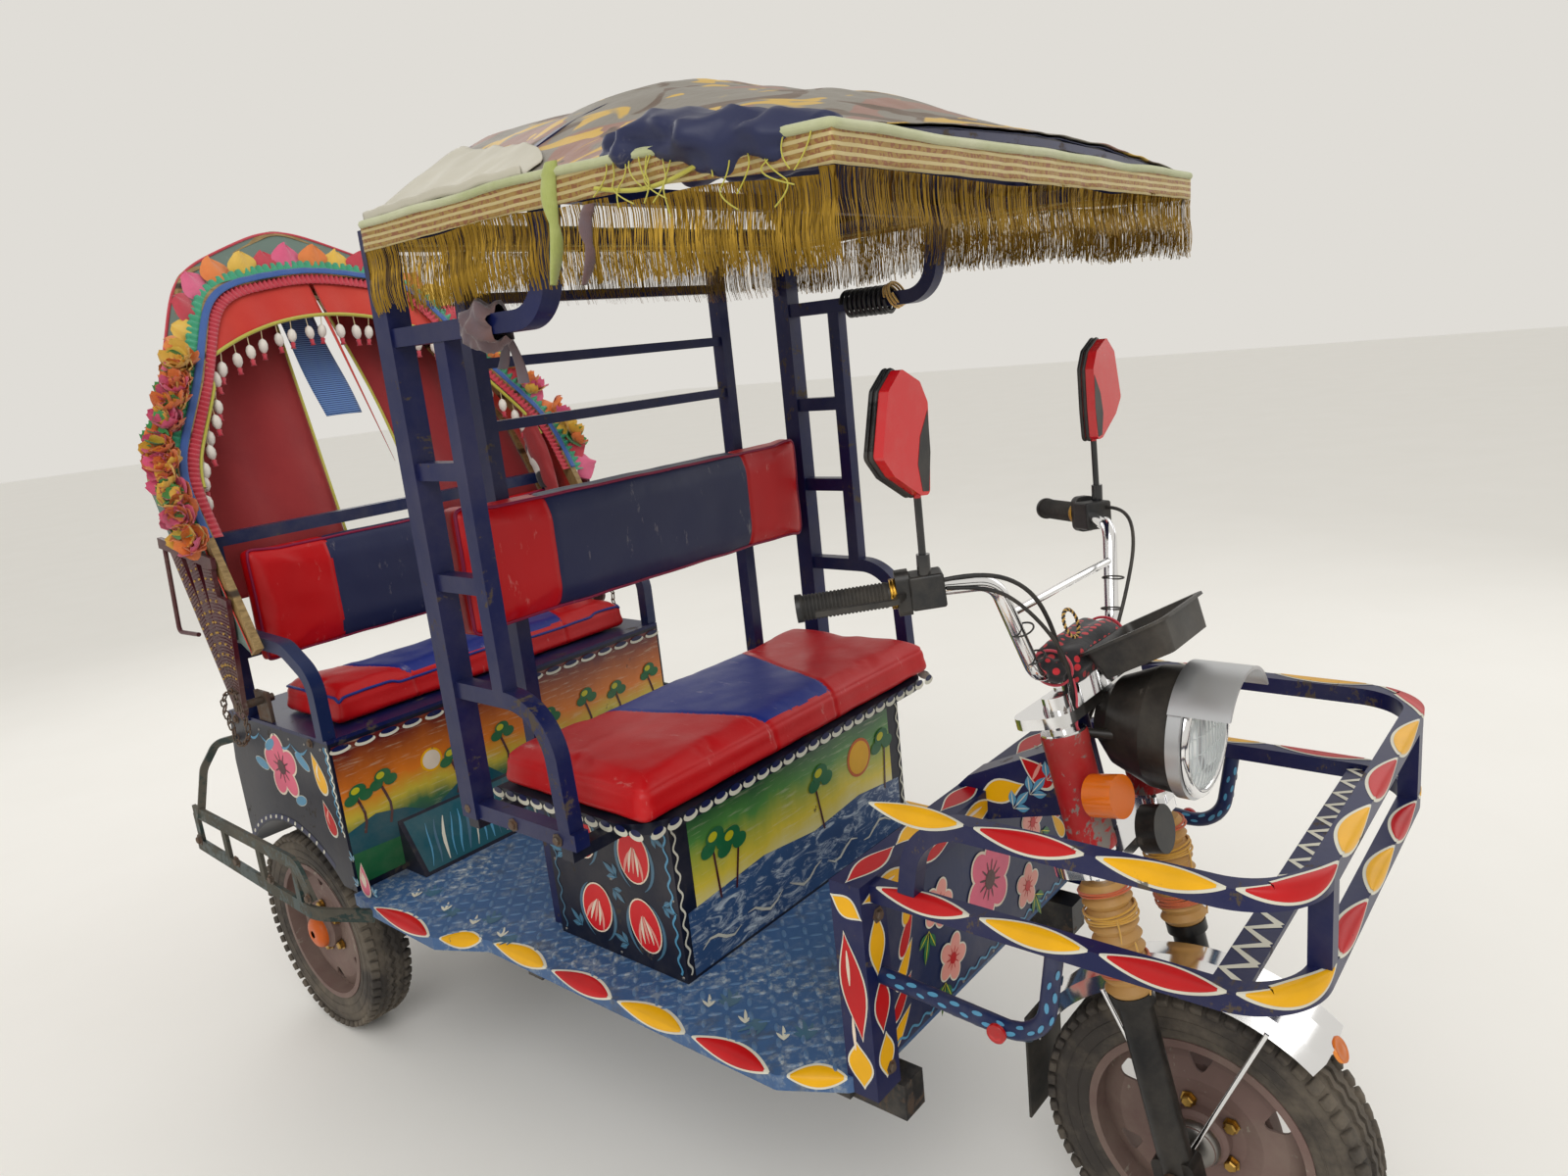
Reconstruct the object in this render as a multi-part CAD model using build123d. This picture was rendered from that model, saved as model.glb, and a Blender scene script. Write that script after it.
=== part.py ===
from build123d import *
import os
from math import cos, sin, tan, radians, hypot

# Battery auto rickshaw: three wheels, open sides, a shade over the driver and a folding hood
# over the rear seat. Millimetres, +Z up, forward -Y. Every y below is measured from the posts
# behind the driver; emit() moves the origin to the ground under the middle of the length.

# Overall layout
LENGTH_MIDDLE_Y = -8.0
FIT = 0.3
SHEET = 2.5
FLANGE = 26.0

# Wheels
WHEEL_R = 242.0
TYRE_W = 92.0
TREAD_X = 36.0
RIM_R = 160.0
RIM_W = 82.0
BEAD_X = 37.0
RIM_SHEET = 4.0
WHEEL_WINDOWS = 6
WINDOW_R = 126.0
WINDOW_SIZE = 27.0
WHEEL_BOLTS = 5
BOLT_RING_R = 56.0
DRUM_R = 108.0
AXLE_R = 14.0
SPINDLE_R = 9.0
REAR_AXLE_Y = 795.0
TRACK_HALF = 413.0
FRONT_AXLE_Y = -1083.0

# Heights follow the wheels: the rails stand over the axle on the springs, the floor on the rails
SPRING_STAND = 81.5
RAIL_H = 60.0
CROSS = 40.0
RAIL_LOW_Z = WHEEL_R + SPRING_STAND
FLOOR_Z = RAIL_LOW_Z + RAIL_H + CROSS + SHEET

# Steering geometry
RAKE = 13.0
FORK_OFFSET = 45.0
FORK_X = 110.0
LEG_R = 25.0
GAITER_R = 36.0
STANCHION_R = 19.0
SLEEVE_R = 32.0
LOWER_YOKE_S = 478.0
UPPER_YOKE_S = 700.0
YOKE_T = 16.0
HEAD_R = 27.0
STEM_R = 14.0
BAR_CLAMP = (763.0, 7.0)
HEADLAMP_AT = (632.0, -130.0)

# Handlebar, its corners measured from the clamp
BAR_R = 11.0
BAR_POINTS = ((0, 0, 0), (130, 0, 0), (190, 25, 151), (270, 93, 154), (370, 222, 143))
BAR_BEND = 38.0
BRACE_R = 6.0
BRACE_SHARE = 0.667
GRIP_R = 16.0

# Floor outline, right half: widest at the passenger step, then the driver's step, then the nose
FLOOR_REAR_Y = 525.0
FLOOR_STEP_X = 492.0
FLOOR_STEP_Y = 211.0
FLOOR_WAIST_Y = 105.0
FLOOR_SIDE_X = 439.0
FLOOR_NOSE_Y = -608.0
FLOOR_NOSE_X = 342.0
FLOOR_FRONT_Y = -717.0

# Chassis
RAIL_X = 290.0
RAIL_W = 50.0
AXLE_TUBE_R = 30.0
AXLE_END_X = TRACK_HALF - 45.0
MOTOR_X = 40.0
MOTOR_R = 88.0
MOTOR_Y = (REAR_AXLE_Y - 330.0, REAR_AXLE_Y - 130.0)
SPRING_HALF = 330.0
SPRING_W = 48.0
LEAF_T = 9.0
LEAVES = 4
RAIL_REAR_Y = REAR_AXLE_Y + SPRING_HALF + 20

# Driver's seat
BOX_X = 341.0
BOX_FRONT_Y = -336.0
BOX_REAR_Y = 0.0
BOX_TOP_Z = FLOOR_Z + 309.0
SEAT_BAR_Z = (BOX_TOP_Z - 20, BOX_TOP_Z)
BOARD_T = 20.0
SEAT_X = 430.0
SEAT_FRONT_Y = -385.0
SEAT_REAR_Y = 8.0
SEAT_CORNER_R = 90.0
CUSHION_T = 70.0
PAD_X = 460.0
PAD_Z = (FLOOR_Z + 607.0, FLOOR_Z + 841.0)
PAD_T = 60.0

# Driver's cage
TUBE = 40.0
BAR = 28.0
LADDER_X = 485.0
POST_A_Y = -22.0
POST_B_Y = -158.0
ARM_Z = FLOOR_Z + 541.0
ARM_FRONT_Y = -264.0
RUNG_Z = (FLOOR_Z + 724.0, FLOOR_Z + 904.0)
TOP_BAR_Z = FLOOR_Z + 1111.0
TOP_BAR_FRONT_Y = -398.0
BACK_POST_X = 313.0
BACK_POST_Y = 26.0
BACK_BAR_Z = (FLOOR_Z + 953.0, FLOOR_Z + 1061.0, FLOOR_Z + 1169.0)

# Canopy over the driver
CANOPY_X = 510.0
CANOPY_T = 6.0
CANOPY_RAIL = 22.0
RIB_W = 14.0
FRINGE_DROP = 106.0
FRONT_FRINGE_DROP = 118.0
FRINGE_T = 4.0
# Sections of the canopy: y, edge height, crown height
CANOPY_SECTIONS = (
    (-20.0, FLOOR_Z + 1274.0, FLOOR_Z + 1469.0),
    (-340.0, FLOOR_Z + 1276.0, FLOOR_Z + 1464.0),
    (-620.0, FLOOR_Z + 1268.0, FLOOR_Z + 1389.0),
    (-905.0, FLOOR_Z + 1246.0, FLOOR_Z + 1276.0),
)

# Rear box and its seat
REAR_BOX_Y = 525.0
REAR_BOX_TOP_Z = FLOOR_Z + 334.0
REAR_BOX_BACK_Y = 985.0
HOUSING_X = (356.0, 472.0)
ARCH_R = WHEEL_R + 40.0
ARCH_TOP_Z = WHEEL_R + ARCH_R
SLOPE_FOOT_Y = 445.0
SLOPE_TOP_Z = FLOOR_Z + 115.0
SEAT_BOARD_T = 8.0
REAR_CUSHION_X = 424.0
REAR_CUSHION_FRONT_Y = 572.0
REAR_CUSHION_BACK_Y = 835.0
REAR_CUSHION_T = 72.0
REAR_PAD_Z = (FLOOR_Z + 454.0, FLOOR_Z + 724.0)
REAR_PAD_T = 45.0
REAR_RAIL_Z = FLOOR_Z + 746.0
REAR_RAIL_Y = 889.0
ARMREST_X = 462.0

# Side guard
GUARD_X = 572.0
GUARD_T = 8.0
GUARD_BAR = 30.0
GUARD_TOP_Z = FLOOR_Z + 112.0
GUARD_LOW_Z = FLOOR_Z + 22.0
GUARD_FRONT_Y = 505.0
GUARD_REAR_Y = 1062.0

# Front structure and basket
COLUMN_X = (322.0, 380.0)
COLUMN_Y = (-752.0, -700.0)
COLUMN_DROP = FLANGE
BEAM_Z = (FLOOR_Z + 264.0, FLOOR_Z + 314.0)
BASKET_X = 345.0
BASKET_FRONT_Y = -1300.0
BASKET_TUBE = 26.0
RING_Z = FLOOR_Z + 296.0
HOOP_Z = FLOOR_Z + 422.0
BASKET_CORNER_R = 88.0
SLAT_Y = -1222.0
CROSS_ROWS = ((COLUMN_Y[1] + CROSS / 2, 380), (-560, 420), (-300, 420), (-20, 430), (240, 470))

# Front mudguard: its band runs over the tyre between two angles, measured from straight ahead
MUDGUARD_R = WHEEL_R + 38.0
MUDGUARD_W = 124.0
MUDGUARD_ARC = (50.0, 158.0)
STAY_X = 74.0
STAY_ANGLES = (66.0, 120.0)
FLAP_Z = (WHEEL_R - 62.0, WHEEL_R + 126.0)

# Folding hood: each bow is foot (y, z), top (y, z), its line's corners (x, up) and their radii
PIVOT_Y = 803.0
PIVOT_Z = FLOOR_Z + 392.0
PIVOT_R = 9.0
BOW_T = 16.0
FRONT_BOW_W = 34.0
BOW_W = 20.0
VALANCE_DROP = 128.0
VALANCE_SPRING = 560.0
VALANCE_X = 500.0
COVER_T = 5.0
HOOD_FRONT_BOW = (
    (700.0, FLOOR_Z + 523.0), (1140.0, FLOOR_Z + 1326.0),
    ((495, 0), (495, 430), (372, 640), (262, 880), (0, 930)), (150, 150, 110, 400))
HOOD_MIDDLE_BOW = (
    (840.0, FLOOR_Z + 574.0), (1255.0, FLOOR_Z + 1438.0),
    ((490, 0), (490, 380), (392, 600), (280, 850), (0, 978)), (150, 150, 90, 90))
HOOD_REAR_BOW = (
    (920.0, FLOOR_Z + 604.0), (1300.0, FLOOR_Z + 1316.0),
    ((490, 0), (490, 330), (392, 520), (290, 730), (0, 806)), (150, 150, 90, 160))
CURTAIN_GAP = 160.0


def emit(name, *pieces):
    """Writes the pieces of one node as a STEP file about the part's origin."""
    solids = [s for piece in pieces for s in piece.solids()]
    shape = solids[0] if len(solids) == 1 else Compound(children=solids)
    export_step(shape.moved(Location((0, -LENGTH_MIDDLE_Y, 0))), f"parts/{name}.step")


def block(x0, x1, y0, y1, z0, z1):
    """A box between two corners."""
    size = (x1 - x0, y1 - y0, z1 - z0)
    centre = ((x0 + x1) / 2, (y0 + y1) / 2, (z0 + z1) / 2)
    return Pos(*centre) * Box(*size)


def rod(start, end, radius):
    """A round bar from one point to another."""
    line = Line(start, end)
    return extrude(Plane(start, z_dir=line % 0) * Circle(radius), line.length)


def bar(points, section, bend=0.0, side=(1, 0, 0)):
    """A bar of constant section along straight runs joined by tangent arcs."""
    if bend:
        path = FilletPolyline(*points, radius=bend)
    else:
        path = Polyline(*points) if len(points) > 2 else Line(*points)
    start = Plane(points[0], x_dir=side, z_dir=path % 0)
    return sweep(start * section, path, transition=Transition.RIGHT)


def mirrored(shape):
    """The same piece on the other side of the vehicle."""
    return mirror(shape, Plane.YZ)


def both(shape):
    """A piece and its twin on the other side, fused where they meet."""
    return shape + mirrored(shape)


# Wheels: built about their own centre, axle along X, outer face towards +X

def tyre():
    """Balloon tyre: beads on the rim, bulging walls and a crowned tread."""
    bead, wall, tread = BEAD_X, TYRE_W / 2, TREAD_X
    belly = (RIM_R + WHEEL_R) / 2
    right = [
        Line((bead, RIM_R), (bead, RIM_R + 10)),
        ThreePointArc((bead, RIM_R + 10), (wall, belly), (tread + 5, WHEEL_R - 12)),
        Line((tread + 5, WHEEL_R - 12), (tread, WHEEL_R - 4)),
    ]
    crown = ThreePointArc((tread, WHEEL_R - 4), (0, WHEEL_R), (-tread, WHEEL_R - 4))
    left = [mirror(edge, Plane.YZ) for edge in right]
    floor = Line((-bead, RIM_R), (bead, RIM_R))
    outline = Plane.XY * make_face([*right, crown, *left, floor])
    return revolve(outline, Axis.X)


def wheel_disc(drum_side):
    """Pressed wheel: rim channel, dished disc with windows, hub, bolts and brake drum."""
    half, lip, barrel, seat = RIM_W / 2, RIM_R + 8, RIM_R - FIT, BEAD_X + FIT
    inner = barrel - RIM_SHEET
    channel = make_face(Polyline(
        (-half, lip), (-seat, lip), (-seat, barrel), (seat, barrel), (seat, lip),
        (half, lip), (half, inner), (-half, inner), close=True))
    disc = make_face(Polyline(
        (4, inner + 1), (16, inner - 29), (20, 92), (14, 66), (14, 40), (10, 40), (10, 66), (16, 94),
        (12, inner - 31), (0, inner + 1), close=True))
    hub = make_face(Polyline(
        (-30, AXLE_R + FIT), (-30, 40), (-4, 46), (30, 46), (36, 40), (50, 34), (50, 0), (44, 0),
        (44, AXLE_R + FIT), close=True))
    drum = make_face(Polyline(
        (-36, 40), (-36, DRUM_R - 6), (-24, DRUM_R), (2, DRUM_R), (2, 40), close=True))
    wheel = revolve(channel, Axis.X) + revolve(disc, Axis.X) + revolve(hub, Axis.X)
    wheel += revolve(drum, Axis.X)
    window = fillet(RegularPolygon(WINDOW_SIZE, 3, rotation=-90).vertices(), 8)
    cutter = extrude(Plane.YZ * Pos(0, WINDOW_R) * window, 60)
    for k in range(WHEEL_WINDOWS):
        wheel -= Rot(X=360 / WHEEL_WINDOWS * k) * cutter
    for k in range(WHEEL_BOLTS):
        angle = radians(360 / WHEEL_BOLTS * k)
        foot = (12, BOLT_RING_R * cos(angle), BOLT_RING_R * sin(angle))
        wheel += rod(foot, (26, foot[1], foot[2]), 6)
    return wheel if drum_side > 0 else mirrored(wheel)


def front_wheel():
    """Front wheel: the same pressed disc about a hub that the axle passes through."""
    wheel = wheel_disc(-1)
    wheel += rod((-54, 0, 0), (40, 0, 0), 34)
    return wheel - rod((-90, 0, 0), (90, 0, 0), SPINDLE_R + FIT)


# Rear axle, its gearbox, the motor and the leaf springs

def rear_axle():
    """Axle tube with the gearbox in the middle, backing plates and stub shafts."""
    centre = Pos(0, REAR_AXLE_Y, WHEEL_R)
    tube = rod((-AXLE_END_X, 0, 0), (AXLE_END_X, 0, 0), AXLE_TUBE_R)
    casing = Sphere(96) & Box(150, 200, 200)
    nose = rod((MOTOR_X, 0, 0), (MOTOR_X, MOTOR_Y[1] - REAR_AXLE_Y, 0), 48)
    plate = rod((AXLE_END_X - 8, 0, 0), (AXLE_END_X, 0, 0), 104)
    stub = rod((AXLE_END_X - 4, 0, 0), (TRACK_HALF + 42, 0, 0), AXLE_R)
    return centre * (tube + casing + nose + both(plate + stub))


def drive_motor():
    """Round motor flanged to the front of the gearbox."""
    front, back = MOTOR_Y
    body = rod((MOTOR_X, front, WHEEL_R), (MOTOR_X, back, WHEEL_R), MOTOR_R)
    end = rod((MOTOR_X, front - 12, WHEEL_R), (MOTOR_X, front, WHEEL_R), 40)
    return body + end


def leaf_spring():
    """Stack of leaves under the rail, clamped on the axle and eyed at both ends."""
    seat = WHEEL_R + AXLE_TUBE_R
    end_z = RAIL_LOW_Z - 22
    stack = block(-SPRING_W / 2 - 6, SPRING_W / 2 + 6, -34, 34, seat + FIT, seat + LEAF_T * LEAVES + 6)
    for k in range(LEAVES):
        half = SPRING_HALF * (1 - 0.2 * k)
        low = seat + FIT + LEAF_T * (LEAVES - 1 - k)
        rise = (end_z - seat - LEAF_T * (LEAVES - 1)) * (1 - 0.2 * k) ** 2
        lower = ThreePointArc((-half, low + rise), (0, low), (half, low + rise))
        upper = Pos(0, LEAF_T) * lower
        ends = [Line(lower @ 0, upper @ 0), Line(lower @ 1, upper @ 1)]
        stack += extrude(Plane.YZ * make_face([lower, upper, *ends]), SPRING_W / 2, both=True)
    for end in (-SPRING_HALF, SPRING_HALF):
        eye_z = end_z + LEAF_T / 2
        stack += rod((-SPRING_W / 2, end, eye_z), (SPRING_W / 2, end, eye_z), 14)
        stack += block(-6, 6, end - 12, end + 12, eye_z, RAIL_LOW_Z)
    return Pos(RAIL_X, REAR_AXLE_Y, 0) * stack


# Chassis frame under the floor

def chassis_rails():
    """Two long rails under the cross members."""
    inner, outer = RAIL_X - RAIL_W / 2, RAIL_X + RAIL_W / 2
    rail = block(inner, outer, COLUMN_Y[0], RAIL_REAR_Y, RAIL_LOW_Z, RAIL_LOW_Z + RAIL_H)
    return [rail, mirrored(rail)]


def chassis_crossmembers():
    """Cross members on the rails, reaching the floor's edge, and two between the rails behind."""
    z = RAIL_LOW_Z + RAIL_H
    members = []
    for y, reach in CROSS_ROWS:
        members.append(block(-reach, reach, y - CROSS / 2, y + CROSS / 2, z, z + CROSS))
    inner = RAIL_X - RAIL_W / 2
    for y in (FLOOR_REAR_Y - CROSS / 2, RAIL_REAR_Y - CROSS / 2):
        members.append(block(-inner, inner, y - CROSS / 2, y + CROSS / 2, z - CROSS, z))
    return members


# Floor: one folded sheet with a step for each foot

def floor_outline(inset=0.0):
    """The floor's outline as a face, drawn in by an inset."""
    half = [
        (0, FLOOR_REAR_Y), (HOUSING_X[1] + 8, FLOOR_REAR_Y), (FLOOR_STEP_X - 4, FLOOR_REAR_Y - 80),
        (FLOOR_STEP_X, FLOOR_STEP_Y), (FLOOR_SIDE_X, FLOOR_WAIST_Y), (FLOOR_SIDE_X, FLOOR_NOSE_Y),
        (FLOOR_NOSE_X + 40, FLOOR_FRONT_Y + 6), (FLOOR_NOSE_X, FLOOR_FRONT_Y), (0, FLOOR_FRONT_Y)]
    left = [(-x, y) for x, y in reversed(half[1:-1])]
    face = make_face(Polyline(*half, *left, close=True))
    corners = [v for v in face.vertices() if v.Y < FLOOR_WAIST_Y + 5 and abs(v.X) > FLOOR_NOSE_X + 20]
    face = fillet(corners, 24)
    return offset(face, -inset, kind=Kind.INTERSECTION) if inset else face


def floor_plate():
    """Chequer plate floor with a turned-down edge."""
    under = Pos(0, 0, -SHEET) * extrude(floor_outline(SHEET), -FLANGE)
    plate = Pos(0, 0, FLOOR_Z) * (extrude(floor_outline(), -FLANGE) - under)
    x, y = HOUSING_X[1], FLOOR_REAR_Y
    return plate - block(-x, x, y - SHEET - 1, y + 1, FLOOR_Z - FLANGE - 1, FLOOR_Z - SHEET)


# Driver's seat

def rounded_board(x, front_y, rear_y, z0, z1, corner):
    """A board whose two front corners are round."""
    face = make_face(Polyline((-x, rear_y), (x, rear_y), (x, front_y), (-x, front_y), close=True))
    face = fillet([v for v in face.vertices() if v.Y < front_y + 1], corner)
    return Pos(0, 0, z0) * extrude(face, z1 - z0)


def driver_box():
    """Hollow sheet box under the seat, open below, with the seat board and the bars beside it."""
    x, front, rear = BOX_X, BOX_FRONT_Y, BOX_REAR_Y
    shell = block(-x, x, front, rear, FLOOR_Z, BOX_TOP_Z)
    shell -= block(-x + SHEET, x - SHEET, front + SHEET, rear - SHEET, FLOOR_Z - 1, BOX_TOP_Z - SHEET)
    lip = 6
    shell += rounded_board(SEAT_X - lip, SEAT_FRONT_Y + lip, SEAT_REAR_Y, BOX_TOP_Z, BOX_TOP_Z + BOARD_T,
                           SEAT_CORNER_R - lip)
    for y in (ARM_FRONT_Y - 10, POST_A_Y):
        shell += both(block(x, LADDER_X + BAR / 2, y - 14, y + 14, *SEAT_BAR_Z))
    return shell


def battery_block():
    """The batteries in the seat box, as one block."""
    return block(-330, 330, -320, -16, FLOOR_Z, FLOOR_Z + 240)


def driver_cushion():
    """Seat cushion with a rolled upper edge."""
    low = BOX_TOP_Z + BOARD_T
    pad = rounded_board(SEAT_X, SEAT_FRONT_Y, SEAT_REAR_Y, low, low + CUSHION_T, SEAT_CORNER_R)
    return fillet(pad.faces().sort_by(Axis.Z)[-1].edges(), 14)


# Canopy over the driver: tube frame, cloth cover and fringe

def canopy_heights(y):
    """Heights of the canopy's edge and crown at a place along the vehicle."""
    for (y0, edge0, crown0), (y1, edge1, crown1) in zip(CANOPY_SECTIONS, CANOPY_SECTIONS[1:]):
        if y >= y1:
            share = (y - y0) / (y1 - y0)
            return edge0 + (edge1 - edge0) * share, crown0 + (crown1 - crown0) * share
    return CANOPY_SECTIONS[-1][1:]


CANOPY_REAR_Y = CANOPY_SECTIONS[0][0]
CANOPY_FRONT_Y = CANOPY_SECTIONS[-1][0]
RAIL_DROP = CANOPY_RAIL / 2 + FIT
RIB_ROWS = tuple(y for y, _, _ in CANOPY_SECTIONS[1:-1])
RIB_DEPTH = 10.0
RIB_END_DEPTH = 22.0
STRIP_INSET = FRINGE_T + 2 * FIT


def canopy_frame():
    """Side rails that follow the edge, cross rails and the ribs under the cover."""
    ys = (CANOPY_REAR_Y - STRIP_INSET, *RIB_ROWS, CANOPY_FRONT_Y + STRIP_INSET)
    line = [(LADDER_X, y, canopy_heights(y)[0] - RAIL_DROP) for y in ys]
    section = Rectangle(CANOPY_RAIL, CANOPY_RAIL)
    frame = both(bar(line, section))
    half = CANOPY_RAIL / 2
    for y in (ys[0] - half, TOP_BAR_FRONT_Y - 30, ys[-1] + half):
        z = canopy_heights(y)[0] - RAIL_DROP
        frame += bar([(-LADDER_X, y, z), (LADDER_X, y, z)], section, side=(0, 1, 0))
    for y in (ys[0] - RIB_W, *(row - RIB_W / 2 for row in RIB_ROWS), ys[-1]):
        frame += rib(y)
    reach, low = LADDER_X + half, FLOOR_Z
    return frame & block(-reach, reach, ys[-1], ys[0], low, CANOPY_SECTIONS[0][2])


def rib(y):
    """Arched flat rib under the cover, from one side rail to the other."""
    heights = [canopy_heights(y), canopy_heights(y + RIB_W)]
    edge_z = min(edge for edge, _ in heights) - 2 * FIT
    crown_z = min(crown for _, crown in heights) - CANOPY_T - 2 * FIT
    arc = ThreePointArc((-CANOPY_X, edge_z), (0, crown_z), (CANOPY_X, edge_z))
    reach, low, high = LADDER_X + CANOPY_RAIL / 2, edge_z - 30, crown_z + 10
    ends = both(block(reach - CANOPY_RAIL, reach, y, y + RIB_W, low, high))
    between = block(-reach, reach, y, y + RIB_W, low, high)
    return (rib_band(arc, y, RIB_DEPTH) & between) + (rib_band(arc, y, RIB_END_DEPTH) & ends)


def rib_band(arc, y, depth):
    """The rib's flat band under an arc, of a given depth."""
    below = Pos(0, -depth) * arc
    sides = [Line(arc @ 0, below @ 0), Line(arc @ 1, below @ 1)]
    plane = Plane((0, y, 0), x_dir=(1, 0, 0), z_dir=(0, -1, 0))
    return extrude(plane * make_face([arc, below, *sides]), -RIB_W)


def canopy_section(y, edge_z, crown_z):
    """The cover's section across the vehicle: a shallow arch of even thickness."""
    outer = ThreePointArc((-CANOPY_X, edge_z + CANOPY_T), (0, crown_z), (CANOPY_X, edge_z + CANOPY_T))
    inner = ThreePointArc((-CANOPY_X, edge_z), (0, crown_z - CANOPY_T), (CANOPY_X, edge_z))
    ends = [Line(inner @ 0, outer @ 0), Line(inner @ 1, outer @ 1)]
    return Plane((0, y, 0), x_dir=(1, 0, 0), z_dir=(0, -1, 0)) * make_face([inner, outer, *ends])


def canopy_cover():
    """Cloth stretched over the frame, high at the back and flatter towards the nose."""
    return loft([canopy_section(*row) for row in CANOPY_SECTIONS], ruled=True)


def canopy_fringe():
    """Hanging strips under the cover's two sides and both ends, the rear one cut for the posts."""
    points = [(y, z - FIT) for y, z, _ in CANOPY_SECTIONS]
    low = [(y, z - FRINGE_DROP) for y, z in reversed(points)]
    side = make_face(Plane.YZ * Polyline(*points, *low, close=True))
    panel = Pos(CANOPY_X - FRINGE_T, 0, 0) * extrude(side, FRINGE_T, dir=(1, 0, 0))
    reach = CANOPY_X - FRINGE_T - FIT
    (rear_y, rear_z), (front_y, front_z) = points[0], points[-1]
    rear = block(-reach, reach, rear_y - FRINGE_T, rear_y, rear_z - FRINGE_DROP, rear_z)
    slot = block(BACK_POST_X - BAR / 2 - FIT, BACK_POST_X + BAR / 2 + FIT, rear_y - 10, rear_y + 10,
                 rear_z - CANOPY_RAIL - 3 * FIT, rear_z + 1)
    front = block(-reach, reach, front_y, front_y + FRINGE_T, front_z - FRONT_FRINGE_DROP, front_z)
    post = both(block(LADDER_X - TUBE / 2 - FIT, reach + 1, rear_y - 10, rear_y + 10, 0, rear_z + 1))
    return [panel, mirrored(panel), largest(rear - both(slot) - post), front]


# Side ladders, armrests and the rails behind the driver

def side_ladder():
    """Two posts with rungs and the top bar that bends up to the canopy."""
    x = LADDER_X
    square, slim = Rectangle(TUBE, TUBE), Rectangle(BAR, BAR)
    front_y = TOP_BAR_FRONT_Y - 30
    ladder = bar([(x, POST_A_Y, BOX_TOP_Z), (x, POST_A_Y, canopy_heights(POST_A_Y)[0])], square)
    top = [(x, POST_A_Y, TOP_BAR_Z), (x, TOP_BAR_FRONT_Y, TOP_BAR_Z), (x, front_y, canopy_heights(front_y)[0])]
    ladder += bar(top, Rectangle(TUBE - 8, BAR), bend=60)
    ladder += bar([(x, POST_B_Y, ARM_Z), (x, POST_B_Y, TOP_BAR_Z)], slim)
    for z in RUNG_Z:
        ladder += bar([(x, POST_A_Y, z), (x, POST_B_Y, z)], slim)
    return largest(ladder - canopy_frame())


def largest(shape):
    """The biggest solid left by a cut."""
    return max(shape.solids(), key=lambda s: s.volume)


def armrest(ladder):
    """Hoop over the seat's side and the rail that it lands on."""
    x, top = LADDER_X, BOX_TOP_Z + BAR
    line = [(x, POST_A_Y, ARM_Z), (x, ARM_FRONT_Y, ARM_Z), (x, ARM_FRONT_Y - 10, top - 4)]
    hoop = bar(line, Rectangle(BAR, BAR), bend=95)
    rail = block(x - BAR / 2, x + BAR / 2, ARM_FRONT_Y - 34, POST_A_Y, BOX_TOP_Z, top)
    return largest(hoop + rail - ladder)


def back_rails():
    """Two posts behind the seat with three cross bars, linked to the canopy's rear rail."""
    x, y, half = BACK_POST_X, BACK_POST_Y, BAR / 2
    top = canopy_heights(CANOPY_REAR_Y)[0] - 2 * FIT
    rails = both(bar([(x, y, FLOOR_Z), (x, y, top)], Rectangle(BAR, BAR)))
    for z in BACK_BAR_Z:
        rails += block(-x, x, y - 9, y + 9, z - 9, z + 9)
    rear = CANOPY_REAR_Y - STRIP_INSET
    rails += both(block(x - half, x + half, rear, y, top - CANOPY_RAIL, top))
    return rails


def driver_backrest():
    """Padded board on the front faces of the back posts."""
    back = BACK_POST_Y - BAR / 2
    pad = block(-PAD_X, PAD_X, back - PAD_T, back, *PAD_Z)
    return fillet(pad.edges().filter_by(Axis.X).group_by(Axis.Y)[0], 16)


# Rear box: sheet panels, wheel housings and the seat

def arch_cut(radius, x0, x1):
    """A cutter for the round wheel opening."""
    return rod((x0, REAR_AXLE_Y, WHEEL_R), (x1, REAR_AXLE_Y, WHEEL_R), radius)


def rear_box_front():
    """Front face of the rear box with the slope plate that meets the floor."""
    face = block(-HOUSING_X[0], HOUSING_X[0], REAR_BOX_Y, REAR_BOX_Y + SHEET, FLOOR_Z, REAR_BOX_TOP_Z)
    profile = Polyline((SLOPE_FOOT_Y, FLOOR_Z), (REAR_BOX_Y, SLOPE_TOP_Z), (REAR_BOX_Y, FLOOR_Z), close=True)
    slope = extrude(make_face(Plane.YZ * profile), HOUSING_X[0], dir=(1, 0, 0), both=True)
    return face + slope


def wheel_housing():
    """Painted side of the rear box with its wheel opening and the arch over the tyre."""
    x0, x1 = HOUSING_X
    front, back, top = REAR_BOX_Y, REAR_BOX_BACK_Y, REAR_BOX_TOP_Z
    outline = Polyline((front, FLOOR_Z), (front, top), (back, top), (back + 25, top - 120),
                       (back + 25, FLOOR_Z), close=True)
    solid = Pos(x0, 0, 0) * extrude(make_face(Plane.YZ * outline), x1 - x0, dir=(1, 0, 0))
    inside = block(x0 + SHEET, x1 - SHEET, front + SHEET, back - SHEET, ARCH_TOP_Z + SHEET, top - SHEET)
    return solid - arch_cut(ARCH_R, x0 - 1, x1 + 1) - inside


def rear_box_back():
    """Back panel between the housings."""
    x = HOUSING_X[0]
    return block(-x, x, REAR_BOX_BACK_Y - SHEET, REAR_BOX_BACK_Y, FLOOR_Z - 30, REAR_BOX_TOP_Z)


def rear_seat_board(rail):
    """Board over the rear box, notched for the rail's posts."""
    x, low = HOUSING_X[1], REAR_BOX_TOP_Z
    return largest(block(-x, x, REAR_BOX_Y, REAR_BOX_BACK_Y, low, low + SEAT_BOARD_T) - rail)


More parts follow.
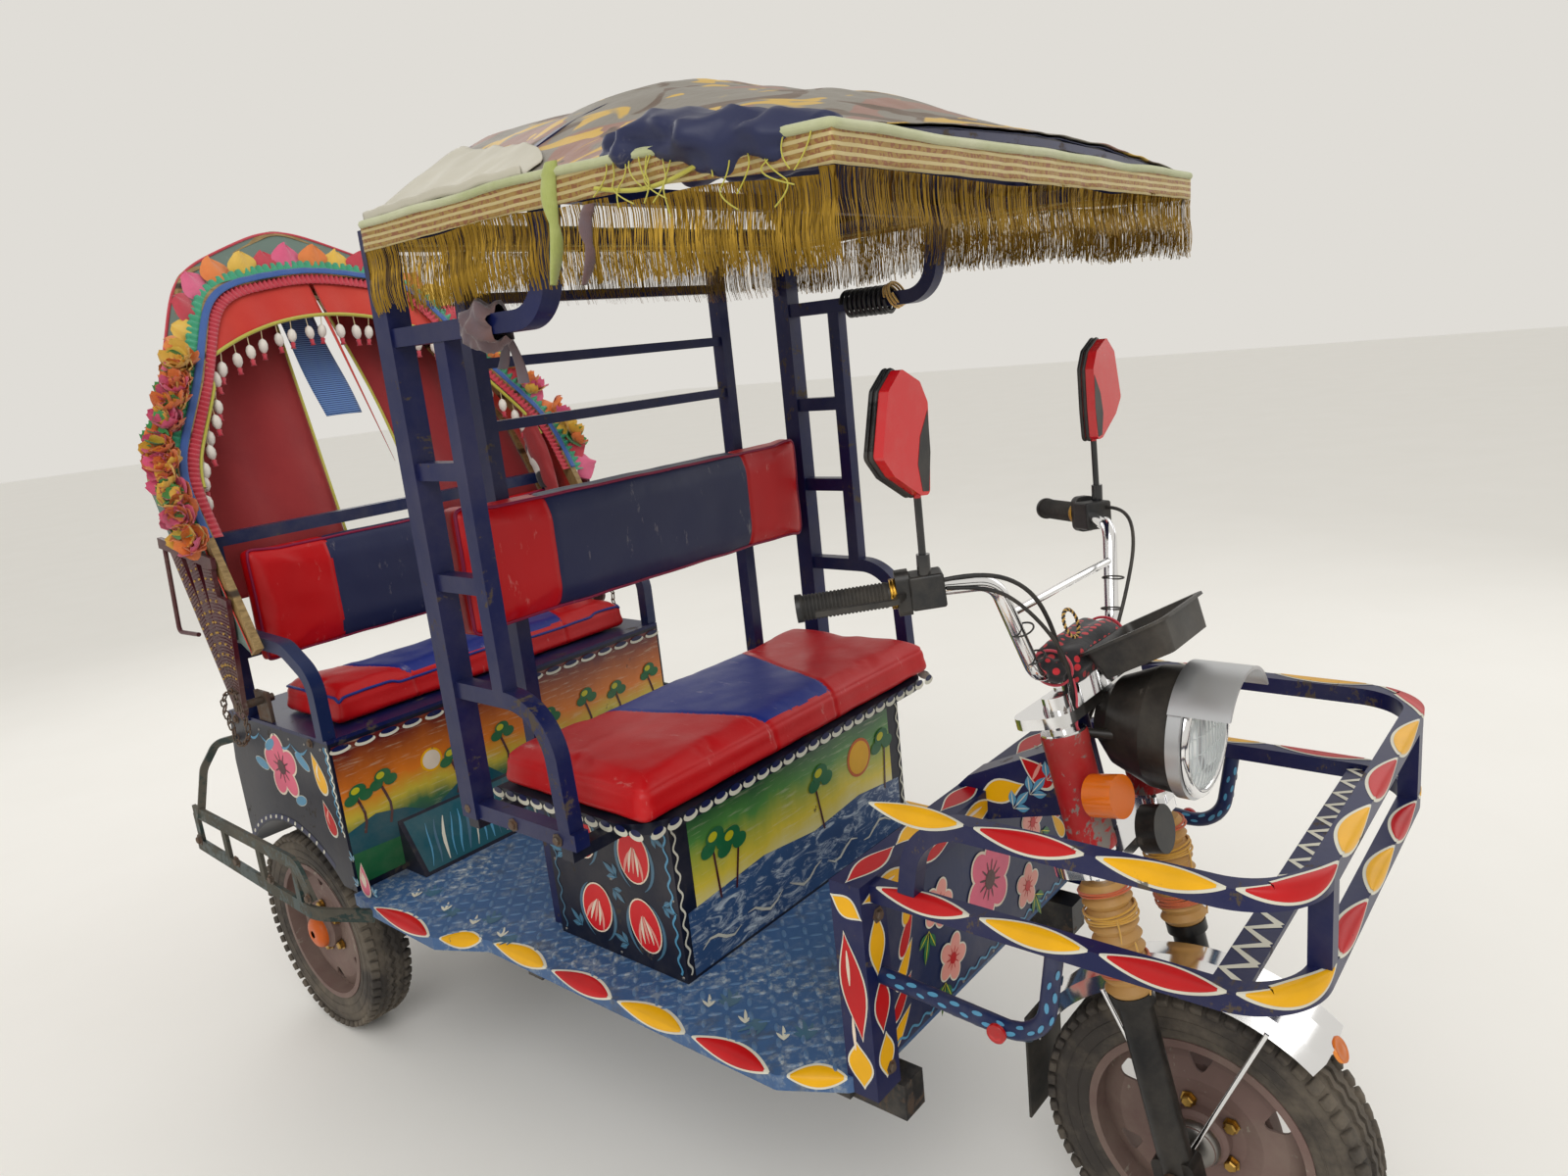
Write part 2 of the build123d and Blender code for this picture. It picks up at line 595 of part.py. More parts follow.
def rear_cushion():
    """Seat cushion with a rounded front edge."""
    x, low = REAR_CUSHION_X, REAR_BOX_TOP_Z + SEAT_BOARD_T
    pad = block(-x, x, REAR_CUSHION_FRONT_Y, REAR_CUSHION_BACK_Y, low, low + REAR_CUSHION_T)
    return fillet(pad.edges().filter_by(Axis.X).group_by(Axis.Z)[-1], 18)


def rear_backrest():
    """Back cushion leaning on the seat rail."""
    x, back = REAR_CUSHION_X + 10, REAR_RAIL_Y - BAR / 2
    pad = block(-x, x, back - REAR_PAD_T, back, *REAR_PAD_Z)
    return fillet(pad.edges().filter_by(Axis.X).group_by(Axis.Y)[0], 18)


def rear_seat_rail():
    """Rail across the back with posts, and an armrest hoop at each side."""
    x, y, half, top = ARMREST_X, REAR_RAIL_Y, BAR / 2, REAR_RAIL_Z + BAR / 2
    foot = REAR_BOX_TOP_Z
    rail = block(-x, x, y - half, y + half, top - BAR, top)
    low_bar = block(-x, x, y - half, y + half, REAR_PAD_Z[0] + 20, REAR_PAD_Z[0] + 20 + BAR)
    post = block(x - half, x + half, y - half, y + half, foot, top)
    arm_z = foot + 205
    line = [(x, y, arm_z), (x, 640, arm_z - 10), (x, 545, arm_z - 65), (x, 545, foot + SEAT_BOARD_T)]
    return both(post + bar(line, Rectangle(BAR, BAR), bend=70)) + rail + low_bar


# Side guards: flat bars outside the rear wheels

def side_guard(floor, housing):
    """Two rails with spacers, joined at the nose, and a hoop at the back."""
    flat = Rectangle(GUARD_T, GUARD_BAR)
    x, half, front, rear = GUARD_X, GUARD_T / 2, GUARD_FRONT_Y, GUARD_REAR_Y
    upper = [(x, rear - 18, GUARD_TOP_Z + 6), (x, front + 48, GUARD_TOP_Z - 6), (x, front + 4, GUARD_LOW_Z + 10)]
    lower = [(x, rear, GUARD_LOW_Z + 10), (x, front + 6, GUARD_LOW_Z - 18),
             (FLOOR_STEP_X - 10, front - 61, GUARD_LOW_Z - 48)]
    guard = bar(upper, flat, bend=40) + bar(lower, flat, bend=50)
    for y in (front + 60, front + 220, front + 390, rear - 24):
        guard += block(x - half, x + half, y - 10, y + 10, GUARD_LOW_Z - 4, GUARD_TOP_Z)
    side, back = HOUSING_X[1], REAR_BOX_BACK_Y
    hoop = [(side - 20, back - 10, REAR_BOX_TOP_Z - 60), (side + 34, back + 24, REAR_BOX_TOP_Z - 66),
            (x - 22, back + 8, REAR_BOX_TOP_Z - 110), (x, back + 30, GUARD_TOP_Z - 4)]
    guard += bar(hoop, Rectangle(16, 16), bend=26)
    return largest(guard - floor - housing)


# Front structure: columns, beam, head tube and the leg shield

def along(s, back=0.0, x=0.0):
    """A point at distance s up the fork from the axle, set back from the fork's line."""
    tilt = radians(RAKE)
    return (x, FRONT_AXLE_Y + s * sin(tilt) + back * cos(tilt), WHEEL_R + s * cos(tilt) - back * sin(tilt))


def fork_rod(x, back, s0, s1, radius):
    """A round piece parallel to the fork."""
    return rod(along(s0, back, x), along(s1, back, x), radius)


HEAD_S = (LOWER_YOKE_S + YOKE_T / 2 + 3, UPPER_YOKE_S - YOKE_T / 2 - 3)


def head_frame():
    """Columns on the floor's front corners, the beam on them and the neck to the head tube."""
    near, far = COLUMN_Y
    column = block(*COLUMN_X, near, far, FLOOR_Z - COLUMN_DROP, BEAM_Z[0])
    beam = block(-COLUMN_X[1], COLUMN_X[1], near, far, *BEAM_Z)
    tube = fork_rod(0, FORK_OFFSET, *HEAD_S, HEAD_R)
    top, low = along(HEAD_S[1] - 60, FORK_OFFSET), along(HEAD_S[0] + 30, FORK_OFFSET)
    profile = Polyline((near, BEAM_Z[0]), (far, BEAM_Z[1]), (far - 20, BEAM_Z[1] + 20), top[1:], low[1:],
                       close=True)
    neck = extrude(make_face(Plane.YZ * profile), 26, dir=(1, 0, 0), both=True)
    bore = fork_rod(0, FORK_OFFSET, HEAD_S[0] - 5, HEAD_S[1] + 5, STEM_R + FIT)
    return both(column) + beam + tube + neck - bore


def front_panel():
    """Leg shield between the columns."""
    y = COLUMN_Y[0] + 20
    return block(-COLUMN_X[0], COLUMN_X[0], y, y + SHEET, FLOOR_Z, BEAM_Z[0])


# Basket

def basket_ring():
    """Lower ring with the slat across it."""
    x, z = BASKET_X, RING_Z
    section = Rectangle(BASKET_TUBE, BASKET_TUBE)
    back, front = COLUMN_Y[0], BASKET_FRONT_Y
    ring = bar([(-x, back, z), (-x, front, z), (x, front, z), (x, back, z)], section, bend=BASKET_CORNER_R)
    return ring + block(-x, x, SLAT_Y - 20, SLAT_Y + 20, z - 4, z + 4)


def basket_hoop():
    """Upper hoop whose ends curve down to the ring, with two struts at the nose."""
    x, z, half = BASKET_X, HOOP_Z, BASKET_TUBE / 2
    foot, front, back = RING_Z + half, BASKET_FRONT_Y, COLUMN_Y[0] - 60
    points = [(-x, back, foot), (-x, back - 20, z), (-x, front, z),
              (x, front, z), (x, back - 20, z), (x, back, foot)]
    hoop = bar(points, Rectangle(BASKET_TUBE, BASKET_TUBE), bend=BASKET_CORNER_R)
    strut = block(250 - half, 250 + half, front - half, front + half, foot, z)
    cut = block(-x - 50, x + 50, front - 50, COLUMN_Y[1], foot - 50, foot)
    return hoop + both(strut) - cut


def basket_supports():
    """Round J-shaped tubes from the columns up to the ring."""
    x, root, low = BASKET_X, FLOOR_Z + 162, FLOOR_Z + 146
    line = [(x, COLUMN_Y[0], root), (x, -1000, low), (x, -1020, RING_Z - BASKET_TUBE / 2)]
    tube = largest(bar(line, Circle(12), bend=60) - basket_ring() - head_frame())
    return [tube, mirrored(tube)]


# Fork and steering

def fork_legs():
    """Lower legs with the lugs that hold the axle."""
    legs = []
    for x in (-FORK_X, FORK_X):
        leg = fork_rod(x, 0, -26, 285, LEG_R) + fork_rod(x, 0, 268, 285, LEG_R + 6)
        lug = Pos(x, FRONT_AXLE_Y, WHEEL_R) * Rot(X=-RAKE) * fillet(Box(38, 62, 56).edges().filter_by(Axis.X), 10)
        legs.append(leg + lug - spindle_bore())
    return legs


def spindle_bore():
    """Cutter for the axle's bore."""
    return rod((-200, FRONT_AXLE_Y, WHEEL_R), (200, FRONT_AXLE_Y, WHEEL_R), SPINDLE_R)


def front_spindle():
    """Front axle with a nut at each end."""
    y, z, reach = FRONT_AXLE_Y, WHEEL_R, FORK_X + LEG_R
    axle = rod((-reach - 14, y, z), (reach + 14, y, z), SPINDLE_R)
    for end in (-1, 1):
        axle += rod((end * (reach + 1), y, z), (end * (reach + 11), y, z), 15)
    return axle


def fork_gaiters():
    """Bellows over the sliding tubes."""
    low, high, folds = 285.0, 456.0, 9
    pitch = (high - low) / folds
    line = [(0, low), (GAITER_R - 7, low)]
    for k in range(folds):
        line += [(GAITER_R, low + pitch * (k + 0.5)), (GAITER_R - 7, low + pitch * (k + 1))]
    bellows = revolve(Plane.XZ * make_face(Polyline(*line, (0, high), close=True)), Axis.Z)
    return [Plane(along(0, 0, x), x_dir=(1, 0, 0), z_dir=along_dir()) * bellows for x in (-FORK_X, FORK_X)]


def fork_yokes(bar_shape):
    """Sliding tubes, sleeves, both yokes, the stem and the risers under the bar."""
    piece = fork_rod(0, FORK_OFFSET, LOWER_YOKE_S - 10, UPPER_YOKE_S + 14, STEM_R)
    for x in (-FORK_X, FORK_X):
        piece += fork_rod(x, 0, 456, UPPER_YOKE_S + 30, STANCHION_R)
        piece += fork_rod(x, 0, LOWER_YOKE_S + 22, UPPER_YOKE_S - 20, SLEEVE_R)
    plate = yoke_plate()
    for s in (LOWER_YOKE_S, UPPER_YOKE_S):
        piece += Plane(along(s - YOKE_T / 2), x_dir=(1, 0, 0), z_dir=along_dir()) * plate
    for x in (-45, 45):
        piece += rod(along(UPPER_YOKE_S, BAR_CLAMP[1], x), along(*BAR_CLAMP, x), 13)
    return largest(piece - bar_shape)


def along_dir():
    """Unit direction up the fork."""
    return (0, sin(radians(RAKE)), cos(radians(RAKE)))


def yoke_plate():
    """Plate round both tubes and the stem, drawn in its own plane, back along +Y."""
    plate = fillet((Pos(0, 18) * Rectangle(2 * FORK_X + 76, 92)).vertices(), 34)
    return extrude(plate, YOKE_T)


def bar_point(k, share=0.0):
    """A corner of the handlebar, or a point on the way from it to the next one."""
    clamp = Vector(*along(*BAR_CLAMP))
    here, after = Vector(*BAR_POINTS[k]), Vector(*BAR_POINTS[min(k + 1, len(BAR_POINTS) - 1)])
    return clamp + here + (after - here) * share


def handlebar():
    """Chrome bar with its brace, bent up, out and back to the grips."""
    corners = [tuple(bar_point(k)) for k in range(len(BAR_POINTS))]
    half = bar(corners, Circle(BAR_R), bend=BAR_BEND, side=(0, 1, 0))
    x, y, z = bar_point(1, BRACE_SHARE)
    return half + mirrored(half) + rod((-x, y, z), (x, y, z), BRACE_R)


def bar_controls(bar_shape):
    """Switch cube, throttle housing, grip and lever on both ends."""
    root, tip = bar_point(3), bar_point(4)
    out = (tip - root).normalized()
    frame = Plane(root, x_dir=(out.Y, -out.X, 0), z_dir=out)
    cube = Pos(0, 0, -10) * fillet(Box(46, 46, 46).edges(), 4)
    throttle = extrude(Pos(0, 0, 12) * fillet(Rectangle(36, 60).vertices(), 12), 18)
    ring = rod((0, 0, 30), (0, 0, 38), GRIP_R + 3)
    grip = rod((0, 0, 38), (0, 0, 158), GRIP_R) + rod((0, 0, 158), (0, 0, 164), GRIP_R + 3)
    lever = bar([(14, 0, 22), (46, 0, 34), (42, 0, 138)], Rectangle(7, 10), bend=10, side=(0, 1, 0))
    side = largest(frame * (cube + throttle + ring + grip + lever) - bar_shape)
    return [side, mirrored(side)]


MIRROR_AT = (308.0, -821.0, FLOOR_Z + 920.0)
MIRROR_T = 26.0
MIRROR_OUTLINE = ((54, -21), (31, 57), (0, 81), (-40, 62), (-55, 35), (-52, -32), (-46, -82), (-26, -80), (31, -47))


def mirrors(controls):
    """Rear-view mirrors with a recessed glass, on stems that rise from the switch cubes."""
    x, y, z = MIRROR_AT
    foot = (x - 34, y - 3, z - 196)
    stem = rod(foot, (x - 35, y, z - 70), 5) + rod(foot, (x - 34, y - 3, z - 158), 9)
    face = Plane((x, y + MIRROR_T / 2, z), x_dir=(1, 0, 0), z_dir=(0, -1, 0))
    outline = fillet(make_face(Polyline(*MIRROR_OUTLINE, close=True)).vertices(), 8)
    head = face * (extrude(outline, MIRROR_T) - extrude(offset(outline, -6), 3))
    piece = largest(stem + head - controls)
    return [piece, mirrored(piece)]


def headlamp_bowl(yokes):
    """Round bowl of the headlamp with an arm to each sleeve."""
    outline = make_face(Polyline(
        (0, 130), (34, 126), (66, 96), (88, 40), (92, 0), (84, 0), (78, 40), (56, 88), (0, 104),
        close=True))
    lamp = revolve(Plane.XY * outline, Axis.Y)
    arm = rod((60, 70, 0), (FORK_X - SLEEVE_R + 4, 122, 6), 7)
    return largest(Pos(*along(*HEADLAMP_AT)) * (lamp + both(arm)) - yokes)


def headlamp_lens():
    """Silver rim, visor and domed lens."""
    outline = make_face([
        Line((0, -34), (0, 0)), Line((0, 0), (96, 0)), Line((96, 0), (96, -18)),
        ThreePointArc((96, -18), (60, -30), (0, -34))])
    lens = revolve(Plane.XY * outline, Axis.Y)
    visor = rod((0, 0, 0), (0, -82, 0), 100) - rod((0, 1, 0), (0, -90, 0), 95)
    visor = visor & block(-100, 100, -90, 0, 52, 110)
    x, y, z = along(*HEADLAMP_AT)
    return Pos(x, y - FIT, z) * (lens + visor)


def indicators():
    """Amber indicators on the fork's sleeves."""
    lamp = rod(along(590, -SLEEVE_R - 2, FORK_X + 24), along(590, -SLEEVE_R - 46, FORK_X + 30), 30)
    stalk = rod(along(590, -10, FORK_X + 10), along(590, -SLEEVE_R - 6, FORK_X + 24), 7)
    piece = lamp + stalk - fork_rod(FORK_X, 0, 400, 700, SLEEVE_R)
    return [largest(piece), mirrored(largest(piece))]


def horn():
    """Disc horn below the headlamp."""
    return rod(along(LOWER_YOKE_S + 6, -28 - FIT), along(LOWER_YOKE_S + 6, -58), 36)


def tray():
    """Open moulded tray with a flange, over the bar's clamp."""
    x, y, z = along(*BAR_CLAMP)
    rim = Plane((x, y - 97, z + 54), x_dir=(1, 0, 0), z_dir=(0, 0.476, 0.88))
    outer = extrude(fillet(Rectangle(156, 130).vertices(), 18), -48, taper=12)
    flange = extrude(fillet(Rectangle(170, 144).vertices(), 24), -4)
    inner = Pos(0, 0, 1) * extrude(fillet(Rectangle(148, 122).vertices(), 14), -45, taper=12)
    return rim * (outer + flange - inner)


def clamp_cloth(*cutters):
    """Cloth tied over the bar's clamp and under the tray."""
    x, y, z = along(*BAR_CLAMP)
    cloth = fillet(block(x - 118, x + 118, y - 47, y + 39, z - 32, z + 34).edges(), 18)
    for cutter in cutters:
        cloth = cloth - cutter
    return largest(cloth)


def front_mudguard():
    """Chrome guard rolled round the tyre, with rolled edges and stays to the axle."""
    start, end = MUDGUARD_ARC
    half, r = MUDGUARD_W / 2, MUDGUARD_R
    upper = [(-half, r - 22), (-half + 14, r - 2), (0, r + 4), (half - 14, r - 2), (half, r - 22)]
    lower = [(half - 2, r - 23), (half - 15, r - 5), (0, r + 1), (-half + 15, r - 5), (-half + 2, r - 23)]
    ring = revolve(Plane.XZ * make_face(Polyline(*upper, *lower, close=True)), Axis.X, end - start)
    y, z = FRONT_AXLE_Y, WHEEL_R
    guard = Pos(0, y, z) * Rot(X=90 - end) * ring
    for angle in STAY_ANGLES:
        a = radians(angle)
        tip = (half - 3, y - (r - 18) * cos(a), z + (r - 18) * sin(a))
        guard += both(rod((STAY_X, y, z), tip, 4))
    lug = rod((STAY_X - 4, y, z), (STAY_X + 4, y, z), 16)
    return guard + both(lug) - spindle_bore()


def mud_flap(guard):
    """Rubber flap behind the wheel, hung on the guard's tail."""
    tail = FRONT_AXLE_Y + (MUDGUARD_R + 4) * cos(radians(180 - MUDGUARD_ARC[1])) - 1
    return largest(block(-60, 60, tail, tail + 4, *FLAP_Z) - guard)


# Folding hood

def bow_frame(bow):
    """Plane of a bow: x across, y up along the leg, origin at the feet."""
    foot, top = bow[0], bow[1]
    up = Vector(0, top[0] - foot[0], top[1] - foot[1]).normalized()
    return Plane((0, *foot), x_dir=(1, 0, 0), z_dir=Vector(1, 0, 0).cross(up))


def outward(points, delta):
    """The corners of an open line moved outward by delta, mitred."""
    runs = [(Vector(*b) - Vector(*a)).normalized() for a, b in zip(points, points[1:])]
    normals = [Vector(-run.Y, run.X) for run in runs]
    moved = []
    for k, point in enumerate(points):
        first, second = normals[max(k - 1, 0)], normals[min(k, len(normals) - 1)]
        mitre = (first + second) * (delta / (1 + first.dot(second)))
        moved.append(Vector(*point) + mitre)
    return moved


def rounded(points, radii):
    """Straight runs through the points, with an arc of its own radius at each inner corner."""
    edges, start = [], points[0]
    for before, corner, after, radius in zip(points, points[1:], points[2:], radii):
        back, on = (before - corner).normalized(), (after - corner).normalized()
        half = radians(back.get_angle(on)) / 2
        reach, depth = radius / tan(half), radius / sin(half) - radius
        first, last = corner + back * reach, corner + on * reach
        edges += [Line(start, first), ThreePointArc(first, corner + (back + on).normalized() * depth, last)]
        start = last
    return [*edges, Line(start, points[-1])]


def arch_edges(bow, delta):
    """The bow's line, moved outward by delta, from the right foot over to the left one."""
    corners, radii = bow[2], bow[3]
    points = [(-x, up) for x, up in corners] + [(x, up) for x, up in reversed(corners[:-1])]
    bends = [radius + delta for radius in (*radii, *reversed(radii[:-1]))]
    return rounded(outward(points, delta), bends)


def arch_face(bow, inner, outer):
    """Band in a bow's own plane, between two offsets from its line."""
    out, inn = arch_edges(bow, outer), arch_edges(bow, inner)
    return make_face([*out, *inn, Line(out[0] @ 0, inn[0] @ 0), Line(out[-1] @ 1, inn[-1] @ 1)])


def hood_bow(bow, width, thickness=BOW_T):
    """A bent wooden bow with straight legs, cleared of the cloth over it."""
    shape = bow_frame(bow) * extrude(arch_face(bow, -thickness / 2, thickness / 2), width / 2, both=True)
    return largest(shape - hood_cover() - hood_front_cover())


def cover_section(bow):
    """The cover's band over a bow."""
    gap = BOW_T / 2 + FIT
    return bow_frame(bow) * arch_face(bow, gap, gap + COVER_T)


def hood_cover():
    """Cloth from the middle bow to the rear one."""
    return loft([cover_section(HOOD_MIDDLE_BOW), cover_section(HOOD_REAR_BOW)], ruled=True)


def hood_front_cover():
    """Cloth between the front bow and the middle one."""
    return loft([cover_section(HOOD_FRONT_BOW), cover_section(HOOD_MIDDLE_BOW)], ruled=True)


def hood_curtain():
    """Two cloth flaps that close the back of the hood, with a gap between them."""
    edges = arch_edges(HOOD_REAR_BOW, -BOW_T / 2 - FIT)
    sheet = make_face([*edges, Line(edges[0] @ 0, edges[-1] @ 1)])
    apex = HOOD_REAR_BOW[2][-1][1]
    gap = Pos(0, apex / 2 - 60) * Rectangle(CURTAIN_GAP, apex)
    return bow_frame(HOOD_REAR_BOW) * extrude(sheet - gap, 2, both=True)


def hood_slats():
    """Wooden slats that fan from the pivot, a bracket behind them and the lever rod under it."""
    x0 = HOOD_FRONT_BOW[2][0][0] + BOW_T / 2 + COVER_T + 2 * FIT
    thick = SLAT_T
    x, x1 = x0 + thick / 2, x0 + thick
    fan = rod((x0, PIVOT_Y, PIVOT_Z), (x1, PIVOT_Y, PIVOT_Z), 26)
    for y, z in SLAT_ENDS:
        fan += bar([(x, PIVOT_Y, PIVOT_Z), (x, y, z)], Rectangle(thick, SLAT_W))
    fan += bar([(x, y, z) for y, z in BRACKET_ENDS], Rectangle(thick, BRACKET_W))
    fan += bar([(x, y, z) for y, z in LEVER_POINTS], Circle(thick / 2), bend=12)
    return fan - rod((x0 - 1, PIVOT_Y, PIVOT_Z), (x1 + 1, PIVOT_Y, PIVOT_Z), PIVOT_R + FIT)


SLAT_T = 10.0
SLAT_W = 44.0
SLAT_ENDS = ((764, PIVOT_Z + 248), (806, PIVOT_Z + 326), (880, PIVOT_Z + 336), (960, PIVOT_Z + 346))
BRACKET_W = 24.0
BRACKET_ENDS = ((776, PIVOT_Z + 322), (1038, PIVOT_Z + 356))
LEVER_POINTS = ((1018, PIVOT_Z + 350), (1046, PIVOT_Z + 146), (940, PIVOT_Z + 150))


def hood_pivots():
    """Pivot pins on brackets welded to the rear box."""
    side, reach = HOUSING_X[1], HOOD_FRONT_BOW[2][0][0] + 30
    pin = rod((side - 30, PIVOT_Y, PIVOT_Z), (reach, PIVOT_Y, PIVOT_Z), PIVOT_R)
    plate = block(side - 12, side - 4, PIVOT_Y - 30, PIVOT_Y + 30, REAR_BOX_TOP_Z + SEAT_BOARD_T, PIVOT_Z + 20)
    return [pin + plate, mirrored(pin + plate)]


def hood_valance():
    """Cloth strip that hangs inside the front bow."""
    bow, side, spring = HOOD_FRONT_BOW, VALANCE_X, VALANCE_SPRING
    edges = arch_edges(bow, -BOW_T / 2 - FIT)
    sheet = make_face([*edges, Line(edges[0] @ 0, edges[-1] @ 1)])
    middle = bow[2][-1][1] - VALANCE_DROP
    below = make_face([Line((-side, 0), (-side, spring)), Line((side, spring), (side, 0)),
                       ThreePointArc((-side, spring), (0, middle), (side, spring)), Line((side, 0), (-side, 0))])
    return bow_frame(bow) * extrude(sheet - below, 1.5, both=True)


# Build and write every node

os.makedirs("parts", exist_ok=True)

tyre_shape = tyre()
rear_right = Pos(-TRACK_HALF, REAR_AXLE_Y, WHEEL_R)
rear_left = Pos(TRACK_HALF, REAR_AXLE_Y, WHEEL_R)
front = Pos(0, FRONT_AXLE_Y, WHEEL_R)
emit("rear_tyre_right", rear_right * tyre_shape)
emit("rear_tyre_left", rear_left * tyre_shape)
emit("front_tyre", front * tyre_shape)
emit("rear_wheel_right", rear_right * wheel_disc(-1))
emit("rear_wheel_left", rear_left * wheel_disc(1))
emit("front_wheel", front * front_wheel())

emit("rear_axle", rear_axle())
emit("drive_motor", drive_motor())
emit("leaf_springs", both(leaf_spring()))
emit("chassis_rails", *chassis_rails())
emit("chassis_crossmembers", *chassis_crossmembers())
head = head_frame()
floor = largest(floor_plate() - head)
emit("floor_plate", floor)
emit("head_frame", head)
emit("front_panel", front_panel())
emit("basket_ring", basket_ring())
emit("basket_hoop", basket_hoop())
emit("basket_supports", *basket_supports())

emit("driver_box", driver_box())
emit("battery_block", battery_block())
emit("driver_cushion", driver_cushion())
emit("driver_backrest", driver_backrest())
ladder = side_ladder()
emit("side_ladders", ladder, mirrored(ladder))
rest = armrest(ladder)
emit("armrests", rest, mirrored(rest))
emit("back_rails", back_rails())
emit("canopy_frame", canopy_frame())
emit("canopy_cover", canopy_cover())
emit("canopy_fringe", *canopy_fringe())

emit("rear_box_panels", rear_box_front(), rear_box_back())
housing = wheel_housing()
emit("wheel_housings", housing, mirrored(housing))
seat_rail = rear_seat_rail()
emit("rear_seat_board", rear_seat_board(seat_rail))
emit("rear_cushion", rear_cushion())
emit("rear_backrest", rear_backrest())
emit("rear_seat_rail", seat_rail)
guard = side_guard(floor, housing)
emit("side_guards", guard, mirrored(guard))

emit("fork_legs", *fork_legs())
emit("front_spindle", front_spindle())
emit("fork_gaiters", *fork_gaiters())
bar_shape = handlebar()
yokes = fork_yokes(bar_shape)
controls = bar_controls(bar_shape)
emit("fork_yokes", yokes)
emit("handlebar", bar_shape)
emit("bar_controls", *controls)
emit("mirrors", *mirrors(controls[0]))
emit("headlamp_bowl", headlamp_bowl(yokes))
emit("headlamp_lens", headlamp_lens())
emit("indicators", *indicators())
emit("horn", horn())
tray_shape = tray()
emit("tray", tray_shape)
emit("clamp_cloth", clamp_cloth(tray_shape, bar_shape, yokes))
mudguard = front_mudguard()
emit("front_mudguard", mudguard)
emit("mud_flap", mud_flap(mudguard))

emit("hood_front_bow", hood_bow(HOOD_FRONT_BOW, FRONT_BOW_W))
emit("hood_valance", hood_valance())
emit("hood_front_cover", hood_front_cover())
emit("hood_bows", hood_bow(HOOD_MIDDLE_BOW, BOW_W), hood_bow(HOOD_REAR_BOW, BOW_W))
emit("hood_cover", hood_cover())
emit("hood_curtain", hood_curtain())
slats = hood_slats()
emit("hood_slats", slats, mirrored(slats))
emit("hood_pivots", *hood_pivots())
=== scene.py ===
"""Battery auto rickshaw: paint, cloth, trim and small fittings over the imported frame."""

import logging
import math
import random
from dataclasses import dataclass
from enum import Enum
from functools import cache
from typing import Callable, Iterable, Sequence

import bmesh
import bpy
import numpy as np
from mathutils import Matrix, Vector, noise
from mathutils.bvhtree import BVHTree


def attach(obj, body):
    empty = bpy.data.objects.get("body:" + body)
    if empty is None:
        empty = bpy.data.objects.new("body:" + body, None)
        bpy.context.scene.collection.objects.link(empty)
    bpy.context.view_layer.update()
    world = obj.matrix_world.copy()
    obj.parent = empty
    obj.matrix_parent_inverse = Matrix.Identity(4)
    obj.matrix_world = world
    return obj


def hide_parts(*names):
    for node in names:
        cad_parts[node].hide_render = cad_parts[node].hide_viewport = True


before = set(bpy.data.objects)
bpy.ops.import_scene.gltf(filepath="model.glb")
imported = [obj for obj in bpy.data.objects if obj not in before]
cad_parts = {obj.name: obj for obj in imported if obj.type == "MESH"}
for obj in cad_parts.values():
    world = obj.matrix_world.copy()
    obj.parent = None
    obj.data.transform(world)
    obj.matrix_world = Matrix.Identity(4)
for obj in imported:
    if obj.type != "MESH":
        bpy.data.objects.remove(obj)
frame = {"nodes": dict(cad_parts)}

LOG = logging.getLogger("rickshaw")
Socket = bpy.types.NodeSocket
Point = tuple[float, float, float]
Pair = tuple[float, float]

FLOOR_Z = 0.426
SIDES = (-1.0, 1.0)
# The measures were taken from the posts behind the front bench, which stand this far behind the frame's origin.
SHIFT = 0.008
# Height of one layer of paint, and the least step between two figures of a layer.
PAINT_LIFT = 0.00035
PAINT_STEP = 4e-6
# Steps in which a bow's line is sampled.
BOW_STEPS = 240


def rgb(code: str) -> tuple[float, float, float, float]:
    """Turn a screen colour such as "#1b2552" into linear values.

    Args:
        code: Six hexadecimal digits after a hash.

    Returns:
        Linear red, green, blue and full alpha.
    """
    parts = [int(code[k:k + 2], 16) / 255 for k in (1, 3, 5)]
    linear = [c / 12.92 if c <= 0.04045 else ((c + 0.055) / 1.055) ** 2.4 for c in parts]
    return (*linear, 1.0)


def darker(code: str, share: float) -> list[float]:
    """The linear colour of a code, dimmed to a share."""
    return [*(c * share for c in rgb(code)[:3]), 1]


def place_in_scene(made: bpy.types.Object) -> bpy.types.Object:
    """Link a new object to the scene."""
    bpy.context.scene.collection.objects.link(made)
    return made


def side_name(side: float) -> str:
    """The word for a side in a piece's name."""
    return "left" if side > 0 else "right"


def polar(centre: Pair, reach: float, angle: float) -> Pair:
    """The place at a distance and an angle from a centre."""
    return centre[0] + reach * math.cos(angle), centre[1] + reach * math.sin(angle)


def round_points(a: float, b: float, count: int) -> list[Pair]:
    """Places round an oval of two half widths."""
    return [(a * math.cos(2 * math.pi * t / count), b * math.sin(2 * math.pi * t / count)) for t in range(count)]


